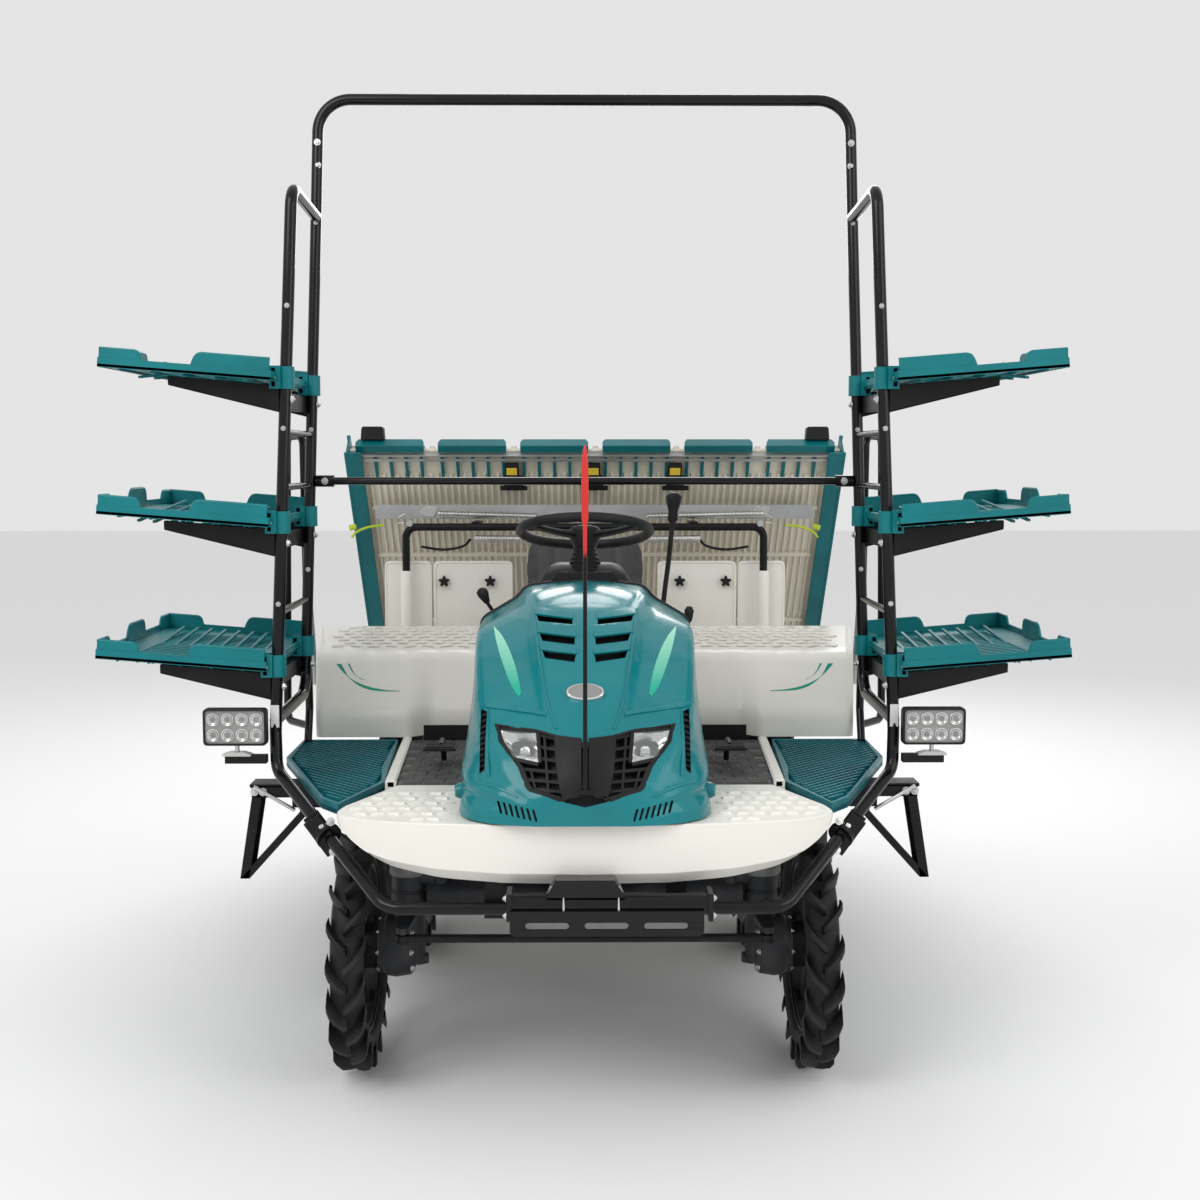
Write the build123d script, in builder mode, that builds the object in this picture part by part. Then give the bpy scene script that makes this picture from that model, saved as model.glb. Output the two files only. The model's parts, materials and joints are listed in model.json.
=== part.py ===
"""A riding six-row rice transplanter: a four-wheel carrier with seedling racks, and a
planting unit on a lifting linkage behind it.

Frame: millimetres, +Z up, the machine drives towards -Y and +X is on its left side.
The origin is on the ground, under the middle of the machine.
"""

import os
from math import cos, radians, sin

from build123d import *

os.makedirs("parts", exist_ok=True)

# ---------------------------------------------------------------- driving dimensions
# wheels and axles
FRONT_AXLE_Y = -1040
REAR_AXLE_Y = 10
FRONT_WHEEL_R = 325
REAR_WHEEL_R = 450
FRONT_WHEEL_X = 600
REAR_WHEEL_X = 585
FRONT_TYRE_WIDTH = 94
REAR_TYRE_WIDTH = 150
KINGPIN_X = 470
STEER_ARM = (0, -160)
STEER_ARM_Z = 405
AXLE_BEAM_Z = 470

# frame, floor and deck
RAIL_X = 220
RAIL_WIDTH = 50
RAIL_BOTTOM = 600
RAIL_TOP = 672
FLOOR_BOTTOM = 728
FLOOR_TOP = 742
TREAD_TOP = 758
DECK_TOP = 754
DECK_BOTTOM = 730
GUARD_Y = -1440
GUARD_Z = 541
TUBE_R = 16

# bonnet
BONNET_BASE = 757
BONNET_REAR_Y = -720
BONNET_WALL = 6
POLE_Y = -1524

# racks
TRAY_LEVELS = (1088, 1465, 1843)
TRAY_LENGTH = 445
TRAY_TILT = 4.5
TRAY_FRONT_Y = -1070
TRAY_REAR_Y = -370
FRONT_POST_FOOT = (818, -1040, 905)
FRONT_POST_HEAD = (768, -950, 2330)
REAR_POST_FOOT = (818, -588, 975)
REAR_POST_HEAD = (776, -520, 2360)
HOOP_TOP = 2669

# driver's place
COVER_FRONT_Y = -350
COVER_REAR_Y = 360
COVER_BOTTOM = 762
WHEEL_TILT = 15
STEERING_HUB = (0, -600, 1412)
STEERING_R = 186

# lifting linkage, in the raised position
LINK_LENGTH = 520
LINK_RISE = 25
LOWER_PIVOT = (300, 420)
UPPER_PIVOT = (220, 800)
LINK_PLATE_X = 78
LIFT_BASE = (-240, 660)
LIFT_LEVER = 131.5
LIFT_LEVER_ANGLE = -72.5
PIN_R = 12
RUNNING_FIT = 0.06

# planting unit
STAGE_TOP = (620, 1664)
STAGE_SLOPE = 50.5
STAGE_LENGTH = 1377
STAGE_HALF_WIDTH = 913
STAGE_SHIFT = 38
ROW_PITCH = 300
TOOLBAR = (850, 600)
SUPPORT_Y = 580
SUPPORT_Z = 1372
SUPPORT_X = 655
ROTOR_AXIS = (1360, 500)
CRANK_R = 75
CRANK_PHASE = 60
CASE_X = (-600, 0, 600)
FLOAT_BOTTOM = 320
MARKER_HINGE = (925, 1020, 655)
MARKER_PIN_R = 8
CLAW_BORE_R = 9.06
# corners of a folded marker arm above its hinge: outwards, rearwards, up
MARKER_ARM = ((1070, 1010, 740), (1050, 760, 1200), (1014, 600, 1495))


# ---------------------------------------------------------------- shape helpers
def block(x0, x1, y0, y1, z0, z1, mode=Mode.ADD):
    """A box given by its limits, in the part that is being built."""
    with Locations(((x0 + x1) / 2, (y0 + y1) / 2, (z0 + z1) / 2)):
        Box(abs(x1 - x0), abs(y1 - y0), abs(z1 - z0), mode=mode)


def rod(start, end, radius, mode=Mode.ADD):
    """A straight round bar between two points, in the part that is being built."""
    run = Vector(*end) - Vector(*start)
    with BuildSketch(Plane(origin=start, z_dir=run)) as section:
        Circle(radius)
    extrude(section.sketch, amount=run.length, mode=mode)


def bent_tube(points, radius, bend):
    """A round tube of straight runs and equal bends, in the part that is being built."""
    with BuildLine() as route:
        FilletPolyline(*points, radius=bend)
    with BuildSketch(Plane(origin=points[0], z_dir=route.line % 0)) as section:
        Circle(radius)
    sweep(sections=section.sketch, path=route.line)


def side_profile(points, x0, x1, mode=Mode.ADD):
    """A (y, z) outline extruded across the machine from x0 to x1."""
    with BuildSketch(Plane.YZ.offset(min(x0, x1))) as section:
        Polygon(*points, align=None)
    extrude(section.sketch, amount=abs(x1 - x0), mode=mode)


def front_profile(points, y0, y1, mode=Mode.ADD):
    """An (x, z) outline extruded along the machine from y0 to y1."""
    with BuildSketch(Plane.XZ.offset(-max(y0, y1))) as section:
        Polygon(*points, align=None)
    extrude(section.sketch, amount=abs(y1 - y0), mode=mode)


def plan(points, z0, z1, mode=Mode.ADD):
    """An (x, y) outline extruded upwards from z0 to z1."""
    with BuildSketch(Plane.XY.offset(z0)) as section:
        Polygon(*points, align=None)
    extrude(section.sketch, amount=z1 - z0, mode=mode)


def between(low, high, share):
    """The point at a share of the way from low to high."""
    return tuple(a + (b - a) * share for a, b in zip(low, high))


def post_at(foot, head, z):
    """The point of a leaning post at height z."""
    return between(foot, head, (z - foot[2]) / (head[2] - foot[2]))


def save(part, name):
    """Label a finished piece and write it as its own STEP file."""
    part.label = name
    export_step(part, f"parts/{name}.step")


def both_sides():
    """Add the mirror image of what has been built, for the other side of the machine."""
    mirror(about=Plane.YZ)


# ---------------------------------------------------------------- frame and drive line
with BuildPart() as chassis_frame:
    block(RAIL_X - RAIL_WIDTH / 2, RAIL_X + RAIL_WIDTH / 2, -1424, 300, RAIL_BOTTOM, RAIL_TOP)
    # struts down to both axles, and the drop plate that carries the front guard
    block(RAIL_X - 25, RAIL_X + 25, FRONT_AXLE_Y - 30, FRONT_AXLE_Y + 30, AXLE_BEAM_Z + 40, RAIL_BOTTOM)
    block(RAIL_X - 25, RAIL_X + 25, REAR_AXLE_Y - 40, REAR_AXLE_Y + 40, 510, RAIL_BOTTOM)
    block(RAIL_X - 25, RAIL_X + 25, -1424, -1412, GUARD_Z - 30, RAIL_BOTTOM)
    # outriggers under the floor and the side steps
    for outrigger_y in (-905, -480):
        block(0, 800, outrigger_y - 20, outrigger_y + 20, RAIL_TOP, FLOOR_BOTTOM)
    # posts of the deck's front edge
    block(RAIL_X - 25, RAIL_X + 25, -1424, -1380, RAIL_TOP, DECK_BOTTOM)
    # rear mast plates with the pivots of the two lifting links
    mast = [(190, 600), (262, 380), (338, 380), (338, 450), (300, 600), (262, 840), (180, 840)]
    side_profile(mast, LINK_PLATE_X, LINK_PLATE_X + 14)
    both_sides()
    for member_y, member_top in ((-1400, 660), (-700, 660), (-308, 660), (250, 636)):
        block(-RAIL_X, RAIL_X, member_y - 22, member_y + 22, RAIL_BOTTOM, member_top)
    # ears for the lift cylinder
    for ear_x in (-42, 30):
        block(ear_x, ear_x + 12, -300, LIFT_BASE[0] + 22, LIFT_BASE[1] - 22, LIFT_BASE[1] + 22)
    for pivot in (LOWER_PIVOT, UPPER_PIVOT):
        rod((-110, *pivot), (110, *pivot), PIN_R + RUNNING_FIT, mode=Mode.SUBTRACT)
    rod((-60, *LIFT_BASE), (60, *LIFT_BASE), 10 + RUNNING_FIT, mode=Mode.SUBTRACT)
save(chassis_frame.part, "chassis_frame")

with BuildPart() as engine:
    block(-170, 170, -1290, -935, RAIL_TOP, 975)
save(engine.part, "engine")

with BuildPart() as transmission_case:
    block(-110, 110, -945, -130, 400, RAIL_BOTTOM)
    chamfer(transmission_case.edges().filter_by(Axis.Y), length=25)
save(transmission_case.part, "transmission_case")

with BuildPart() as front_axle:
    rod((-418, FRONT_AXLE_Y, AXLE_BEAM_Z), (418, FRONT_AXLE_Y, AXLE_BEAM_Z), 40)
    block(-95, 95, FRONT_AXLE_Y - 68, -945, 410, 560)
    for side in (-1, 1):
        rod((side * KINGPIN_X, FRONT_AXLE_Y, 482), (side * KINGPIN_X, FRONT_AXLE_Y, 590), 46)
        rod((side * 400, FRONT_AXLE_Y, 520), (side * KINGPIN_X, FRONT_AXLE_Y, 520), 34)
        rod((side * 388, FRONT_AXLE_Y, AXLE_BEAM_Z), (side * 388, FRONT_AXLE_Y, 545), 30)
save(front_axle.part, "front_axle")

with BuildPart() as rear_axle_case:
    block(-130, 130, -130, 140, 350, 565)
    chamfer(rear_axle_case.edges().filter_by(Axis.X), length=30)
    rod((-488, REAR_AXLE_Y, REAR_WHEEL_R), (488, REAR_AXLE_Y, REAR_WHEEL_R), 60)
    for side in (-1, 1):
        rod((side * 455, REAR_AXLE_Y, REAR_WHEEL_R), (side * 488, REAR_AXLE_Y, REAR_WHEEL_R), 88)
save(rear_axle_case.part, "rear_axle_case")

# ---------------------------------------------------------------- front guard and bumper
GUARD_END = (655, -1243, 679)
GUARD_BEND = (483, GUARD_Y, GUARD_Z)
with BuildPart() as front_guard:
    bent_tube(
        [
            (-GUARD_END[0], GUARD_END[1], GUARD_END[2]),
            (-GUARD_BEND[0], GUARD_Y, GUARD_Z),
            GUARD_BEND,
            GUARD_END,
        ],
        TUBE_R,
        70,
    )
    # flange plates that the racks bolt to
    for side in (-1, 1):
        with Locations(Plane(origin=(side * 648, -1251, 673), z_dir=(side * 172, 197, 138))):
            Cylinder(34, 12)
save(front_guard.part, "front_guard")

with BuildPart() as bumper:
    rod((-184, -1500, 568), (300, -1500, 568), 26)
    # slotted plate under the tube
    block(-178, 280, -1536, -1530, 500, 560)
    block(-150, 250, -1536, -1500, 552, 560)
    with BuildSketch(Plane.XZ.offset(1525)) as slots:
        with Locations((50, 525)):
            with GridLocations(140, 0, 3, 1):
                SlotOverall(104, 16)
    extrude(slots.sketch, amount=20, mode=Mode.SUBTRACT)
    # brackets back to the guard tube and the cover on top
    for bracket_x in (-90, 190):
        block(bracket_x - 20, bracket_x + 20, -1500, GUARD_Y - TUBE_R, 530, 562)
    front_profile([(-93, 590), (93, 590), (70, 632), (-70, 632)], -1525, -1478)
save(bumper.part, "bumper")

# ---------------------------------------------------------------- deck, floor and steps
DECK_OUTLINE = [
    (0, -1478),
    (200, -1476),
    (363, -1462),
    (480, -1438),
    (560, -1402),
    (606, -1362),
    (615, -1325),
    (603, -1265),
    (500, -1019),
    (0, -1019),
]
SKIRT_FOOT = [
    (0, 604),
    (80, 600),
    (240, 604),
    (363, 614),
    (480, 634),
    (545, 660),
    (590, 694),
    (630, 735),
    (630, 500),
    (0, 500),
]
with BuildPart() as front_deck:
    plan(DECK_OUTLINE, DECK_BOTTOM, DECK_TOP)
    with BuildSketch(Plane.XY.offset(598)) as skirt:
        Polygon(*DECK_OUTLINE, align=None)
        Polygon(*[(x, y + 14) for x, y in DECK_OUTLINE], align=None, mode=Mode.SUBTRACT)
        with Locations((320, -1200)):
            Rectangle(700, 363, mode=Mode.SUBTRACT)
    extrude(skirt.sketch, amount=DECK_BOTTOM - 598)
    front_profile(SKIRT_FOOT, -1520, -1200, mode=Mode.SUBTRACT)
    # well for the engine, under the bonnet
    block(-10, 262, -1405, -1000, 700, 800, mode=Mode.SUBTRACT)
    both_sides()
save(front_deck.part, "front_deck")

with BuildPart() as floor_deck:
    block(0, 562, -1012, COVER_FRONT_Y + 4, FLOOR_BOTTOM, FLOOR_TOP)
    block(0, 290, -1012, -760, FLOOR_BOTTOM, FLOOR_TOP, mode=Mode.SUBTRACT)
    # raised strip between the mat and the side step
    plan([(505, -1012), (535, -1012), (562, -354), (536, -354)], FLOOR_TOP - 2, TREAD_TOP + 4)
    plan([(535.5, -1013), (570, -1013), (570, -340), (562.5, -340)], 700, 780, mode=Mode.SUBTRACT)
    both_sides()
save(floor_deck.part, "floor_deck")

with BuildPart() as floor_mats:
    plan([(312, -1010), (503, -1010), (534, -356), (312, -356)], FLOOR_TOP, TREAD_TOP)
    both_sides()
save(floor_mats.part, "floor_mats")

STEP_OUTLINE = [
    (578, -354),
    (554, -772),
    (539, -991),
    (622, -1258),
    (674, -1188),
    (869, -639),
    (869, -354),
]
with BuildPart() as side_steps:
    plan(STEP_OUTLINE, FLOOR_BOTTOM, TREAD_TOP)
    both_sides()
save(side_steps.part, "side_steps")

STEP_BRACKET_Y = (-882, -802)
with BuildPart() as step_brackets:
    # two channel legs that meet at the foot, hung from the outer edge of each side step
    for leg_top in ((905, 700), (772, 652)):
        leg = [(leg_top[0] - 13, leg_top[1]), (leg_top[0] + 13, leg_top[1]), (956, 462), (930, 462)]
        front_profile(leg, *STEP_BRACKET_Y)
    block(755, 920, *STEP_BRACKET_Y, 690, 724)
    front_profile([(755, 724), (800, 724), (790, 640), (765, 640)], *STEP_BRACKET_Y)
    # hanger up to the step's edge
    block(790, 925, -870, -815, 724, 727.5)
    rod((912, -842, 716), (912, -842, 795), 9)
    both_sides()
save(step_brackets.part, "step_brackets")

# ---------------------------------------------------------------- rear cover and seat
COVER_TOP_FRONT = (-165, 1012)
COVER_TOP_REAR = (COVER_REAR_Y, 1040)


def cover_profile(inset):
    """The rear cover's (y, z) outline, moved inwards by its wall thickness."""
    return [
        (COVER_FRONT_Y + inset, COVER_BOTTOM - inset * 4),
        (COVER_FRONT_Y + inset, COVER_BOTTOM),
        (COVER_TOP_FRONT[0] - 40 + inset, COVER_TOP_FRONT[1] - 38 - inset / 2),
        (COVER_TOP_FRONT[0] + inset / 2, COVER_TOP_FRONT[1] - inset),
        (COVER_TOP_REAR[0] - inset, COVER_TOP_REAR[1] - inset),
        (COVER_TOP_REAR[0] - inset, COVER_BOTTOM - inset * 4),
    ]


def cover_plan(inset):
    """Half of the rear cover's (x, y) outline, moved inwards by its wall thickness."""
    return [
        (0, COVER_FRONT_Y - 5),
        (832 - inset, COVER_FRONT_Y - 5),
        (942 - inset, COVER_REAR_Y + 5),
        (0, COVER_REAR_Y + 5),
    ]


with BuildPart() as cover_hollow:
    side_profile(cover_profile(8), 0, 960)
    plan(cover_plan(8), 700, 1100, mode=Mode.INTERSECT)

with BuildPart() as rear_cover:
    side_profile(cover_profile(0), 0, 960)
    plan(cover_plan(0), 700, 1100, mode=Mode.INTERSECT)
    add(cover_hollow.part, mode=Mode.SUBTRACT)
    # the lifting links pass through the rear wall
    block(-10, 150, COVER_REAR_Y - 20, COVER_REAR_Y + 10, 700, 960, mode=Mode.SUBTRACT)
    both_sides()
save(rear_cover.part, "rear_cover")

with BuildPart() as seat_base:
    side_profile([(-120, 1015), (240, 1034.5), (240, 1062), (-120, 1062)], -170, 170)
save(seat_base.part, "seat_base")

with BuildPart() as seat_cushion:
    block(-230, 230, -160, 262, 1062, 1142)
    fillet(seat_cushion.edges().filter_by(Axis.Z), radius=60)
    fillet(seat_cushion.faces().sort_by(Axis.Z)[-1].edges(), radius=22)
save(seat_cushion.part, "seat_cushion")

with BuildPart() as seat_backrest:
    side_profile([(200, 1144), (262, 1144), (330, 1346), (268, 1346)], -222, 222)
    fillet(seat_backrest.edges().filter_by(Axis.X), radius=18)
save(seat_backrest.part, "seat_backrest")

# ---------------------------------------------------------------- dash, column and controls
HUB_AXIS = (0, sin(radians(WHEEL_TILT)), cos(radians(WHEEL_TILT)))


def along_column(distance):
    """A point on the steering column, measured upwards from the wheel's hub."""
    return tuple(h + a * distance for h, a in zip(STEERING_HUB, HUB_AXIS))


with BuildPart() as dash_cowl:
    block(-205, 205, -690, -500, FLOOR_TOP, 1180)
    fillet(dash_cowl.edges().filter_by(Axis.Z), radius=40)
    hump = [(-700, 1180), (-500, 1180), (-540, 1285), (-590, 1318), (-650, 1318), (-700, 1262)]
    side_profile(hump, -142, 142)
    rod(along_column(-160), along_column(-26), 28)
save(dash_cowl.part, "dash_cowl")

with BuildPart() as steering_wheel:
    with Locations(Plane(origin=STEERING_HUB, z_dir=HUB_AXIS)):
        Torus(STEERING_R, 14)
        with Locations((0, 0, -5)):
            Cylinder(38, 34)
        with PolarLocations(90, 3, start_angle=90):
            Box(190, 26, 14)
save(steering_wheel.part, "steering_wheel")

with BuildPart() as controls:
    # main lever on the right of the column, as seen from the front
    rod((232, -505, 1120), (242, -480, 1260), 8)
    rod((242, -480, 1260), (263, -452, 1440), 8)
    with Locations((265, -450, 1478)):
        Cylinder(24, 84)
    block(206, 245, -525, -490, 1090, 1140)
    # short levers on both sides of the cowl
    rod((-206, -600, 1120), (-262, -600, 1175), 6)
    rod((-262, -600, 1175), (-292, -600, 1206), 6)
    with Locations((-296, -600, 1224)):
        Sphere(22)
    rod((206, -600, 1100), (300, -600, 1150), 6)
    with Locations((302, -600, 1168)):
        Cylinder(14, 46)
    # pedals over the mats
    for side in (-1, 1):
        block(side * 360, side * 450, -845, -760, 812, 824)
        rod((side * 405, -800, 812), (side * 405, -700, TREAD_TOP + 12), 8)
save(controls.part, "controls")

# ---------------------------------------------------------------- racks beside the driver
with BuildPart() as rack_posts:
    # front post: from the guard's flange, out, up, and back over to the rear post
    bent_tube(
        [
            (659, -1238, 682),
            (812, -1063, 805),
            FRONT_POST_FOOT,
            FRONT_POST_HEAD,
            (REAR_POST_HEAD[0] - 1, -540, 2316),
        ],
        TUBE_R,
        55,
    )
    # rear post, with its foot turned forwards into the front post
    bent_tube(
        [(820, -1030, 930), (818, -640, 940), REAR_POST_FOOT, REAR_POST_HEAD],
        TUBE_R,
        45,
    )
    for rung_z in (1215, 1545, 1690):
        rod(
            post_at(FRONT_POST_FOOT, FRONT_POST_HEAD, rung_z),
            post_at(REAR_POST_FOOT, REAR_POST_HEAD, rung_z),
            9,
        )
    # boarding rail behind the posts, carried by the side step's corner
    bent_tube(
        [
            (850, -392, TREAD_TOP),
            (852, -346, 850),
            (858, -346, 1690),
            (925, -250, 1690),
            (938, -250, 800),
            (855, -355, 800),
        ],
        12,
        30,
    )
    both_sides()
save(rack_posts.part, "rack_posts")

with BuildPart() as top_hoop:
    left_foot = (-REAR_POST_HEAD[0], REAR_POST_HEAD[1], REAR_POST_HEAD[2] + 1)
    bent_tube(
        [
            left_foot,
            (-768, -506, HOOP_TOP - TUBE_R),
            (768, -506, HOOP_TOP - TUBE_R),
            (REAR_POST_HEAD[0], REAR_POST_HEAD[1], REAR_POST_HEAD[2] + 1),
        ],
        TUBE_R,
        95,
    )
save(top_hoop.part, "top_hoop")

BRACE_END = post_at(REAR_POST_FOOT, REAR_POST_HEAD, 1556)
with BuildPart() as brace_bar:
    reach = BRACE_END[0] - TUBE_R - 1
    rod((-reach, BRACE_END[1], BRACE_END[2]), (reach, BRACE_END[1], BRACE_END[2]), 11)
    for side in (-1, 1):
        clamp_start = (side * reach, BRACE_END[1], BRACE_END[2])
        clamp_end = (side * (reach - 52), BRACE_END[1], BRACE_END[2])
        rod(clamp_start, clamp_end, 17)
save(brace_bar.part, "brace_bar")

TRAY_INNER_X = 30


def tray_frame(level):
    """The place of a tray: its inner edge beside the posts, rising outwards."""
    inner_x = post_at(FRONT_POST_FOOT, FRONT_POST_HEAD, level)[0] + TRAY_INNER_X - 8
    return Location((inner_x, TRAY_FRONT_Y, level), (0, -TRAY_TILT, 0))


with BuildPart() as seedling_trays:
    depth = TRAY_REAR_Y - TRAY_FRONT_Y
    lip_height = 34
    for level in TRAY_LEVELS:
        with Locations(tray_frame(level)):
            block(0, TRAY_LENGTH, 0, depth, -22, -12)
            # low rim all round, and raised lips at the corners
            for rim_y in (0, depth - 8):
                block(0, TRAY_LENGTH, rim_y, rim_y + 8, -22, 2)
                block(20, 170, rim_y, rim_y + 8, 0, lip_height - 8)
                block(300, TRAY_LENGTH, rim_y, rim_y + 8, 0, lip_height - 8)
            for rim_x in (0, TRAY_LENGTH - 8):
                block(rim_x, rim_x + 8, 0, depth, -22, 2)
            for lip_y in (0, depth / 2 - 60, depth - 120):
                block(TRAY_LENGTH - 8, TRAY_LENGTH, lip_y, lip_y + 120, 0, lip_height - 8)
    both_sides()
save(seedling_trays.part, "seedling_trays")

with BuildPart() as tray_arms:
    for level in TRAY_LEVELS:
        for foot, head in ((FRONT_POST_FOOT, FRONT_POST_HEAD), (REAR_POST_FOOT, REAR_POST_HEAD)):
            post = post_at(foot, head, level)
            inner = post[0] + TUBE_R + 1
            arm = [
                (inner, level - 26),
                (inner + 290, level - 3),
                (inner + 290, level - 24),
                (inner, level - 100),
            ]
            front_profile(arm, post[1] - 14, post[1] + 14)
        front_post = post_at(FRONT_POST_FOOT, FRONT_POST_HEAD, level)
        rear_post = post_at(REAR_POST_FOOT, REAR_POST_HEAD, level)
        block(front_post[0] + 22, front_post[0] + 50, front_post[1], rear_post[1], level - 90, level - 40)
    both_sides()
save(tray_arms.part, "tray_arms")

with BuildPart() as work_lamps:
    block(826, 993, -1120, -1066, 877, 976)
    fillet(work_lamps.edges().filter_by(Axis.Y), radius=8)
    block(880, 940, -1100, -1070, 846, 877)
    block(836, 945, -1080, -1050, 822, 846)
    both_sides()
save(work_lamps.part, "work_lamps")

# ---------------------------------------------------------------- bonnet
# Stations along the bonnet: y, top height, shoulder height, then half widths at the
# foot, the shoulder and the top.
BONNET_STATIONS = (
    (BONNET_REAR_Y, 1262, 1170, 300, 292, 166),
    (-900, 1245, 1150, 306, 290, 160),
    (-1060, 1195, 1090, 310, 280, 150),
    (-1200, 1120, 1015, 308, 268, 140),
    (-1320, 1040, 945, 296, 245, 125),
    (-1420, 960, 880, 262, 212, 105),
    (-1480, 895, 830, 215, 170, 90),
    (-1508, 850, 800, 150, 120, 70),
)


def bonnet_loft(inset, base):
    """The bonnet's outer shape, or the space inside it when inset by the wall."""
    with BuildPart(mode=Mode.PRIVATE) as body:
        for y, top, shoulder, foot_w, shoulder_w, top_w in BONNET_STATIONS:
            at_end = y == BONNET_STATIONS[-1][0]
            with BuildSketch(Plane.XZ.offset(-(y + (inset if at_end else 0)))):
                Polygon(
                    (-foot_w + inset, base),
                    (foot_w - inset, base),
                    (shoulder_w - inset, shoulder - inset),
                    (top_w - inset, top - inset),
                    (-top_w + inset, top - inset),
                    (-shoulder_w + inset, shoulder - inset),
                    align=None,
                )
        loft(ruled=True)
    return body.part


bonnet_outside = bonnet_loft(0, BONNET_BASE)
bonnet_inside = bonnet_loft(BONNET_WALL, BONNET_BASE - 1)
with BuildPart() as bonnet_shell:
    add(bonnet_outside)
    add(bonnet_inside, mode=Mode.SUBTRACT)
    # the rear is open towards the cowl, and the nose is open for the grille
    block(-280, 280, BONNET_REAR_Y - 20, BONNET_REAR_Y + 5, BONNET_BASE - 1, 1150, mode=Mode.SUBTRACT)
    # hinge eyes under the nose
    for eye_x in (-60, 60):
        rod((eye_x - 20, -1508, BONNET_BASE), (eye_x + 20, -1508, BONNET_BASE), 6)
save(bonnet_shell.part, "bonnet_shell")

with BuildPart() as bonnet_grille:
    # V-shaped black nose piece standing on the front of the bonnet
    front_profile([(-70, 850), (70, 850), (34, 800), (0, 785), (-34, 800)], -1517, -1508.5)
save(bonnet_grille.part, "bonnet_grille")

with BuildPart() as headlights:
    for side in (-1, 1):
        with Locations(Location((side * 172, -1452, 905), (0, 0, side * 34))):
            Box(110, 12, 60)
            with Locations((0, 30, 0)):
                Box(60, 60, 40)
    add(bonnet_outside, mode=Mode.SUBTRACT)
save(headlights.part, "headlights")

with BuildPart() as sight_pole:
    rod((0, POLE_Y, 842), (0, POLE_Y, 1455), 5)
    rod((0, POLE_Y, 1455), (0, POLE_Y, 1652), 8)
    rod((-16, POLE_Y, 842), (16, POLE_Y, 842), 6.5)
save(sight_pole.part, "sight_pole")

# ---------------------------------------------------------------- wheels and steering


def knuckle(side, name):
    """A steering knuckle: kingpin leg, final drive to the wheel hub and steering arm."""
    with BuildPart() as piece:
        rod((side * KINGPIN_X, FRONT_AXLE_Y, 285), (side * KINGPIN_X, FRONT_AXLE_Y, 479), 42)
        hub_z = FRONT_WHEEL_R
        rod((side * KINGPIN_X, FRONT_AXLE_Y, hub_z), (side * 549, FRONT_AXLE_Y, hub_z), 74)
        ball_x = side * (KINGPIN_X + STEER_ARM[0])
        ball_y = FRONT_AXLE_Y + STEER_ARM[1]
        arm = [
            (side * (KINGPIN_X - 28), FRONT_AXLE_Y),
            (side * (KINGPIN_X + 28), FRONT_AXLE_Y),
            (ball_x + side * 16, ball_y),
            (ball_x - side * 16, ball_y),
        ]
        plan(arm, STEER_ARM_Z, STEER_ARM_Z + 16)
        rod((ball_x, ball_y, STEER_ARM_Z), (ball_x, ball_y, STEER_ARM_Z + 16), 16)
        rod((ball_x, ball_y, STEER_ARM_Z - 22), (ball_x, ball_y, STEER_ARM_Z), 7)
    save(piece.part, name)


def wheel_rim(side, name, centre, axle_y, hub_start, rim_r, rim_width, spokes):
    """A steel wheel: hub barrel on the axle flange, flat spokes and a rim ring."""
    radius = FRONT_WHEEL_R if axle_y == FRONT_AXLE_Y else REAR_WHEEL_R
    with BuildPart() as piece:
        rod((side * hub_start, axle_y, radius), (side * (centre + 18), axle_y, radius), 62)
        ring_start = (side * (centre - rim_width / 2), axle_y, radius)
        ring_end = (side * (centre + rim_width / 2), axle_y, radius)
        rod(ring_start, ring_end, rim_r)
        rod(ring_start, ring_end, rim_r - 26, mode=Mode.SUBTRACT)
        rod((side * hub_start, axle_y, radius), (side * (centre + 18), axle_y, radius), 62)
        wheel_plane = Plane(origin=(side * centre, axle_y, radius), x_dir=(0, 1, 0), z_dir=(1, 0, 0))
        with Locations(wheel_plane):
            with PolarLocations((rim_r + 30) / 2, spokes):
                Box(rim_r - 40, 44, 12)
    save(piece.part, name)


def tyre(side, name, centre, axle_y, radius, inner_r, width):
    """A lugged field tyre as a plain ring with bevelled shoulders."""
    half = width / 2
    with BuildPart() as piece:
        with BuildSketch(Plane.XY) as section:
            Polygon(
                (side * centre - half, inner_r),
                (side * centre - half, radius - 22),
                (side * centre - half + 16, radius),
                (side * centre + half - 16, radius),
                (side * centre + half, radius - 22),
                (side * centre + half, inner_r),
                align=None,
            )
        revolve(section.sketch, axis=Axis.X)
    save(piece.part.moved(Location((0, axle_y, radius))), name)


for side, hand in ((-1, "right"), (1, "left")):
    knuckle(side, f"knuckle_{hand}")
    wheel_rim(side, f"front_rim_{hand}", FRONT_WHEEL_X, FRONT_AXLE_Y, 552, 232, 44, 6)
    tyre(side, f"front_tyre_{hand}", FRONT_WHEEL_X, FRONT_AXLE_Y, FRONT_WHEEL_R, 232, FRONT_TYRE_WIDTH)
    wheel_rim(side, f"rear_rim_{hand}", REAR_WHEEL_X, REAR_AXLE_Y, 491, 345, 60, 8)
    tyre(side, f"rear_tyre_{hand}", REAR_WHEEL_X, REAR_AXLE_Y, REAR_WHEEL_R, 345, REAR_TYRE_WIDTH)

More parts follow.
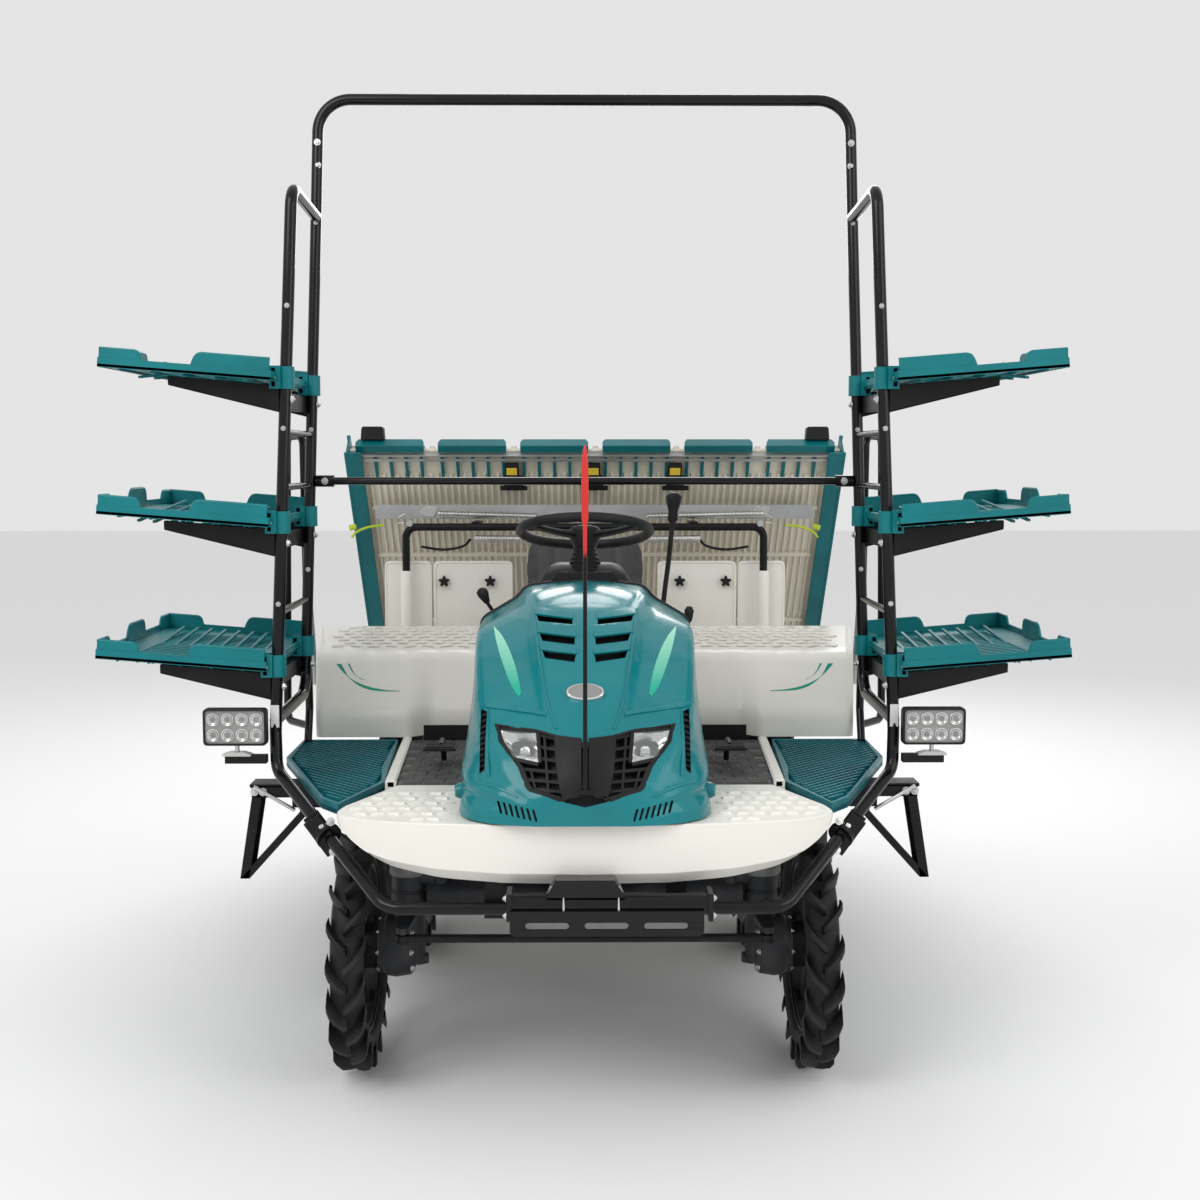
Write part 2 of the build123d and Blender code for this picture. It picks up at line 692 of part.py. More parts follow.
with BuildPart() as tie_rod:
    ball_x = KINGPIN_X + STEER_ARM[0]
    ball_y = FRONT_AXLE_Y + STEER_ARM[1]
    rod((-ball_x, ball_y, STEER_ARM_Z - 14), (ball_x, ball_y, STEER_ARM_Z - 14), 11)
    for side in (-1, 1):
        rod((side * ball_x, ball_y, STEER_ARM_Z - 24), (side * ball_x, ball_y, STEER_ARM_Z - 4), 18)
    rod((ball_x, ball_y, 350), (ball_x, ball_y, 450), 7 + RUNNING_FIT, mode=Mode.SUBTRACT)
    rod((-ball_x, ball_y, 350), (-ball_x, ball_y, 450), 8.5, mode=Mode.SUBTRACT)
save(tie_rod.part, "tie_rod")

# ---------------------------------------------------------------- lifting linkage
LINK_STEP = (LINK_LENGTH * cos(radians(LINK_RISE)), LINK_LENGTH * sin(radians(LINK_RISE)))
LOWER_REAR = (LOWER_PIVOT[0] + LINK_STEP[0], LOWER_PIVOT[1] + LINK_STEP[1])
UPPER_REAR = (UPPER_PIVOT[0] + LINK_STEP[0], UPPER_PIVOT[1] + LINK_STEP[1])
LEVER_EYE = (
    UPPER_PIVOT[0] + LIFT_LEVER * cos(radians(LIFT_LEVER_ANGLE)),
    UPPER_PIVOT[1] + LIFT_LEVER * sin(radians(LIFT_LEVER_ANGLE)),
)


def link_bars(front, rear, half_depth, rear_pin):
    """Two side bars of a lifting link with round ends, and the pins at both ends."""
    slope = Vector(0, rear[0] - front[0], rear[1] - front[1])
    for side in (-1, 1):
        middle = (side * 66, (front[0] + rear[0]) / 2, (front[1] + rear[1]) / 2)
        with Locations(Plane(origin=middle, x_dir=slope, z_dir=(1, 0, 0))):
            Box(slope.length, half_depth * 2, 15)
        for end in (front, rear):
            rod((side * 58.5, *end), (side * 73.5, *end), half_depth + 6)
    rod((-98, *front), (98, *front), PIN_R)
    rod((-98, *rear), (98, *rear), rear_pin)


with BuildPart() as lower_link:
    link_bars(LOWER_PIVOT, LOWER_REAR, 26, PIN_R)
    brace_at = between(LOWER_PIVOT, LOWER_REAR, 0.55)
    rod((-66, *brace_at), (66, *brace_at), 18)
save(lower_link.part, "lower_link")

with BuildPart() as upper_link:
    link_bars(UPPER_PIVOT, UPPER_REAR, 19, PIN_R - 1)
    rod((-66, *UPPER_PIVOT), (66, *UPPER_PIVOT), 20)
    # lever down to the lift cylinder's eye
    for side in (-1, 1):
        lever = [
            (UPPER_PIVOT[0] - 18, UPPER_PIVOT[1]),
            (UPPER_PIVOT[0] + 18, UPPER_PIVOT[1]),
            (LEVER_EYE[0] + 15, LEVER_EYE[1] - 12),
            (LEVER_EYE[0] - 15, LEVER_EYE[1] - 12),
        ]
        side_profile(lever, side * 26, side * 38)
    rod((-38, *LEVER_EYE), (38, *LEVER_EYE), 7)
save(upper_link.part, "upper_link")

STROKE_AXIS = Vector(0, LEVER_EYE[0] - LIFT_BASE[0], LEVER_EYE[1] - LIFT_BASE[1])


def along_lift(distance):
    """A point on the lift cylinder's centre line, from its base pin."""
    step = STROKE_AXIS.normalized() * distance
    return (0, LIFT_BASE[0] + step.Y, LIFT_BASE[1] + step.Z)


with BuildPart() as lift_cylinder:
    rod((-24, *LIFT_BASE), (24, *LIFT_BASE), 20)
    rod((-46, *LIFT_BASE), (46, *LIFT_BASE), 10)
    rod(along_lift(10), along_lift(300), 27)
    rod(along_lift(60), along_lift(320), 14.05, mode=Mode.SUBTRACT)
save(lift_cylinder.part, "lift_cylinder")

with BuildPart() as lift_rod:
    eye_distance = STROKE_AXIS.length
    rod(along_lift(180), along_lift(eye_distance - 22), 14)
    rod((-20, *LEVER_EYE), (20, *LEVER_EYE), 25)
    rod((-30, *LEVER_EYE), (30, *LEVER_EYE), 17, mode=Mode.SUBTRACT)
save(lift_rod.part, "lift_rod")

# ---------------------------------------------------------------- planting unit
with BuildPart() as planter_frame:
    block(-760, 760, TOOLBAR[0] - 30, TOOLBAR[0] + 30, TOOLBAR[1] - 30, TOOLBAR[1] + 30)
    # hitch plates with the rear pivots of the two links
    hitch = [
        (LOWER_REAR[0] - 34, LOWER_REAR[1] - 60),
        (TOOLBAR[0] + 30, TOOLBAR[1] - 30),
        (TOOLBAR[0] + 30, TOOLBAR[1] + 30),
        (UPPER_REAR[0] + 50, UPPER_REAR[1] + 30),
        (UPPER_REAR[0] - 34, UPPER_REAR[1] + 30),
        (LOWER_REAR[0] - 34, LOWER_REAR[1] + 60),
    ]
    for side in (-1, 1):
        side_profile(hitch, side * LINK_PLATE_X, side * (LINK_PLATE_X + 14))
    for pivot, fit in ((LOWER_REAR, PIN_R + RUNNING_FIT), (UPPER_REAR, PIN_R)):
        rod((-110, *pivot), (110, *pivot), fit, mode=Mode.SUBTRACT)
    # support frame for the seedling stage: two uprights and a top bar
    bent_tube(
        [
            (-SUPPORT_X, TOOLBAR[0], TOOLBAR[1]),
            (-SUPPORT_X, SUPPORT_Y, 900),
            (-SUPPORT_X, SUPPORT_Y, SUPPORT_Z),
            (SUPPORT_X, SUPPORT_Y, SUPPORT_Z),
            (SUPPORT_X, SUPPORT_Y, 900),
            (SUPPORT_X, TOOLBAR[0], TOOLBAR[1]),
        ],
        14,
        40,
    )
    # roller brackets under the stage's rail
    for bracket_x in (-400, 400):
        block(bracket_x - 15, bracket_x + 15, SUPPORT_Y, 736, SUPPORT_Z - 12, SUPPORT_Z + 18)
    # side arms that carry the row markers
    for side in (-1, 1):
        block(side * 755, side * 905, TOOLBAR[0] - 20, TOOLBAR[0] + 20, 585, 625)
        block(side * 865, side * 905, TOOLBAR[0] + 20, MARKER_HINGE[1] - 17, 585, 625)
        # lug with the hole for the marker's hinge pin
        lug = (side * MARKER_HINGE[0], MARKER_HINGE[1] - 17, MARKER_HINGE[2])
        lug_front = (side * MARKER_HINGE[0], MARKER_HINGE[1] - 35, MARKER_HINGE[2])
        block(side * 880, side * 940, lug_front[1], lug[1], 600, MARKER_HINGE[2])
        rod(lug_front, lug, 15)
        hole_end = (lug[0], lug[1] + 5, lug[2])
        rod((lug[0], lug_front[1] - 5, lug[2]), hole_end, MARKER_PIN_R, mode=Mode.SUBTRACT)
save(planter_frame.part, "planter_frame")

with BuildPart() as planting_cases:
    for case_x in CASE_X:
        block(case_x - 35, case_x + 35, TOOLBAR[0] + 30.5, ROTOR_AXIS[0], 460, 560)
        rod((case_x - 35, *ROTOR_AXIS), (case_x + 35, *ROTOR_AXIS), 62)
        rod((case_x - 60, *ROTOR_AXIS), (case_x + 60, *ROTOR_AXIS), 13.06, mode=Mode.SUBTRACT)
save(planting_cases.part, "planting_cases")

FLOAT_SIDE = [
    (560, FLOAT_BOTTOM + 95),
    (600, FLOAT_BOTTOM + 40),
    (700, FLOAT_BOTTOM),
    (1440, FLOAT_BOTTOM),
    (1450, FLOAT_BOTTOM + 35),
    (760, FLOAT_BOTTOM + 60),
    (640, FLOAT_BOTTOM + 85),
    (585, FLOAT_BOTTOM + 115),
]
with BuildPart() as floats:
    for float_x, half_width in ((-600, 100), (0, 105), (600, 100)):
        side_profile(FLOAT_SIDE, float_x - half_width, float_x + half_width)
        block(float_x - 20, float_x + 20, 940, 1000, FLOAT_BOTTOM + 40, 459.5)
save(floats.part, "floats")

with BuildPart() as guard_panels:
    for side in (-1, 1):
        block(side * 268, side * 740, 622, 646, 950, 1245)
        rod((side * SUPPORT_X, SUPPORT_Y, 940), (side * SUPPORT_X, SUPPORT_Y, 1212), 21)
        rod((side * SUPPORT_X, SUPPORT_Y, 930), (side * SUPPORT_X, SUPPORT_Y, 1230), 14.4, mode=Mode.SUBTRACT)
save(guard_panels.part, "guard_panels")

# seedling stage: its own frame has x across, y down the slope and z out of its face
STAGE_NORMAL = (0, sin(radians(STAGE_SLOPE)), cos(radians(STAGE_SLOPE)))
STAGE_FACE = Plane(origin=(STAGE_SHIFT, *STAGE_TOP), x_dir=(1, 0, 0), z_dir=STAGE_NORMAL)

with BuildPart() as stage_plate:
    with Locations(STAGE_FACE):
        block(-899, 899, 0, STAGE_LENGTH, -22, -8)
        for lane in range(7):
            wall_x = max(-893, min(893, (lane - 3) * ROW_PITCH))
            block(wall_x - 6, wall_x + 6, 20, STAGE_LENGTH, -9, 32)
        # cross ribs under the plate
        for rib_y in (120, 480, 840, 1200):
            block(-840, 840, rib_y, rib_y + 16, -40, -21)
save(stage_plate.part, "stage_plate")

with BuildPart() as stage_sides:
    with Locations(STAGE_FACE):
        for side in (-1, 1):
            block(side * 899.5, side * STAGE_HALF_WIDTH, -20, STAGE_LENGTH + 10, -62, 44)
            block(side * 850, side * 900, -20, STAGE_LENGTH + 10, -62, -44)
save(stage_sides.part, "stage_sides")

with BuildPart() as stage_caps:
    with Locations(STAGE_FACE):
        for lane in range(6):
            cap_x = (lane - 2.5) * ROW_PITCH
            block(cap_x - 124, cap_x + 124, -34, -0.5, -36, 14)
            block(cap_x - 124, cap_x + 124, -0.5, 70, 2, 10)
            block(cap_x - 124, cap_x + 124, -2, 19, -7.5, 4)
save(stage_caps.part, "stage_caps")

with BuildPart() as stage_blocks:
    for side in (-1, 1):
        block_x = STAGE_SHIFT + side * 812
        block(block_x - 43, block_x + 43, 585, 629, 1690, 1738)
save(stage_blocks.part, "stage_blocks")

with BuildPart() as stage_rail:
    # galvanised angle under the stage that runs in the support frame's rollers
    block(STAGE_SHIFT - 815, STAGE_SHIFT + 815, 690, 696, 1398, 1450)
    block(STAGE_SHIFT - 815, STAGE_SHIFT + 815, 695, 745, 1398, 1404)
    for side in (-1, 1):
        bracket_x = STAGE_SHIFT + side * 640
        block(bracket_x - 20, bracket_x + 20, 695, 776, 1404, 1446)
save(stage_rail.part, "stage_rail")

# ---------------------------------------------------------------- planting gear
CRANK_OFFSET = (CRANK_R * cos(radians(CRANK_PHASE)), CRANK_R * sin(radians(CRANK_PHASE)))
with BuildPart() as planting_rotors:
    for case_x in CASE_X:
        rod((case_x - 130, *ROTOR_AXIS), (case_x + 130, *ROTOR_AXIS), 13)
        for side in (-1, 1):
            face_x = case_x + side * 95
            with Locations(
                Plane(
                    origin=(case_x + side * 112, *ROTOR_AXIS),
                    x_dir=(0, *CRANK_OFFSET),
                    z_dir=(1, 0, 0),
                )
            ):
                Box(CRANK_R * 2, 56, 34)
            for turn in (-1, 1):
                pin = (ROTOR_AXIS[0] + turn * CRANK_OFFSET[0], ROTOR_AXIS[1] + turn * CRANK_OFFSET[1])
                rod((face_x, *pin), (case_x + side * 129, *pin), 28)
                rod((case_x + side * 129, *pin), (case_x + side * 162, *pin), 9)
save(planting_rotors.part, "planting_rotors")


def planting_arms(turn, name):
    """The six planting arms on one set of crank pins, each with its claw."""
    pin_y = ROTOR_AXIS[0] + turn * CRANK_OFFSET[0]
    pin_z = ROTOR_AXIS[1] + turn * CRANK_OFFSET[1]
    with BuildPart() as piece:
        for case_x in CASE_X:
            for side in (-1, 1):
                inner = case_x + side * 136
                outer = case_x + side * 160
                rod((inner, pin_y, pin_z), (outer, pin_y, pin_z), 24)
                claw = [
                    (pin_y, pin_z + 20),
                    (pin_y + 60, pin_z - 14),
                    (pin_y + 96, pin_z - 58),
                    (pin_y + 90, pin_z - 62),
                    (pin_y + 46, pin_z - 36),
                    (pin_y - 4, pin_z - 22),
                ]
                side_profile(claw, inner, outer)
                bore_start = (inner - side * 5, pin_y, pin_z)
                bore_end = (outer + side * 5, pin_y, pin_z)
                rod(bore_start, bore_end, CLAW_BORE_R, mode=Mode.SUBTRACT)
    save(piece.part, name)


planting_arms(1, "planting_arms_a")
planting_arms(-1, "planting_arms_b")


def row_marker(side, name):
    """A folded row marker: hinge sleeve, arm beside the stage and its tip."""
    hinge_x, hinge_y, hinge_z = MARKER_HINGE
    with BuildPart() as piece:
        x = side * hinge_x
        rod((x, hinge_y - 16.5, hinge_z), (x, hinge_y + 16, hinge_z), 22)
        rod((x, hinge_y - 39, hinge_z), (x, hinge_y - 16, hinge_z), MARKER_PIN_R - RUNNING_FIT)
        arm = [(x, hinge_y, hinge_z)] + [(side * out, y, z) for out, y, z in MARKER_ARM]
        for low, high in zip(arm, arm[1:]):
            rod(low, high, 12)
        for corner in arm[1:]:
            with Locations(corner):
                Sphere(14)
    save(piece.part, name)


row_marker(-1, "row_marker_right")
row_marker(1, "row_marker_left")
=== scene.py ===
"""Looks of a riding six-row rice transplanter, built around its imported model.

Every length is in metres, in the machine's own frame: +Z is up, the machine drives
towards -Y, +X is on its left side, and the origin is on the ground under its middle.
"""

import json
import logging
import math
from collections.abc import Callable, Iterable, Sequence
from dataclasses import dataclass, field
from enum import Enum

import bmesh
import bpy
from mathutils import Matrix, Vector
from mathutils.bvhtree import BVHTree

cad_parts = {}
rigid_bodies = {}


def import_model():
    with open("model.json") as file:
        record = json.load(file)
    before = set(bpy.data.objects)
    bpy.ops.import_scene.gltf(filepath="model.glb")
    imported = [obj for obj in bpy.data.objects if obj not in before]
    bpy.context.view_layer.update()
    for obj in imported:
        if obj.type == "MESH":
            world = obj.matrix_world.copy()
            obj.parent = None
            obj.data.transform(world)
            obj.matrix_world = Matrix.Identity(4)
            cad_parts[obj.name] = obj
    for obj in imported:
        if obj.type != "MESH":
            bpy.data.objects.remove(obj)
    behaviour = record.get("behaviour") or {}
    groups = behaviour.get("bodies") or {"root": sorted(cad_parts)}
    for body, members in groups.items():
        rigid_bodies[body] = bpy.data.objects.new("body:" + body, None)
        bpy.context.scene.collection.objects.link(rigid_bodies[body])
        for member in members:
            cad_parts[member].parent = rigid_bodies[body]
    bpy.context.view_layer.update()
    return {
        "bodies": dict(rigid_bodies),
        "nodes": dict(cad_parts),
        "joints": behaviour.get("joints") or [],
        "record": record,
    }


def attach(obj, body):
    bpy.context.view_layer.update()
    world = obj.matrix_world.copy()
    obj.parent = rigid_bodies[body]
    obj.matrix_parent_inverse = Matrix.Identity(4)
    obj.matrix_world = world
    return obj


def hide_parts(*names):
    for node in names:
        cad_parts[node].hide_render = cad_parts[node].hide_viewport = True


log = logging.getLogger("transplanter")

Point = Sequence[float]
Outline = Sequence[tuple[float, float]]


# ------------------------------------------------------------------ building meshes
class Plane(Enum):
    """The plane that a flat outline is drawn in, before it is given its depth."""

    FRONT = "xz"
    SIDE = "yz"
    TOP = "xy"

    def place(self, a: float, b: float, depth: float) -> Vector:
        """The point of the machine at (a, b) on this plane and at a depth across it."""
        if self is Plane.FRONT:
            return Vector((a, depth, b))
        if self is Plane.SIDE:
            return Vector((depth, a, b))
        return Vector((a, b, depth))


def mix(a: float, b: float, share: float) -> float:
    """The number at a share of the way from a to b."""
    return a + (b - a) * share


def rounded(points: Sequence[Point], radius: float, steps: int = 4, closed: bool = True) -> list[Vector]:
    """Rounds the corners of a line or outline with short arcs.

    Args:
        points: Corners in order, in two or three dimensions.
        radius: How far from a corner its arc begins, less on short runs.
        steps: Number of runs in each arc.
        closed: Whether the last point joins the first.

    Returns:
        The points of the rounded line.
    """
    corners = [Vector(p) for p in points]
    count = len(corners)
    line: list[Vector] = []
    for i, corner in enumerate(corners):
        if not closed and i in (0, count - 1):
            line.append(corner)
            continue
        before, after = corners[i - 1], corners[(i + 1) % count]
        back = min(radius, (before - corner).length * 0.49)
        ahead = min(radius, (after - corner).length * 0.49)
        start = corner + (before - corner).normalized() * back
        end = corner + (after - corner).normalized() * ahead
        for k in range(steps + 1):
            t = k / steps
            line.append(start * (1 - t) ** 2 + corner * 2 * t * (1 - t) + end * t * t)
    return line


class Solid:
    """A mesh that is put together in the machine's frame, or in a local one of its own."""

    def __init__(self) -> None:
        """Starts an empty mesh in the machine's frame."""
        self.verts: list[Vector] = []
        self.faces: list[tuple[int, ...]] = []
        self.at = Matrix.Identity(4)

    def add(self, verts: Iterable[Point], faces: Iterable[Sequence[int]]) -> "Solid":
        """Adds vertices, through the local frame, and the faces between them.

        Args:
            verts: Points in the local frame.
            faces: Vertex numbers of each face, counted from this call's first vertex.

        Returns:
            This mesh, so that calls can follow one another.
        """
        base = len(self.verts)
        self.verts += [self.at @ Vector(v) for v in verts]
        self.faces += [tuple(base + i for i in face) for face in faces]
        return self

    def loft(self, rings: Sequence[Sequence[Point]], closed: bool = False, capped: bool = True) -> "Solid":
        """Skins a run of closed rings that all have the same number of points.

        Args:
            rings: The rings in order.
            closed: Whether the last ring joins the first.
            capped: Whether both ends are closed with a face.

        Returns:
            This mesh.
        """
        count = len(rings[0])
        faces: list[Sequence[int]] = []
        for i in range(len(rings) if closed else len(rings) - 1):
            low, high = i * count, (i + 1) % len(rings) * count
            for j in range(count):
                k = (j + 1) % count
                faces.append((low + j, low + k, high + k, high + j))
        if capped and not closed:
            faces.append(tuple(range(count - 1, -1, -1)))
            faces.append(tuple((len(rings) - 1) * count + j for j in range(count)))
        return self.add([p for ring in rings for p in ring], faces)

    def sheet(self, rows: Sequence[Sequence[Point]]) -> "Solid":
        """Joins rows of points into an open grid of faces."""
        count = len(rows[0])
        faces = [
            (i * count + j, i * count + j + 1, (i + 1) * count + j + 1, (i + 1) * count + j)
            for i in range(len(rows) - 1)
            for j in range(count - 1)
        ]
        return self.add([p for row in rows for p in row], faces)

    def prism(self, outline: Outline, low: float, high: float, plane: Plane) -> "Solid":
        """Gives a flat outline its depth, from low to high across its plane."""
        ends = [[plane.place(a, b, depth) for a, b in outline] for depth in (low, high)]
        return self.loft(ends)

    def box(self, low: Point, high: Point) -> "Solid":
        """Adds a box between two opposite corners."""
        (x0, y0, z0), (x1, y1, z1) = low, high
        return self.prism([(x0, y0), (x1, y0), (x1, y1), (x0, y1)], z0, z1, Plane.TOP)

    def bar(self, start: Point, end: Point, radius: float,
            sides: int = 16, tip: float | None = None) -> "Solid":
        """Adds a straight round bar, which may taper to another radius at its tip."""
        return self.turned([(0.0, radius), (1.0, radius if tip is None else tip)], start, end, sides)

    def turned(self, profile: Outline, start: Point, end: Point, sides: int = 24) -> "Solid":
        """Adds a turned shape on the line from start to end.

        Args:
            profile: Pairs of a share of the way along the line and the radius there.
            start: Where the line begins.
            end: Where it ends.
            sides: Number of points round each ring.

        Returns:
            This mesh.
        """
        first, last = Vector(start), Vector(end)
        turn = (last - first).to_track_quat("Z", "Y").to_matrix()
        rings = []
        for share, radius in profile:
            centre = first.lerp(last, share)
            ring = []
            for k in range(sides):
                angle = math.tau * k / sides
                ring.append(centre + turn @ Vector((math.cos(angle) * radius, math.sin(angle) * radius, 0)))
            rings.append(ring)
        return self.loft(rings)

    def tube(self, points: Sequence[Point], radius: float,
             bend: float, sides: int = 14, steps: int = 7) -> "Solid":
        """Adds a round tube that follows a line with rounded corners.

        Args:
            points: Corners of the line.
            radius: Half the tube's thickness.
            bend: How far from each corner its arc begins.
            sides: Number of points round the tube.
            steps: Number of runs in each arc.

        Returns:
            This mesh.
        """
        line = rounded(points, bend, steps, closed=False)
        line = [p for i, p in enumerate(line) if i == 0 or (p - line[i - 1]).length > 1e-6]
        rings = []
        frame = (line[1] - line[0]).to_track_quat("Z", "Y").to_matrix()
        for i, centre in enumerate(line):
            ahead = line[min(i + 1, len(line) - 1)] - centre
            behind = centre - line[max(i - 1, 0)]
            way = (ahead.normalized() + behind.normalized()).normalized()
            frame = frame.col[2].rotation_difference(way).to_matrix() @ frame
            ring = []
            for k in range(sides):
                angle = math.tau * k / sides
                ring.append(centre + frame @ Vector((math.cos(angle) * radius, math.sin(angle) * radius, 0)))
            rings.append(ring)
        return self.loft(rings)

    def mirrored(self) -> "Solid":
        """Adds the mirror image of everything so far, for the machine's other side."""
        count = len(self.verts)
        self.verts += [Vector((-v.x, v.y, v.z)) for v in self.verts]
        self.faces += [tuple(count + i for i in reversed(face)) for face in list(self.faces)]
        return self

    def mesh(self, name: str) -> bpy.types.Mesh:
        """Turns what was built into a mesh with its faces pointing outwards."""
        made = bpy.data.meshes.new(name)
        made.from_pydata([tuple(v) for v in self.verts], [], self.faces)
        work = bmesh.new()
        work.from_mesh(made)
        bmesh.ops.recalc_face_normals(work, faces=work.faces)
        work.to_mesh(made)
        work.free()
        return made


def smooth(mesh: bpy.types.Mesh, angle: float) -> None:
    """Shades a mesh smooth, apart from edges sharper than an angle in degrees."""
    for face in mesh.polygons:
        face.use_smooth = True
    mesh.set_sharp_from_angle(angle=math.radians(angle))


def plain_mesh(carrier: bpy.types.Object, name: str) -> bpy.types.Mesh:
    """The mesh that an object shows with its modifiers, after which the object is removed."""
    graph = bpy.context.evaluated_depsgraph_get()
    mesh = bpy.data.meshes.new_from_object(carrier.evaluated_get(graph), depsgraph=graph)
    mesh.name = name
    bpy.data.objects.remove(carrier)
    return mesh


def carrier(name: str, mesh: bpy.types.Mesh) -> bpy.types.Object:
    """A new object in the scene that holds a mesh."""
    made = bpy.data.objects.new(name, mesh)
    bpy.context.scene.collection.objects.link(made)
    return made


@dataclass(frozen=True)
class Edge:
    """How a piece's edges are finished.

    Attributes:
        width: Width of the rounding on its edges, or 0 for none.
        steps: Number of runs across the rounding.
        levels: Levels of subdivision, or 0 for none.
        angle: Sharpest edge that is still shaded smooth, in degrees.
    """

    width: float = 0.0
    steps: int = 2
    levels: int = 0
    angle: float = 35.0


@dataclass(frozen=True)
class Fit:
    """Where a piece belongs on the machine.

    Attributes:
        body: The body that it rides on.
        slot: The name of a material slot, which is not used.
        stands_for: The plain nodes that aren't shown because of it.
    """

    body: str = "chassis"
    slot: str = ""
    stands_for: tuple[str, ...] = ()


def fit_piece(
    name: str,
    source: Solid | bpy.types.Mesh,
    finish: "Finish",
    fit: Fit,
    edge: Edge = Edge(),
) -> bpy.types.Object:
    """Makes a finished piece of the machine and fixes it to its body.

    Args:
        name: The piece's name.
        source: What was built for it, in the machine's frame.
        finish: What it is made of.
        fit: Where it belongs.
        edge: How its edges are finished.

    Returns:
        The piece's object.
    """
    mesh = source.mesh(name) if isinstance(source, Solid) else source
    mesh.materials.clear()
    mesh.materials.append(finish.material())
    smooth(mesh, edge.angle)
    piece = carrier(name, mesh)
    if edge.width:
        bevel = piece.modifiers.new("edges", "BEVEL")
        bevel.width, bevel.segments, bevel.limit_method = edge.width, edge.steps, "ANGLE"
        bevel.angle_limit = math.radians(32)
        bevel.harden_normals = True
    if edge.levels:
        rounding = piece.modifiers.new("rounding", "SUBSURF")
        rounding.levels = rounding.render_levels = edge.levels
    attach(piece, fit.body)
    if fit.stands_for:
        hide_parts(*fit.stands_for)
    log.info("piece %s: %d faces on %s", name, len(mesh.polygons), fit.body)
    return piece


# ------------------------------------------------------------------ repeated shapes
class Tree:
    """A geometry node tree with named inputs, which repeats one shape."""

    def __init__(self, name: str) -> None:
        """Starts a tree with its two ends."""
        self.group = bpy.data.node_groups.new(name, "GeometryNodeTree")
        self.group.interface.new_socket("Geometry", in_out="OUTPUT", socket_type="NodeSocketGeometry")
        self.group.interface.new_socket("Geometry", in_out="INPUT", socket_type="NodeSocketGeometry")
        self.start = self.group.nodes.new("NodeGroupInput")
        self.end = self.group.nodes.new("NodeGroupOutput")

    def size(self, name: str, kind: str) -> bpy.types.NodeSocket:
        """Adds a named input of a socket kind such as Float, Int, Vector or Object."""
        self.group.interface.new_socket(name, in_out="INPUT", socket_type="NodeSocket" + kind)
        return self.start.outputs[name]

    def node(self, kind: str, inputs: dict[str, object] | None = None, **settings: object) -> bpy.types.Node:
        """Adds a node.

        Args:
            kind: The node's type, without the GeometryNode prefix where it has one.
            inputs: Values or sockets for its inputs, by name.
            settings: The node's own settings.

        Returns:
            The node.
        """
        full = kind if kind.startswith(("Shader", "Function")) else "GeometryNode" + kind
        made = self.group.nodes.new(full)
        for key, value in settings.items():
            setattr(made, key, value)
        for key, value in (inputs or {}).items():
            if isinstance(value, bpy.types.NodeSocket):
                self.group.links.new(value, made.inputs[key])
            else:
                made.inputs[key].default_value = value
        return made

    def finish(self, geometry: bpy.types.NodeSocket, material: bpy.types.NodeSocket) -> None:
        """Ends the tree with its instances made real and its material set."""
        real = self.node("RealizeInstances", {"Geometry": geometry})
        dressed = self.node("SetMaterial", {"Geometry": real.outputs[0], "Material": material})
        self.group.links.new(dressed.outputs[0], self.end.inputs[0])

    def grow(self, name: str, base: bpy.types.Mesh, values: dict[str, object]) -> bpy.types.Mesh:
        """Runs the tree on a base mesh and returns what it makes.

        Args:
            name: Name of the mesh that is made.
            base: The mesh that goes in.
            values: A value for each named input.

        Returns:
            A plain mesh.
        """
        holder = carrier(name + "_base", base)
        nodes = holder.modifiers.new("repeat", "NODES")
        nodes.node_group = self.group
        for item in self.group.interface.items_tree:
            if item.in_out == "INPUT" and item.name in values:
                nodes[item.identifier] = values[item.name]
        return plain_mesh(holder, name)


class Repeater:
    """Builds each kind of tree once, and keeps it for the next piece."""

    trees: dict[str, Tree] = {}

    @classmethod
    def tree(cls, name: str, build: Callable[[], Tree]) -> Tree:
        """The tree of that name, built on its first use."""
        if name not in cls.trees:
            cls.trees[name] = build()
        return cls.trees[name]


def scatter_tree() -> Tree:
    """A tree that puts a template at each point, turned and sized by its attributes."""
    tree = Tree("shape_at_each_point")
    template = tree.size("Template", "Object")
    material = tree.size("Material", "Material")
    size = tree.size("Size", "Float")
    shape = tree.node("ObjectInfo", {"Object": template})
    turn = tree.node("InputNamedAttribute", {"Name": "turn"}, data_type="FLOAT_VECTOR")
    own = tree.node("InputNamedAttribute", {"Name": "own_size"}, data_type="FLOAT_VECTOR")
    scaled = tree.node("ShaderNodeVectorMath", {0: own.outputs[0]}, operation="SCALE")
    tree.group.links.new(size, scaled.inputs["Scale"])
    turned = tree.node("FunctionNodeEulerToRotation", {0: turn.outputs[0]})
    placed = tree.node(
        "InstanceOnPoints",
        {
            "Points": tree.start.outputs["Geometry"],
            "Instance": shape.outputs["Geometry"],
            "Rotation": turned.outputs[0],
            "Scale": scaled.outputs[0],
        },
    )
    tree.finish(placed.outputs[0], material)
    return tree


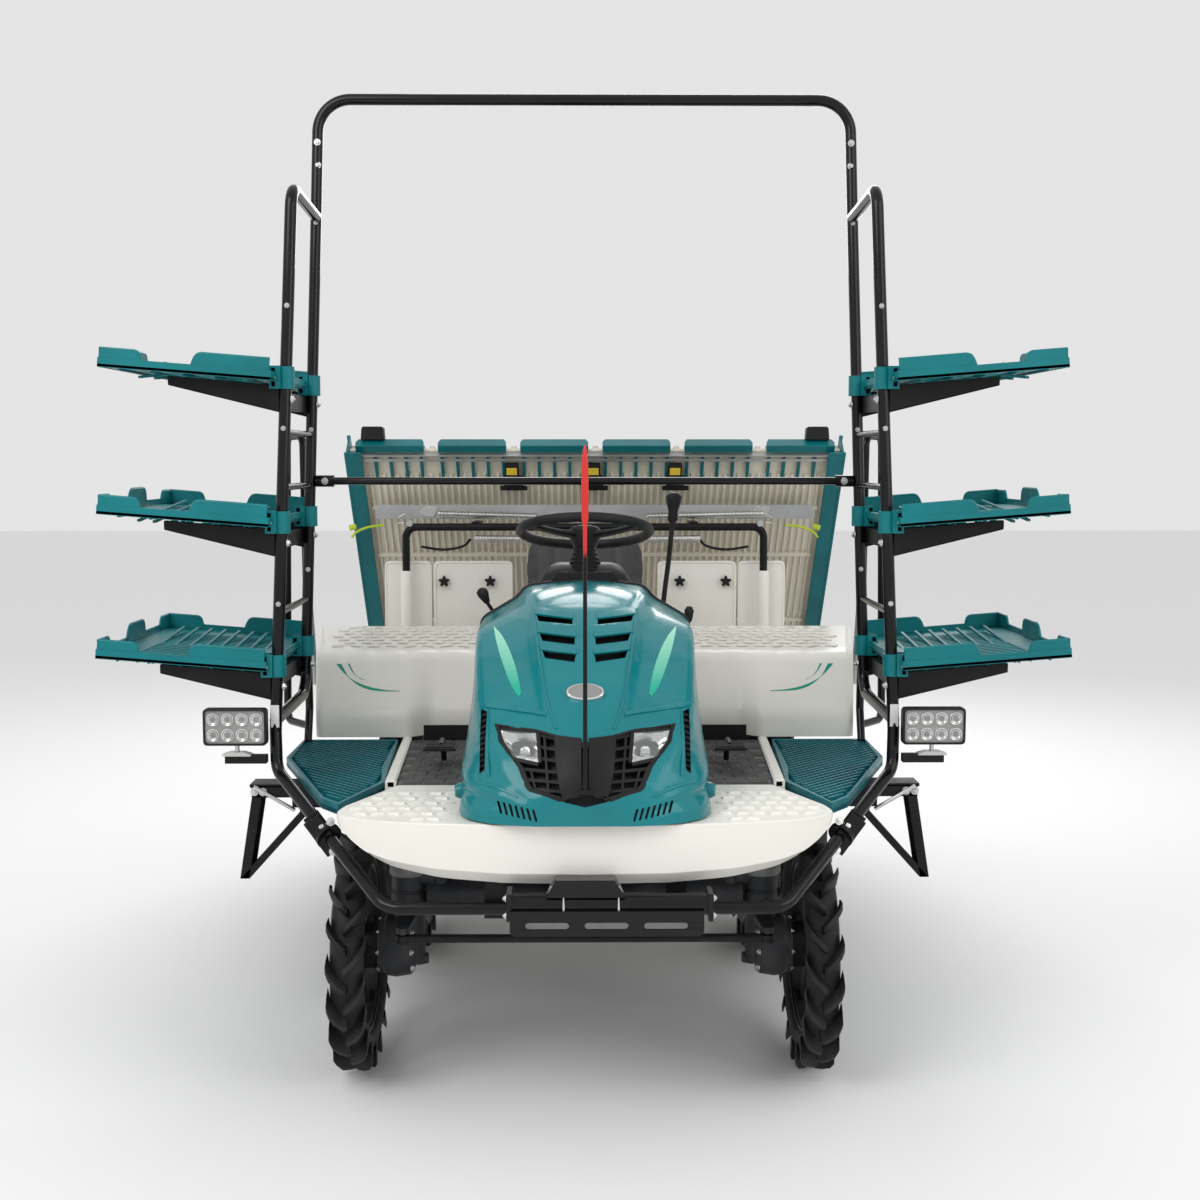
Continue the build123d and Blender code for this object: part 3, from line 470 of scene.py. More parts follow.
def ring_tree() -> Tree:
    """A tree that repeats a template round the X axis, with a lean that the seed varies."""
    tree = Tree("shape_round_an_axle")
    template = tree.size("Template", "Object")
    material = tree.size("Material", "Material")
    count = tree.size("Count", "Int")
    centre = tree.size("Centre", "Vector")
    start = tree.size("Start", "Float")
    seed = tree.size("Seed", "Int")
    shape = tree.node("ObjectInfo", {"Object": template})
    points = tree.node(
    "MeshLine", {
        "Count": count, "Start Location": centre, "Offset": (
            0, 0, 0)}, mode="OFFSET")
    index = tree.node("InputIndex")
    share = tree.node("ShaderNodeMath", {0: index.outputs[0], 1: count}, operation="DIVIDE")
    angle = tree.node(
    "ShaderNodeMath", {
        0: share.outputs[0], 1: math.tau, 2: start}, operation="MULTIPLY_ADD")
    wobble = tree.node(
        "FunctionNodeRandomValue", {"Min": -0.004, "Max": 0.004, "Seed": seed}, data_type="FLOAT"
    )
    full = tree.node("ShaderNodeMath", {0: angle.outputs[0]}, operation="ADD")
    tree.group.links.new(wobble.outputs[1], full.inputs[1])
    euler = tree.node("ShaderNodeCombineXYZ", {"X": full.outputs[0]})
    turned = tree.node("FunctionNodeEulerToRotation", {0: euler.outputs[0]})
    placed = tree.node(
        "InstanceOnPoints",
        {"Points": points.outputs[0], "Instance": shape.outputs["Geometry"], "Rotation": turned.outputs[0]},
    )
    tree.finish(placed.outputs[0], material)
    return tree


def coil_tree() -> Tree:
    """A tree that winds a wire into a coil spring along Z."""
    tree = Tree("coil_spring")
    material = tree.size("Material", "Material")
    turns = tree.size("Turns", "Float")
    radius = tree.size("Radius", "Float")
    length = tree.size("Length", "Float")
    wire = tree.size("Wire", "Float")
    spiral = tree.node(
        "CurveSpiral",
        {"Resolution": 12, "Rotations": turns, "Start Radius": radius, "End Radius": radius, "Height": length},
    )
    section = tree.node("CurvePrimitiveCircle", {"Resolution": 6, "Radius": wire})
    wound = tree.node(
        "CurveToMesh",
        {"Curve": spiral.outputs[0], "Profile Curve": section.outputs[0], "Fill Caps": True},
    )
    tree.finish(wound.outputs[0], material)
    return tree


@dataclass
class Spots:
    """Places for copies of one template, each with its own turn and size."""

    where: list[Vector] = field(default_factory=list)
    turns: list[Vector] = field(default_factory=list)
    sizes: list[Vector] = field(default_factory=list)

    def put(self, place: Point, turn: Point = (0, 0, 0), size: Point = (1, 1, 1)) -> "Spots":
        """Adds one place, with its turn in radians and its size."""
        self.where.append(Vector(place))
        self.turns.append(Vector(turn))
        self.sizes.append(Vector(size))
        return self

    def facing(self, place: Point, way: Point, size: Point = (1, 1, 1)) -> "Spots":
        """Adds one place whose template points its +Z a given way."""
        return self.put(place, Vector(way).to_track_quat("Z", "Y").to_euler(), size)

    def mirrored(self) -> "Spots":
        """Adds the same places on the machine's other side."""
        for place, turn, size in list(zip(self.where, self.turns, self.sizes)):
            self.put((-place.x, place.y, place.z), (turn.x, -turn.y, -turn.z), size)
        return self

    def grow(self, name: str, template: Solid, finish: "Finish", edge: Edge = Edge()) -> bpy.types.Mesh:
        """Puts a copy of the template at each place.

        Args:
            name: Name of the mesh that is made.
            template: One copy, at the origin.
            finish: What the copies are made of.
            edge: How each copy's edges are finished.

        Returns:
            One plain mesh with every copy.
        """
        base = bpy.data.meshes.new(name + "_spots")
        base.from_pydata([tuple(p) for p in self.where], [], [])
        for key, values in (("turn", self.turns), ("own_size", self.sizes)):
            attribute = base.attributes.new(key, "FLOAT_VECTOR", "POINT")
            attribute.data.foreach_set("vector", [c for v in values for c in v])
        shape = template_object(name, template, edge)
        values = {"Template": shape, "Material": finish.material(), "Size": 1.0}
        mesh = Repeater.tree("scatter", scatter_tree).grow(name, base, values)
        bpy.data.objects.remove(shape)
        return mesh


def template_object(name: str, template: Solid, edge: Edge) -> bpy.types.Object:
    """An object that holds one copy of a repeated shape, with its edges finished."""
    shape = carrier(name + "_template", template.mesh(name + "_template"))
    if edge.width:
        bevel = shape.modifiers.new("edges", "BEVEL")
        bevel.width, bevel.segments, bevel.limit_method = edge.width, edge.steps, "ANGLE"
    return shape


def hex_bolt(radius: float = 0.008, head: float = 0.006, washer: bool = True) -> Solid:
    """A bolt head that stands on its washer and points along +Z."""
    bolt = Solid()
    low = 0.0015 if washer else 0.0
    if washer:
        bolt.turned([(0, radius * 1.45), (1, radius * 1.4)], (0, 0, 0), (0, 0, 0.0015), 16)
    bolt.turned([(0, radius), (0.8, radius), (1, radius * 0.84)], (0, 0, low), (0, 0, low + head), 6)
    bolt.turned([(0, radius * 0.5), (1, radius * 0.42)], (0, 0, low + head), (0, 0, low + head * 1.5), 10)
    return bolt


class Skin:
    """A surface seen from ahead of the machine, to lay films, lips and panels on."""

    def __init__(self, source: Solid, fallback_y: float) -> None:
        """Keeps the surface.

        Args:
            source: The surface's mesh.
            fallback_y: Where a point that misses the surface is looked for.
        """
        self.tree = BVHTree.FromPolygons(source.verts, source.faces)
        self.fallback_y = fallback_y

    def point(self, x: float, z: float, lift: float) -> Vector:
        """The point of the surface straight behind (x, z), lifted off it."""
        hit, normal, _, _ = self.tree.ray_cast(Vector((x, -3.0, z)), Vector((0, 1, 0)))
        if hit is None:
            near = self.tree.find_nearest(Vector((x, self.fallback_y, z)))[0]
            return near + Vector((0, -lift, 0))
        return hit + (normal if normal.y < 0 else -normal) * lift

    def strip(
        self, solid: Solid, low: Outline, high: Outline, lift: float, steps: int = 10, sink: float = 0.003
    ) -> None:
        """Lays a closed strip on the surface between two lines.

        Args:
            solid: The mesh that it is added to.
            low: One long side, as (x, z) points.
            high: The other, with as many points.
            lift: How proud of the surface it stands.
            steps: Number of runs across it.
            sink: How far its back lies under the surface.
        """
        shares = [k / steps for k in range(steps + 1)]
        rings = []
        for a, b in zip(low, high):
            front = [self.point(mix(a[0], b[0], s), mix(a[1], b[1], s), lift) for s in shares]
            back = [self.point(mix(a[0], b[0], s), mix(a[1], b[1], s), -sink) for s in reversed(shares)]
            rings.append(front + back)
        solid.loft(rings)


# ------------------------------------------------------------------ finishes
class Grain(Enum):
    """The fine structure of a surface, with its scale in grains a metre."""

    SMOOTH = 260.0
    PEEL = 420.0
    MOULDED = 900.0
    CAST = 340.0
    LEATHER = 520.0
    RUBBER = 620.0
    SPANGLE = 60.0


@dataclass(frozen=True)
class Finish:
    """A material of the machine, with the variation and wear that the real one shows.

    Attributes:
        name: The material's name.
        colour: Its colour, as linear red, green and blue.
        roughness: How matt it is, from 0 to 1.
        metal: How metallic it is, from 0 to 1.
        coat: Strength of a clear coat over it.
        grain: Its fine structure.
        relief: Height of the fine structure, as a strength from 0 to 1.
        patchy: How far its brightness varies from place to place.
        dust: How much pale dust lies on it, more of it low down.
        scratches: How much fine scratching lightens it.
        specular: Strength of its reflection.
    """

    name: str
    colour: tuple[float, float, float]
    roughness: float = 0.4
    metal: float = 0.0
    coat: float = 0.0
    grain: Grain = Grain.SMOOTH
    relief: float = 0.15
    patchy: float = 0.12
    dust: float = 0.0
    scratches: float = 0.0
    specular: float = 0.5

    def material(self) -> bpy.types.Material:
        """The Blender material of this finish, built on its first use."""
        found = bpy.data.materials.get(self.name)
        if found is not None:
            return found
        made = bpy.data.materials.new(self.name)
        made.use_nodes = True
        made.diffuse_color = (*self.colour, 1)
        tree = made.node_tree
        shader = tree.nodes["Principled BSDF"]
        shader.inputs["Metallic"].default_value = self.metal
        shader.inputs["Coat Weight"].default_value = self.coat
        shader.inputs["Coat Roughness"].default_value = 0.08
        shader.inputs["Specular IOR Level"].default_value = self.specular
        place = tree.nodes.new("ShaderNodeTexCoord").outputs["Object"]
        colour = self._colour(tree, place)
        tree.links.new(colour, shader.inputs["Base Color"])
        tree.links.new(self._roughness(tree, place), shader.inputs["Roughness"])
        tree.links.new(self._relief(tree, place), shader.inputs["Normal"])
        self._extra(tree, shader, place)
        return made

    def _noise(
        self, tree: bpy.types.NodeTree, place: bpy.types.NodeSocket, scale: float, detail: float = 3.0
    ) -> bpy.types.NodeSocket:
        """A noise between 0 and 1 at a scale, read from a place."""
        noise = tree.nodes.new("ShaderNodeTexNoise")
        noise.inputs["Scale"].default_value = scale
        noise.inputs["Detail"].default_value = detail
        tree.links.new(place, noise.inputs["Vector"])
        return noise.outputs["Fac"]

    def _range(
        self, tree: bpy.types.NodeTree, value: bpy.types.NodeSocket, ends: tuple[float, float], to: tuple[float, float]
    ) -> bpy.types.NodeSocket:
        """A value moved from one range to another, and kept inside it."""
        spread = tree.nodes.new("ShaderNodeMapRange")
        for key, number in zip(("From Min", "From Max", "To Min", "To Max"), (*ends, *to)):
            spread.inputs[key].default_value = number
        tree.links.new(value, spread.inputs["Value"])
        return spread.outputs[0]

    def _blend(
        self,
        tree: bpy.types.NodeTree,
        share: bpy.types.NodeSocket,
        low: bpy.types.NodeSocket | tuple[float, float, float],
        high: bpy.types.NodeSocket | tuple[float, float, float],
    ) -> bpy.types.NodeSocket:
        """A colour between two others, by a share from 0 to 1."""
        blend = tree.nodes.new("ShaderNodeMix")
        blend.data_type = "RGBA"
        tree.links.new(share, blend.inputs[0])
        for socket, colour in ((blend.inputs[6], low), (blend.inputs[7], high)):
            if isinstance(colour, tuple):
                socket.default_value = (*colour, 1)
            else:
                tree.links.new(colour, socket)
        return blend.outputs[2]

    def _colour(self, tree: bpy.types.NodeTree, place: bpy.types.NodeSocket) -> bpy.types.NodeSocket:
        """The surface's colour: two shades in patches, then scratches, then dust."""
        dark = tuple(c * (1 - self.patchy) for c in self.colour)
        light = tuple(min(1.0, c * (1 + self.patchy) + self.patchy * 0.01) for c in self.colour)
        patches = self._range(tree, self._noise(tree, place, 5.0, 4.0), (0.35, 0.65), (0, 1))
        colour = self._blend(tree, patches, dark, light)
        if self.scratches:
            stretch = tree.nodes.new("ShaderNodeMapping")
            stretch.inputs["Scale"].default_value = (1.0, 7.0, 1.6)
            stretch.inputs["Rotation"].default_value = (0.4, 0.3, 0.9)
            tree.links.new(place, stretch.inputs["Vector"])
            lines = self._range(
                tree, self._noise(tree, stretch.outputs[0], 38.0, 6.0), (0.66, 0.74), (0, self.scratches)
            )
            pale = tuple(min(1.0, c * 1.5 + 0.06) for c in self.colour)
            colour = self._blend(tree, lines, colour, pale)
        if self.dust:
            height = tree.nodes.new("ShaderNodeSeparateXYZ")
            tree.links.new(place, height.inputs[0])
            low_down = self._range(tree, height.outputs[2], (0.0, 1.3), (self.dust, self.dust * 0.25))
            cloud = self._range(tree, self._noise(tree, place, 11.0, 6.0), (0.42, 0.72), (0.1, 1))
            amount = tree.nodes.new("ShaderNodeMath")
            amount.operation = "MULTIPLY"
            tree.links.new(low_down, amount.inputs[0])
            tree.links.new(cloud, amount.inputs[1])
            colour = self._blend(tree, amount.outputs[0], colour, (0.36, 0.33, 0.28))
        return colour

    def _roughness(self, tree: bpy.types.NodeTree, place: bpy.types.NodeSocket) -> bpy.types.NodeSocket:
        """The surface's roughness, uneven as handled and weathered surfaces are."""
        spread = 0.07 + self.scratches * 0.1
        ends = (max(0.03, self.roughness - spread), min(1.0, self.roughness + spread))
        return self._range(tree, self._noise(tree, place, 17.0, 5.0), (0.3, 0.7), ends)

    def _height(self, tree: bpy.types.NodeTree, place: bpy.types.NodeSocket) -> bpy.types.NodeSocket:
        """The height of the surface's fine structure."""
        if self.grain in (Grain.LEATHER, Grain.CAST, Grain.SPANGLE):
            cells = tree.nodes.new("ShaderNodeTexVoronoi")
            cells.feature = "F1" if self.grain is not Grain.LEATHER else "SMOOTH_F1"
            cells.inputs["Scale"].default_value = self.grain.value
            tree.links.new(place, cells.inputs["Vector"])
            return cells.outputs["Distance"]
        return self._noise(tree, place, self.grain.value, 2.0)

    def _relief(self, tree: bpy.types.NodeTree, place: bpy.types.NodeSocket) -> bpy.types.NodeSocket:
        """The surface's normal, with its fine structure raised."""
        bump = tree.nodes.new("ShaderNodeBump")
        bump.inputs["Strength"].default_value = self.relief
        bump.inputs["Distance"].default_value = 0.0006
        tree.links.new(self._height(tree, place), bump.inputs["Height"])
        return bump.outputs[0]

    def _extra(self, tree: bpy.types.NodeTree, shader: bpy.types.Node, place: bpy.types.NodeSocket) -> None:
        """Room for what only one kind of finish has."""


@dataclass(frozen=True)
class Glass(Finish):
    """Clear lamp glass."""

    def _extra(self, tree: bpy.types.NodeTree, shader: bpy.types.Node, place: bpy.types.NodeSocket) -> None:
        """Lets light through the surface."""
        shader.inputs["Transmission Weight"].default_value = 0.92
        shader.inputs["IOR"].default_value = 1.46


@dataclass(frozen=True)
class Swoosh(Finish):
    """A printed film whose colour runs from one end of its height to the other.

    Attributes:
        low: Height where the film has its own colour.
        high: Height where it has its second colour.
        second: The second colour.
    """

    low: float = 1.0
    high: float = 1.2
    second: tuple[float, float, float] = (0.45, 0.8, 0.62)

    def _colour(self, tree: bpy.types.NodeTree, place: bpy.types.NodeSocket) -> bpy.types.NodeSocket:
        """The film's colour at its height."""
        height = tree.nodes.new("ShaderNodeSeparateXYZ")
        tree.links.new(place, height.inputs[0])
        share = self._range(tree, height.outputs[2], (self.low, self.high), (0, 1))
        return self._blend(tree, share, self.colour, self.second)


TEAL = Finish(
    "bonnet_teal_paint", (0.0, 0.185, 0.21), 0.24, coat=0.25, specular=0.3, grain=Grain.PEEL, relief=0.04, patchy=0.05, scratches=0.05
)
TRAY_TEAL = Finish(
    "tray_teal_plastic", (0.0, 0.165, 0.185), 0.4, specular=0.3, grain=Grain.MOULDED, relief=0.12, scratches=0.06
)
STEP_TEAL = Finish(
    "step_teal_plastic", (0.0, 0.135, 0.165), 0.42, specular=0.3, grain=Grain.MOULDED, relief=0.15, dust=0.06, scratches=0.1
)
STAGE_TEAL = Finish(
    "stage_teal_plastic", (0.0, 0.13, 0.15), 0.4, specular=0.3, grain=Grain.MOULDED, relief=0.14, scratches=0.06
)
CREAM = Finish(
    "cream_plastic", (0.66, 0.635, 0.585), 0.34, grain=Grain.MOULDED, relief=0.08, patchy=0.035, dust=0.05, scratches=0.06
)
# Painted light: the stage's own cream colour, brightened above the cream plastic to offset the shade on the stage's
# downward-facing underside.
STAGE_CREAM_WITH_PAINTED_LIGHT = Finish("stage_cream_with_painted_light", (0.74, 0.69, 0.58), 0.46,
                     grain=Grain.MOULDED, relief=0.1, patchy=0.06)
BLACK_TUBE = Finish(
    "gloss_black_tube", (0.004, 0.004, 0.005), 0.16, coat=0.15, specular=0.22, grain=Grain.PEEL, relief=0.05, scratches=0.04
)
BLACK_STEEL = Finish("black_painted_steel", (0.006, 0.006, 0.007), 0.4, specular=0.2,
                     grain=Grain.PEEL, relief=0.1, dust=0.04, scratches=0.06)
BLACK_PLASTIC = Finish("black_moulded_plastic", (0.010, 0.010, 0.011), 0.5,
                       specular=0.24, grain=Grain.MOULDED, relief=0.25, scratches=0.04)
CHARCOAL = Finish("charcoal_cowl_plastic", (0.016, 0.016, 0.018), 0.46,
                  specular=0.28, grain=Grain.LEATHER, relief=0.25, patchy=0.1)
TYRE = Finish("tyre_rubber", (0.011, 0.011, 0.012), 0.6, specular=0.3,
              grain=Grain.RUBBER, relief=0.35, patchy=0.25, dust=0.06)
MAT = Finish("floor_mat_rubber", (0.045, 0.043, 0.043), 0.66,
             grain=Grain.RUBBER, relief=0.4, patchy=0.25, dust=0.2)
CASTING = Finish("dark_cast_case", (0.014, 0.017, 0.023), 0.46, specular=0.3,
                 grain=Grain.CAST, relief=0.3, dust=0.12, patchy=0.2)
GREY_CASTING = Finish("grey_cast_case", (0.16, 0.165, 0.17), 0.5,
                      metal=0.3, grain=Grain.CAST, relief=0.35, dust=0.15)
ZINC = Finish("bright_zinc", (0.62, 0.62, 0.60), 0.3, metal=0.95,
              grain=Grain.SPANGLE, relief=0.05, patchy=0.1)
GALVANISED = Finish("galvanised_sheet", (0.42, 0.43, 0.43), 0.4, metal=0.75,
                    grain=Grain.SPANGLE, relief=0.12, patchy=0.12)
CHROME = Finish("polished_chrome", (0.72, 0.72, 0.72), 0.1, metal=1.0, relief=0.02, patchy=0.03)
BRASS = Finish("brass_fitting", (0.52, 0.33, 0.13), 0.34, metal=0.9, relief=0.08, patchy=0.2)
VINYL = Finish("seat_vinyl", (0.010, 0.010, 0.011), 0.4, specular=0.3,
               grain=Grain.LEATHER, relief=0.5, patchy=0.12)
GRIP = Finish("steering_wheel_foam", (0.011, 0.011, 0.012), 0.5,
              specular=0.28, grain=Grain.LEATHER, relief=0.4, patchy=0.1)
RED = Finish("red_plastic", (0.62, 0.02, 0.012), 0.36, grain=Grain.MOULDED, relief=0.08, patchy=0.05)
YELLOW = Finish("yellow_label_film", (0.75, 0.56, 0.04), 0.5, relief=0.03, patchy=0.05)
LIME = Finish("lime_cable_sleeve", (0.42, 0.55, 0.02), 0.42, relief=0.06, patchy=0.08)
WHITE_FILM = Finish("white_label_film", (0.72, 0.72, 0.70), 0.45, relief=0.03, patchy=0.03)
LAMP_GREY = Finish("lamp_reflector_plate", (0.30, 0.30, 0.29), 0.36, metal=0.5, relief=0.04, patchy=0.08)
MIRROR = Finish("lamp_mirror", (0.80, 0.80, 0.78), 0.14, metal=1.0, relief=0.02, patchy=0.04)
LED = Finish("lamp_diode_yellow", (0.60, 0.52, 0.16), 0.3, relief=0.02, patchy=0.05)
LENS = Glass("lamp_lens", (0.9, 0.92, 0.92), 0.05, relief=0.02, patchy=0.02)
FLOAT_GREY = Finish("float_plastic", (0.50, 0.50, 0.47), 0.46, grain=Grain.MOULDED, relief=0.15, dust=0.2)
IRON = Finish("engine_iron", (0.05, 0.05, 0.055), 0.55, metal=0.2, grain=Grain.CAST, relief=0.4, dust=0.1)
MINT = Swoosh("mint_leaf_film", (0.0, 0.40, 0.27), 0.3, relief=0.02,
              low=1.05, high=1.17, second=(0.34, 0.72, 0.55))
GREEN = Swoosh("green_stripe_film", (0.0, 0.33, 0.20), 0.34, relief=0.02,
               low=0.90, high=0.97, second=(0.0, 0.28, 0.22))

NODE_FINISHES: dict[str, Finish] = {
    "chassis_frame": BLACK_STEEL,
    "engine": IRON,
    "transmission_case": GREY_CASTING,
    "front_axle": CASTING,
    "rear_axle_case": GREY_CASTING,
    "front_guard": BLACK_TUBE,
    "floor_deck": CREAM,
    "rack_posts": BLACK_TUBE,
    "top_hoop": BLACK_TUBE,
    "brace_bar": BLACK_TUBE,
    "seat_base": BLACK_STEEL,
    "knuckle_left": CASTING,
    "knuckle_right": CASTING,
    "tie_rod": BLACK_STEEL,
    "lower_link": BLACK_STEEL,
    "upper_link": BLACK_STEEL,
    "lift_cylinder": BLACK_STEEL,
    "lift_rod": CHROME,
    "planter_frame": BLACK_STEEL,
    "planting_cases": GREY_CASTING,
    "planting_rotors": GREY_CASTING,
    "planting_arms_a": GREY_CASTING,
    "planting_arms_b": GREY_CASTING,
    "row_marker_left": GALVANISED,
    "row_marker_right": GALVANISED,
    "stage_rail": GALVANISED,
    "front_rim_left": BLACK_STEEL,
    "front_rim_right": BLACK_STEEL,
    "rear_rim_left": BLACK_STEEL,
    "rear_rim_right": BLACK_STEEL,
}


def dress_nodes(nodes: dict[str, bpy.types.Object]) -> None:
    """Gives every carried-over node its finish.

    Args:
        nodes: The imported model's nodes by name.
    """
    for name, node in nodes.items():
        finish = NODE_FINISHES.get(name, BLACK_PLASTIC)
        node.data.materials.clear()
        node.data.materials.append(finish.material())
        for face in node.data.polygons:
            face.material_index = 0
        log.info("node %s: %s", name, finish.name)


# ------------------------------------------------------------------ bonnet
@dataclass
class Bonnet:
    """The bonnet with its vents, nose grille, lamps, louvres, badge and leaf films.

    Attributes:
        stations: Sections from the rear to the nose: y, top, shoulder and foot height of
            the widest line, then half widths at the foot, widest line, shoulder and top.
        base: Height of its lower edge.
        wall: Thickness of the moulding.
    """

    stations: tuple[tuple[float, ...], ...] = (
        (-0.720, 1.262, 1.170, 0.860, 0.300, 0.310, 0.292, 0.166),
        (-0.850, 1.253, 1.166, 0.860, 0.303, 0.313, 0.293, 0.160),
        (-0.950, 1.232, 1.160, 0.856, 0.306, 0.315, 0.292, 0.146),
        (-1.060, 1.195, 1.112, 0.850, 0.310, 0.317, 0.287, 0.128),
        (-1.200, 1.124, 1.040, 0.846, 0.314, 0.315, 0.276, 0.112),
        (-1.300, 1.058, 0.985, 0.842, 0.313, 0.310, 0.262, 0.098),
        (-1.370, 1.004, 0.945, 0.838, 0.306, 0.296, 0.240, 0.086),
        (-1.430, 0.948, 0.895, 0.834, 0.282, 0.262, 0.205, 0.072),
        (-1.475, 0.896, 0.850, 0.825, 0.232, 0.212, 0.165, 0.058),
        (-1.500, 0.856, 0.818, 0.800, 0.172, 0.152, 0.118, 0.044),
        (-1.509, 0.826, 0.800, 0.782, 0.118, 0.100, 0.078, 0.030),
    )
    base: float = 0.7575
    wall: float = 0.0045
    vent_rows: tuple[tuple[tuple[float, float], ...], ...] = (
        ((-0.129, 1.212), (-0.033, 1.205), (-0.033, 1.192), (-0.122, 1.197)),
        ((-0.119, 1.173), (-0.026, 1.166), (-0.027, 1.149), (-0.110, 1.155)),
        ((-0.110, 1.136), (-0.023, 1.130), (-0.027, 1.112), (-0.101, 1.119)),
    )
    lamp_opening: tuple[tuple[float, float], ...] = (
        (-0.220, 0.972),
        (-0.118, 0.966),
        (-0.070, 0.958),
        (-0.012, 0.944),
        (0.012, 0.944),
        (0.070, 0.958),
        (0.118, 0.966),
        (0.220, 0.972),
        (0.207, 0.937),
        (0.158, 0.886),
        (0.140, 0.846),
        (0.132, 0.838),
        (0.060, 0.818),
        (0.0, 0.803),
        (-0.060, 0.818),
        (-0.132, 0.838),
        (-0.140, 0.846),
        (-0.158, 0.886),
        (-0.207, 0.937),
    )

    def section(self, station: Sequence[float], inset: float = 0.0) -> list[Vector]:
        """Half of the bonnet's section at a station, from the foot up to the middle.

        Args:
            station: One of the sections.
            inset: How far the line is moved inwards.

        Returns:
            A fixed number of points.
        """
        y, top, shoulder, widest, foot_w, wide_w, shoulder_w, top_w = station
        step = 0.018 * (foot_w / 0.3)
        corners = [
            (foot_w - inset, y, self.base),
            (foot_w - inset - step * 0.2, y, mix(self.base, widest, 0.42)),
            (wide_w - step * 0.5 - inset, y, mix(self.base, widest, 0.72)),
            (wide_w - inset, y, widest),
            (mix(wide_w, shoulder_w, 0.75) - inset, y, mix(widest, shoulder, 0.6)),
            (shoulder_w - inset, y, shoulder - inset),
            (mix(shoulder_w, top_w, 0.82), y, mix(shoulder, top, 0.66) - inset),
            (top_w - inset, y, top - inset),
            (top_w * 0.52, y, top + 0.010 - inset),
            (0.0, y, top + 0.016 - inset),
        ]
        line = rounded(corners, 0.020, 4, closed=False)
        return line

    def skin(self, inset: float = 0.0, rows: int = 72) -> list[list[Vector]]:
        """Rows of points over the whole bonnet, from the rear to the nose."""
        ys = [s[0] for s in self.stations]
        made = []
        for i in range(rows + 1):
            y = mix(ys[0], ys[-1], 1 - (1 - i / rows) ** 1.35)
            half = self.section(self.between(y), inset)
            row = [Vector((-p.x, p.y, p.z)) for p in half] + [p.copy() for p in reversed(half[:-1])]
            made.append(row)
        return made

    def between(self, y: float) -> list[float]:
        """The section at any place along the bonnet, by a smooth curve through the stations."""
        ys = [s[0] for s in self.stations]
        i = max(k for k in range(len(ys) - 1) if ys[k] >= y - 1e-9)
        t = (y - ys[i]) / (ys[i + 1] - ys[i])
        picks = [self.stations[max(0, min(len(ys) - 1, i + k))] for k in (-1, 0, 1, 2)]
        values = [y]
        for a, b, c, d in list(zip(*picks))[1:]:
            low, high = (c - a) / 2, (d - b) / 2
            values.append(
                b * (2 * t**3 - 3 * t**2 + 1)
                + low * (t**3 - 2 * t**2 + t)
                + c * (-2 * t**3 + 3 * t**2)
                + high * (t**3 - t**2)
            )
        return values

    def closed_shell(self) -> Solid:
        """The moulding with its wall thickness, as one closed shape."""
        outer, inner = self.skin(), self.skin(self.wall)
        nose = outer[-1]
        lip = [Vector((p.x, p.y + self.wall, p.z)) for p in inner[-1]]
        inner[-1] = lip
        solid = Solid()
        rings = [list(a) + list(reversed(b)) for a, b in zip(outer, inner)]
        solid.loft(rings)
        cap = [Vector((p.x, p.y - 0.0004, p.z)) for p in nose]
        back = [Vector((p.x, p.y + self.wall, p.z)) for p in nose]
        solid.loft([cap, back])
        return solid

    def slot_outlines(self) -> list[list[tuple[float, float]]]:
        """The seven slanting slots low on each side of the nose, on the right side."""
        made = []
        for i in range(7):
            share = i / 6
            x, z = mix(-0.210, -0.126, share), mix(0.812, 0.797, share)
            made.append([(x, z), (x + 0.006, z), (x + 0.014, z - 0.028), (x + 0.008, z - 0.028)])
        return made

    def cut(self, shell: bpy.types.Object, cutter: Solid, mend: bool = False) -> None:
        """Cuts a shape out of the moulding, and joins its overlapping parts first if mend is set."""
        tool = carrier("bonnet_cutter", cutter.mesh("bonnet_cutter"))
        cut = shell.modifiers.new("cut", "BOOLEAN")
        cut.operation, cut.solver, cut.object = "DIFFERENCE", "EXACT", tool
        cut.use_self = mend
        graph = bpy.context.evaluated_depsgraph_get()
        mesh = bpy.data.meshes.new_from_object(shell.evaluated_get(graph), depsgraph=graph)
        shell.modifiers.clear()
        shell.data = mesh
        bpy.data.objects.remove(tool)

    def surface(self) -> "Skin":
        """The outer skin, to lay things on."""
        return Skin(Solid().sheet(self.skin()), -1.45)

    def build(self) -> None:
        """Makes every piece of the bonnet and fixes it to the bonnet's body."""
        shell = carrier("bonnet_work", self.closed_shell().mesh("bonnet_work"))
        for side in (-1, 1):
            for row in self.vent_rows:
                self.cut(shell, Solid().prism([(-side * x, z) for x, z in row], -1.30, -0.93, Plane.FRONT))
            for row in self.slot_outlines():
                self.cut(shell, Solid().prism([(-side * x, z) for x, z in row], -1.53, -1.40, Plane.FRONT))
            louvre = [(-0.259, 1.000), (-0.243, 0.996), (-0.243, 0.872), (-0.256, 0.862)]
            self.cut(shell, Solid().prism([(-side * x, z) for x, z in louvre], -1.42, -1.16, Plane.FRONT))
        self.cut(shell, Solid().prism(self.lamp_opening, -1.54, -1.28, Plane.FRONT), mend=True)
        mesh = shell.data
        bpy.data.objects.remove(shell)
        fit_piece(
            "bonnet_cover", mesh, TEAL, Fit(
    "bonnet", "bonnet_teal", ("bonnet_shell",)), Edge(
        0.0016, 2, 0, 28)
        )
        skin = self.surface()
        self.painted_shade_sheet()
        self.ridges(skin)
        self.nose(skin)
        self.lamps(skin)
        self.trim(skin)

    def painted_shade_sheet(self) -> None:
        """A dark sheet inside the moulding: painted shade that shows through the vents and slots."""
        rows = self.skin(0.016, 30)[:-2]
        solid = Solid().loft([row + [Vector((p.x * 0.96, p.y, p.z - 0.003))
                      for p in reversed(row)] for row in rows])
        for vert in solid.verts:
            vert.y += 0.018
            vert.z = max(vert.z, self.base + 0.002)
        fit_piece("bonnet_liner", solid, BLACK_PLASTIC, Fit("bonnet", "dark_plastic"))

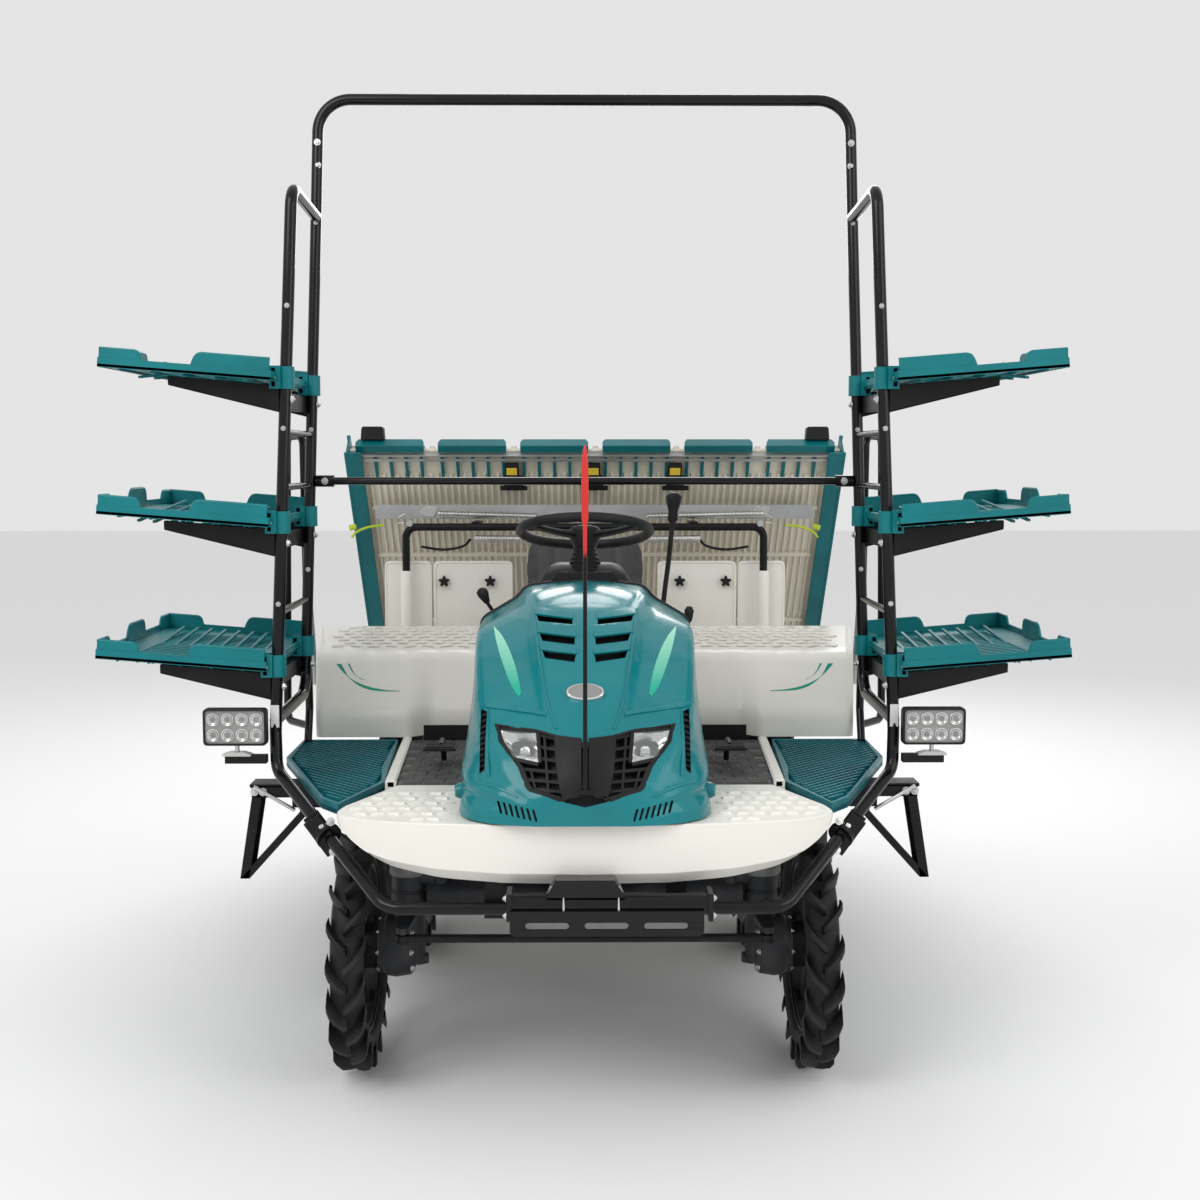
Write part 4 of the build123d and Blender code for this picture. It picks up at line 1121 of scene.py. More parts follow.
    def ridges(self, skin: "Skin") -> None:
        """Raised lips over the vents, the spine's two creases and the brow over the lamps."""
        solid = Solid()
        for side in (-1, 1):
            for row in self.vent_rows:
                (x0, z0), (x1, z1) = row[0], row[1]
                low = [(-side * mix(x0 - 0.004, x1 + 0.003, k / 8), mix(z0, z1, k / 8) - 0.001)
                        for k in range(9)]
                high = [(x, z + 0.012) for x, z in low]
                skin.strip(solid, low, high, 0.0035, 3)
            crease = [(0.135, 1.222), (0.126, 1.19), (0.112, 1.12),
                       (0.098, 1.06), (0.084, 1.012), (0.066, 0.972)]
            skin.strip(solid, [(side * x, z) for x, z in crease], [(side * (x + 0.007), z) for x, z in crease], 0.0032, 3
            )
            brow = [(0.262, 1.012), (0.243, 1.010), (0.18, 1.008), (0.13, 1.006), (0.095, 1.004)]
            skin.strip(solid, [(side * x, z - 0.007) for x, z in brow], [(side * x, z) for x, z in brow], 0.0040, 3
            )
            pillar = [(0.236, 1.000), (0.234, 0.95), (0.232, 0.90), (0.228, 0.862)]
            skin.strip(solid, [(side * x, z) for x, z in pillar], [(side * (x + 0.006), z) for x, z in pillar], 0.0036, 3
            )
            skirt = [(0.262, 0.846), (0.230, 0.846), (0.19, 0.838), (0.16, 0.826)]
            skin.strip(solid, [(side * x, z - 0.005) for x, z in skirt], [(side * x, z) for x, z in skirt], 0.0034, 3
            )
        fit_piece("bonnet_ridges", solid, TEAL, Fit("bonnet", "bonnet_teal"), Edge(0.0012, 2, 0, 60))

    def nose(self, skin: "Skin") -> None:
        """The black nose: its frame, the V piece with the pole's slot, and the mesh of bars."""
        frame = Solid()
        outline = [Vector((x, 0, z)) for x, z in self.lamp_opening]
        centre = Vector((0, 0, 0.90))
        rings = []
        for p in outline:
            q = p + (centre - p).normalized() * 0.011
            outer = p + (p - centre).normalized() * 0.002
            ring = [skin.point(outer.x, outer.z, 0.002), skin.point(q.x, q.z, 0.002)]
            rings.append(ring + [v + Vector((0, 0.02, 0)) for v in reversed(ring)])
        frame.loft(rings, closed=True)
        fit_piece(
            "nose_frame", frame, BLACK_PLASTIC, Fit(
    "bonnet", "dark_plastic", ("bonnet_grille",)), Edge(
        0.001, 2, 0, 40)
        )
        piece = Solid()
        for side in (-1, 1):
            zs = [0.953, 0.93, 0.90, 0.87, 0.845, 0.825, 0.815]
            inner = [(side * 0.0085, z) for z in zs]
            widths = (0.073, 0.071, 0.068, 0.064, 0.059, 0.054, 0.050)
            outer = [(side * w, z + 0.004) for w, z in zip(widths, zs)]
            skin.strip(piece, inner, outer, 0.0065, 6, 0.012)
        foot = [(x, 0.806 + abs(x) * 0.26) for x in (-0.050, -0.03, -0.012, 0.0, 0.012, 0.03, 0.050)]
        skin.strip(piece, foot, [(x, 0.828) for x, _ in foot], 0.0065, 3, 0.012)
        fit_piece("nose_centre", piece, BLACK_PLASTIC, Fit("bonnet", "dark_plastic"), Edge(0.0015, 2, 0, 40))
        bars = Solid()
        for side in (-1, 1):
            for z, x0, x1 in ((0.950, 0.070, 0.110), (0.926, 0.068, 0.112), (0.902, 0.066, 0.112),
                              (0.878, 0.062, 0.155), (0.856, 0.058, 0.143), (0.836, 0.054, 0.120)):
                line = [(side * mix(x0, x1, k / 5), z + mix(0.0, 0.004, k / 5)) for k in range(6)]
                skin.strip(bars, line, [(x, h + 0.0065) for x, h in line], -0.002, 2, 0.016)
            for x0, x1 in ((0.096, 0.084), (0.128, 0.112)):
                top = 0.952 if x0 < 0.1 else 0.886
                line = [(side * mix(x0, x1, k / 5), mix(top, 0.832, k / 5)) for k in range(6)]
                skin.strip(bars, line, [(x + side * 0.0055, h) for x, h in line], -0.001, 2, 0.016)
        fit_piece("nose_bars", bars, BLACK_PLASTIC, Fit("bonnet", "dark_plastic"), Edge(0.0008, 1, 0, 40))
        fins = Spots()
        for side in (-1, 1):
            for i in range(11):
                z = mix(0.992, 0.870, i / 10)
                spot = skin.point(side * 0.2505, z, -0.005)
                fins.put(spot, (0.5, side * 0.35, side * 0.5))
        blade = Solid().box((-0.010, -0.006, -0.0016), (0.010, 0.008, 0.0016))
        fit_piece(
            "side_louvres", fins.grow(
    "side_louvres", blade, BLACK_PLASTIC), BLACK_PLASTIC, Fit(
        "bonnet", "dark_plastic")
        )

    def lamps(self, skin: "Skin") -> None:
        """Both head lamps: reflector bowl, ribbed step, clear lens and dark surround."""
        bowls, lenses, surrounds = Solid(), Solid(), Solid()
        for side in (-1, 1):
            outer = [(0.206, 0.962), (0.201, 0.948), (0.193, 0.932), (0.184, 0.918), (0.172, 0.908)]
            inner = [(0.119, 0.961), (0.117, 0.944), (0.115, 0.928), (0.113, 0.912), (0.112, 0.899)]
            a = [(side * x, z) for x, z in outer]
            b = [(side * x, z) for x, z in inner]
            skin.strip(lenses, a, b, 0.0005, 10, 0.003)
            rings = []
            for k in range(9):
                share = k / 8
                depth = -0.010 - 0.030 * math.sin(math.pi * min(1.0, share * 1.25))
                i = min(3, int(share * 4))
                t = share * 4 - i
                p = (mix(a[i][0], a[i + 1][0], t), mix(a[i][1], a[i + 1][1], t))
                q = (mix(b[i][0], b[i + 1][0], t), mix(b[i][1], b[i + 1][1], t))
                ring = []
                for m in range(13):
                    s = m / 12
                    dip = depth * (0.35 + 0.65 * math.sin(math.pi * s))
                    ripple = 0.0012 * (m % 2) if share < 0.42 else 0.0
                    ring.append(skin.point(mix(p[0], q[0], s), mix(p[1], q[1], s), dip + ripple))
                back = [v + Vector((0, 0.006, 0)) for v in reversed(ring)]
                rings.append(ring + back)
            bowls.loft(rings)
            for line, step in ((a, 0.007), (b, -0.009)):
                beside = [(x + side * step, z) for x, z in line]
                skin.strip(surrounds, line, beside, 0.002, 2, 0.02)
            for end_a, end_b in ((a[0], b[0]), (a[-1], b[-1])):
                line = [(mix(end_a[0], end_b[0], k / 6), mix(end_a[1], end_b[1], k / 6)) for k in range(7)]
                up = 0.005 if end_a is a[0] else -0.008
                skin.strip(surrounds, line, [(x, z + up) for x, z in line], 0.002, 2, 0.02)
            bulb = skin.point(side * 0.150, 0.926, -0.026)
            bowls.turned([(0, 0.017), (0.3, 0.019), (1, 0.012)], bulb + \
                         Vector((0, 0.012, 0)), bulb - Vector((0, 0.006, 0)), 20)
        fit_piece(
    "head_lamp_bowls", bowls, MIRROR, Fit(
        "bonnet", "lamp_glass", ("headlights",)), Edge(
            angle=50))
        fit_piece("head_lamp_lenses", lenses, LENS, Fit("bonnet", "lamp_glass"), Edge(angle=50))
        fit_piece(
    "head_lamp_surrounds", surrounds, BLACK_PLASTIC, Fit(
        "bonnet", "dark_plastic"), Edge(
            0.0008, 1))

    def trim(self, skin: "Skin") -> None:
        """The badge, the leaf films, the rear edge's rubber trim and the side ears."""
        badge, face = Solid(), Solid()
        centre = skin.point(0.0, 1.049, 0.0)
        low, high = skin.point(0.0, 1.035, 0.0), skin.point(0.0, 1.063, 0.0)
        up = (high - low).normalized()
        out = Vector((1, 0, 0)).cross(up)
        out = out if out.y < 0 else -out
        rings = []
        for scale, lift in ((1.0, -0.004), (1.0, 0.004), (0.95, 0.0062),
                            (0.87, 0.0062), (0.84, 0.0042), (0.02, 0.0042)):
            ring = []
            for k in range(36):
                angle = math.tau * k / 36
                ring.append(
                    centre + Vector((0.0475 * math.cos(angle) * scale, 0, 0)) + up * \
                                    (0.0275 * math.sin(angle) * scale) + out * lift
                )
            rings.append(ring)
        badge.loft(rings)
        ring = [[centre + (p - centre) * 0.83 + out * lift for p in rings[0]] for lift in (0.006, 0.0088)]
        dome = [centre + (p - centre) * 0.5 + out * 0.0092 for p in rings[0]]
        face.loft(ring + [dome])
        fit_piece("badge_rim", badge, CHROME, Fit("bonnet", "lamp_glass"), Edge(angle=50))
        fit_piece("badge_face", face, LAMP_GREY, Fit("bonnet", "lamp_glass"), Edge(angle=50))
        leaves = Solid()
        for side in (-1, 1):
            near = [(0.2445, 1.174), (0.222, 1.160), (0.199, 1.133),
                     (0.178, 1.096), (0.165, 1.062), (0.159, 1.038)]
            far = [(0.2440, 1.172), (0.236, 1.149), (0.222, 1.117),
                    (0.201, 1.078), (0.183, 1.048), (0.166, 1.032)]
            a = rounded([(side * x, z) for x, z in near], 0.012, 3, closed=False)
            b = rounded([(side * x, z) for x, z in far], 0.012, 3, closed=False)
            skin.strip(leaves, [tuple(p) for p in a], [tuple(p) for p in b], 0.0008, 4, 0.001)
        fit_piece("leaf_films", leaves, MINT, Fit("bonnet", "bonnet_teal"), Edge(angle=60))
        edge = Solid()
        rear = self.section(self.stations[0])
        line = [Vector((-p.x, p.y + 0.001, p.z)) for p in rear[8:]] + \
                       [Vector((p.x, p.y + 0.001, p.z)) for p in reversed(rear[8:-1])]
        edge.tube(line, 0.006, 0.004, 8, 2)
        fit_piece("bonnet_edge_rubber", edge, BLACK_PLASTIC, Fit("bonnet", "dark_plastic"), Edge(angle=50))
        ears = Solid()
        for side in (-1, 1):
            ears.turned([(0, 0.020), (0.6, 0.020), (1, 0.014)],
                        (side * 0.296, -1.30, 0.800), (side * 0.324, -1.306, 0.800), 18)
        fit_piece("bonnet_ears", ears, TEAL, Fit("bonnet", "bonnet_teal"), Edge(0.001))
        pole = Solid()
        pole.turned([(0, 0.0055), (1, 0.0045)], (0, -1.524, 0.842), (0, -1.524, 1.540), 12)
        pole.turned([(0, 0.0065), (1, 0.0065)], (-0.016, -1.524, 0.842), (0.016, -1.524, 0.842), 14)
        fit_piece("pole_rod", pole, BLACK_TUBE, Fit("sight_pole", "tube_black", ("sight_pole",)))
        tip = Solid().turned(
            [(0, 0.004), (0.03, 0.0046), (0.32, 0.0050), (0.36, 0.0078),
              (0.55, 0.0086), (0.8, 0.0082), (0.94, 0.0056), (1, 0.002)],
            (0, -1.524, 1.385),
            (0, -1.524, 1.652),
            16,
        )
        fit_piece("pole_tip", tip, RED, Fit("sight_pole", "tube_black"), Edge(angle=60))


# ------------------------------------------------------------------ deck, floor and steps
def follow(table: Sequence[tuple[float, float]], x: float) -> float:
    """Reads a rising table of (x, value) pairs at x, straight between its entries."""
    for (x0, v0), (x1, v1) in zip(table, table[1:]):
        if x <= x1:
            return mix(v0, v1, max(0.0, (x - x0) / (x1 - x0)))
    return table[-1][1]


def inside(outline: Outline, x: float, y: float, margin: float) -> bool:
    """Whether a point is inside an outline and at least a margin away from its edges."""
    hit = False
    near = 1e9
    for (x0, y0), (x1, y1) in zip(outline, list(outline[1:]) + [outline[0]]):
        if (y0 > y) != (y1 > y) and x < (x1 - x0) * (y - y0) / (y1 - y0) + x0:
            hit = not hit
        run = Vector((x1 - x0, y1 - y0))
        t = max(0.0, min(1.0, ((x - x0) * run.x + (y - y0) * run.y) / max(1e-12, run.length_squared)))
        near = min(near, math.hypot(x - x0 - run.x * t, y - y0 - run.y * t))
    return hit and near >= margin


@dataclass
class FrontDeck:
    """The cream deck round the bonnet, with its skirt and its raised treads."""

    top: float = 0.754
    edge: tuple[tuple[float, float], ...] = (
        (0.500, -1.019),
        (0.603, -1.265),
        (0.615, -1.325),
        (0.606, -1.362),
        (0.560, -1.402),
        (0.480, -1.438),
        (0.363, -1.462),
        (0.200, -1.476),
        (0.0, -1.478),
    )
    foot: tuple[tuple[float, float], ...] = (
        (0.0, 0.600),
        (0.08, 0.600),
        (0.24, 0.604),
        (0.363, 0.614),
        (0.480, 0.634),
        (0.540, 0.655),
        (0.575, 0.682),
        (0.600, 0.706),
        (0.630, 0.722),
    )

    def build(self) -> None:
        """Makes the top plate, the skirt and the treads."""
        half = rounded(self.edge[1:-1], 0.05, 5, closed=False)
        half = [Vector(self.edge[0])] + half + [Vector(self.edge[-1])]
        line = half + [Vector((-p.x, p.y)) for p in reversed(half[:-1])]
        plate = Solid()
        well = [(-0.262, -1.019), (-0.262, -1.402), (0.262, -1.402), (0.262, -1.019)]
        plate.prism([tuple(p) for p in line] + well, 0.738, self.top, Plane.TOP)
        fit_piece(
    "deck_top", plate, CREAM, Fit(
        "chassis", "cream_plastic", ("front_deck",)), Edge(
            0.004, 3, 0, 50))
        skirt = Solid()
        rings = []
        for i, p in enumerate(line):
            ahead, behind = line[min(i + 1, len(line) - 1)], line[max(i - 1, 0)]
            way = (ahead - behind).normalized()
            out = Vector((way.y, -way.x))
            out = out if out.dot(p - Vector((0, -1.0))) > 0 else -out
            low = follow(self.foot, abs(p.x))
            drop = self.top - low
            steps = (
                (-0.012, self.top - 0.0005),
                (-0.004, self.top - 0.0015),
                (-0.0008, self.top - 0.006),
                (0.0, self.top - 0.012),
                (-0.001, self.top - drop * 0.45),
                (-0.005, low + drop * 0.21),
                (-0.010, low + drop * 0.17),
                (-0.034, low + 0.004),
                (-0.038, low),
                (-0.044, low + 0.004),
                (-0.018, low + drop * 0.2),
                (-0.014, self.top - 0.02),
            )
            rings.append([(p.x + out.x * d, p.y + out.y * d, z) for d, z in steps])
        skirt.loft(rings)
        fit_piece("deck_skirt", skirt, CREAM, Fit("chassis", "cream_plastic"), Edge(angle=24))
        self.treads(line)

    def treads(self, line: Sequence[Vector]) -> None:
        """The slanting raised treads on both sides of the bonnet."""
        outline = [tuple(p) for p in line]
        spots = Spots()
        for row in range(6):
            for column in range(8):
                x = 0.345 + column * 0.041 + (row % 2) * 0.0205
                y = -1.130 - row * 0.058
                if inside(outline, x, y, 0.032) and (x > 0.352 or y > -1.40):
                    spots.put((x, y, self.top - 0.001), (0, 0, 0.42 if (row + column) % 2 else -0.42))
        spots.mirrored()
        low, high = [(-0.019, -0.008), (0.019, -0.008), (0.019, 0.008), (-0.019, 0.008)], 0.0062
        stud = Solid().loft([[(x, y, 0) for x, y in low], [(x * 0.78, y * 0.55, high) for x, y in low]])
        mesh = spots.grow("deck_treads", stud, CREAM, Edge(0.0015, 2))
        fit_piece("deck_treads", mesh, CREAM, Fit("chassis", "cream_plastic"), Edge(angle=40))


@dataclass
class Floor:
    """The driver's floor: ribbed mats, perforated side steps and their hangers."""

    step: tuple[tuple[float, float], ...] = (
        (0.578, -0.354),
        (0.554, -0.772),
        (0.539, -0.991),
        (0.622, -1.258),
        (0.674, -1.188),
        (0.869, -0.639),
        (0.869, -0.354),
    )
    mat: tuple[tuple[float, float], ...] = (
        (0.312, -1.010), (0.503, -1.010), (0.534, -0.356), (0.312, -0.356))

    def build(self) -> None:
        """Makes the mats, the steps and the brackets under them."""
        base = Solid().prism(self.mat, 0.7425, 0.7535, Plane.TOP).mirrored()
        fit_piece("mat_base", base, MAT, Fit("chassis", "mat_rubber", ("floor_mats",)), Edge(0.003, 2))
        ribs = Spots()
        for row in range(35):
            y = -0.998 + row * 0.0182
            for column in range(4):
                x = 0.345 + column * 0.060 + (0.03 if row // 3 % 2 else 0.0)
                if inside(self.mat, x, y, 0.008):
                    ribs.put((x, y, 0.753), (0, 0, 0.04 * math.sin(row * 1.7)), (1, 1, 1))
        ribs.mirrored()
        rib = Solid().loft([[(-0.028, -0.0055, 0), (0.028, -0.0055, 0), (0.028, 0.0055, 0), (-0.028, 0.0055, 0)],
                    [(-0.026, -0.0035, 0.0042), (0.026, -0.0035, 0.0042), (0.026, 0.0035, 0.0042), (-0.026, 0.0035, 0.0042)]])
        fit_piece("mat_ribs", ribs.grow("mat_ribs", rib, MAT), MAT, Fit("chassis", "mat_rubber"))
        back = Solid()
        back.box((0.190, -0.352, 0.700), (0.500, -0.347, 0.800)).mirrored()
        fit_piece("floor_back_panels", back, BLACK_PLASTIC, Fit("chassis", "dark_plastic"), Edge(0.001))
        strips = Solid()
        edge = [(0.506, -1.012), (0.534, -1.012), (0.561, -0.354), (0.537, -0.354)]
        strips.prism(edge, 0.741, 0.7655, Plane.TOP).mirrored()
        fit_piece("floor_strips", strips, CREAM, Fit("chassis", "cream_plastic"), Edge(0.006, 3))
        plate = Solid().prism(self.step, 0.730, 0.744, Plane.TOP).mirrored()
        fit_piece("step_plates", plate, STEP_TEAL, Fit("chassis", "step_teal", ("side_steps",)), Edge(0.002))
        rim = Solid()
        outer = [Vector((x, y, 0)) for x, y in self.step]
        centre = sum(outer, Vector()) / len(outer)
        rings = []
        for p in outer:
            q = p + (centre - p).normalized() * 0.020
            rings.append([(p.x, p.y, 0.728), (p.x, p.y, 0.757), (q.x, q.y, 0.757), (q.x, q.y, 0.728)])
        rim.loft(rings, closed=True).mirrored()
        fit_piece("step_rims", rim, STEP_TEAL, Fit("chassis", "step_teal"), Edge(0.003, 2))
        teeth = Spots()
        for row in range(60):
            for column in range(12):
                x = 0.545 + column * 0.0285 + (row % 2) * 0.01425
                y = -1.245 + row * 0.0150
                if inside(self.step, x, y, 0.020):
                    teeth.put((x, y, 0.7435), (0, 0, 0.62))
        teeth.mirrored()
        tooth = Solid().loft(
            [
                [(-0.0125, -0.0038, 0), (0.0125, -0.0038, 0), (0.0125, 0.0038, 0), (-0.0125, 0.0038, 0)],
                [(-0.0120, -0.0026, 0.0130), (0.0120, -0.0026, 0.0130),
                  (0.0120, 0.0026, 0.0130), (-0.0120, 0.0026, 0.0130)],
            ]
        )
        fit_piece(
    "step_teeth", teeth.grow(
        "step_teeth", tooth, STEP_TEAL), STEP_TEAL, Fit(
            "chassis", "step_teal"))
        self.brackets()

    def brackets(self) -> None:
        """The folded channel brackets under the outer edge of both steps."""
        legs = Solid()
        for top_x, top_z in ((0.905, 0.700), (0.772, 0.652)):
            for y0, y1 in ((-0.882, -0.878), (-0.806, -0.802)):
                legs.prism([(top_x - 0.013, top_z), (top_x + 0.013, top_z),
                           (0.956, 0.462), (0.930, 0.462)], y0, y1, Plane.FRONT)
            web = [(top_x + 0.009, top_z), (top_x + 0.013, top_z), (0.956, 0.462), (0.952, 0.462)]
            legs.prism(web, -0.880, -0.804, Plane.FRONT)
        legs.prism([(0.755, 0.690), (0.920, 0.690), (0.920, 0.724),
                   (0.755, 0.724)], -0.882, -0.876, Plane.FRONT)
        legs.box((0.755, -0.882, 0.718), (0.925, -0.802, 0.727))
        legs.prism([(0.755, 0.720), (0.800, 0.720), (0.786, 0.640),
                   (0.762, 0.640)], -0.880, -0.804, Plane.FRONT)
        legs.mirrored()
        fit_piece(
    "bracket_legs", legs, BLACK_STEEL, Fit(
        "chassis", "frame_black", ("step_brackets",)), Edge(
            0.0012, 2))
        rods = Solid().bar((0.912, -0.888, 0.722), (0.800, -0.888, 0.656), 0.0055, 12).mirrored()
        fit_piece("bracket_rods", rods, ZINC, Fit("chassis", "galvanised"))
        bolts = Spots()
        for x, z in ((0.888, 0.7065), (0.912, 0.7065), (0.782, 0.667)):
            bolts.facing((x, -0.883, z), (0, -1, 0))
        bolts.mirrored()
        mesh = bolts.grow("bracket_bolts", hex_bolt(0.008), ZINC)
        fit_piece("bracket_bolts", mesh, ZINC, Fit("chassis", "galvanised"))


# ------------------------------------------------------------------ rear cover
@dataclass
class RearCover:
    """The cream cover over the rear wheels and the tank, with treads and green stripes."""

    front: float = -0.350
    rear: float = 0.360
    foot: float = 0.762
    wall: float = 0.006

    def reach(self, y: float) -> float:
        """The cover's half width at y."""
        return mix(0.832, 0.942, (y - self.front) / (self.rear - self.front))

    def profile(self, x: float, inset: float) -> list[tuple[float, float]]:
        """The cover's outline in a lengthwise cut at x, from the front foot to the rear foot.

        Args:
            x: Distance from the middle of the machine.
            inset: How far the line is moved inwards.

        Returns:
            A fixed number of (y, z) points.
        """
        away = max(0.0, min(1.0, (abs(x) - 0.500) / 0.085))
        fender = away * away * (3 - 2 * away)
        back = mix(0.052, 0.0, fender)
        scallop = 0.006 * max(0.0, math.sin(x * 62.0)) ** 2 if 0.30 < abs(x) < 0.80 else 0.0
        corners = [
            (self.front + back + inset, self.foot),
            (self.front + back + 0.006 + inset, mix(self.foot, 0.974, 0.35)),
            (-0.232 + back * 0.4 + inset, 0.955 - inset * 0.3),
            (-0.196 + back * 0.2 + inset * 0.6, 0.998 - scallop - inset * 0.7),
            (-0.150 + inset * 0.3, 1.0135 - scallop * 0.5 - inset),
            (0.02, 1.0215 - inset),
            (self.rear - 0.03, 1.0385 - inset),
            (self.rear - inset, 1.012 - inset),
            (self.rear - inset, 0.90),
            (self.rear - inset, self.foot),
        ]
        return [(p.x, p.y) for p in rounded(corners, 0.030, 4, closed=False)]

    def rings(self, inset: float) -> list[list[Vector]]:
        """The cover's skin from its right foot over the top to its left foot."""
        made = []

        def ring(x_share: float, shrink: float, sunk: float) -> list[Vector]:
            """One lengthwise line of the skin."""
            points = []
            for y, z in self.profile(x_share * 0.88, inset + shrink):
                x = x_share * (self.reach(y) - inset)
                points.append(Vector((x, y, mix(z, self.foot, sunk))))
            return points

        for share in (1.0, 0.72, 0.45, 0.2):
            made.append(ring(-1.0, 0.020, share))
        for share, shrink in ((-1.0, 0.018), (-0.998, 0.011), (-0.992, 0.005), (-0.982, 0.0)):
            made.append(ring(share, shrink, 0.0))
        steps = 120
        for k in range(1, steps):
            made.append(ring(mix(-0.982, 0.982, k / steps), 0.0, 0.0))
        for share, shrink in ((0.982, 0.0), (0.992, 0.005), (0.998, 0.011), (1.0, 0.018)):
            made.append(ring(share, shrink, 0.0))
        for share in (0.2, 0.45, 0.72, 1.0):
            made.append(ring(1.0, 0.020, share))
        return made

    def build(self) -> None:
        """Makes the moulding, its treads and its stripes."""
        outer, inner = self.rings(0.0), self.rings(self.wall)
        shell = Solid().loft([a + list(reversed(b)) for a, b in zip(outer, inner)])
        fit_piece(
    "cover_shell", shell, CREAM, Fit(
        "chassis", "cream_plastic", ("rear_cover",)), Edge(
            angle=40))
        skin = Skin(Solid().sheet(outer), -0.3)
        treads = Spots()
        for row in range(7):
            for column in range(9):
                x = 0.335 + column * 0.058 + (row % 2) * 0.029
                y = -0.110 + row * 0.062
                if x < self.reach(y) - 0.06:
                    treads.put((x, y, 1.0150 + 0.048 * (y + 0.15)),
                               (0.048, 0, 0.5 if (row + column) % 2 else -0.5))
        treads.mirrored()
        base = [(-0.021, -0.008), (0.021, -0.008), (0.021, 0.008), (-0.021, 0.008)]
        stud = Solid().loft([[(x, y, 0) for x, y in base], [(x * 0.8, y * 0.6, 0.0058) for x, y in base]])
        mesh = treads.grow("cover_treads", stud, CREAM, Edge(0.0015, 2))
        fit_piece("cover_treads", mesh, CREAM, Fit("chassis", "cream_plastic"))
        stripes = Solid()
        for side in (-1, 1):
            wide_top = [(0.788, 0.973), (0.758, 0.944), (0.720, 0.922),
                         (0.678, 0.908), (0.632, 0.900), (0.580, 0.897)]
            wide_low = [(0.772, 0.973), (0.748, 0.938), (0.712, 0.912),
                         (0.672, 0.899), (0.630, 0.896), (0.580, 0.896)]
            thin_top = [(0.752, 0.973), (0.738, 0.953), (0.722, 0.940), (0.706, 0.932), (0.694, 0.928)]
            thin_low = [(0.746, 0.973), (0.732, 0.950), (0.716, 0.937), (0.704, 0.930), (0.694, 0.9275)]
            for top, low in ((wide_top, wide_low), (thin_top, thin_low)):
                a = [tuple(p) for p in rounded([(side * x, z) for x, z in top], 0.02, 4, closed=False)]
                b = [tuple(p) for p in rounded([(side * x, z) for x, z in low], 0.02, 4, closed=False)]
                skin.strip(stripes, a, b, 0.0009, 3, 0.001)
        fit_piece("cover_stripes", stripes, GREEN, Fit("chassis", "cream_plastic"), Edge(angle=60))


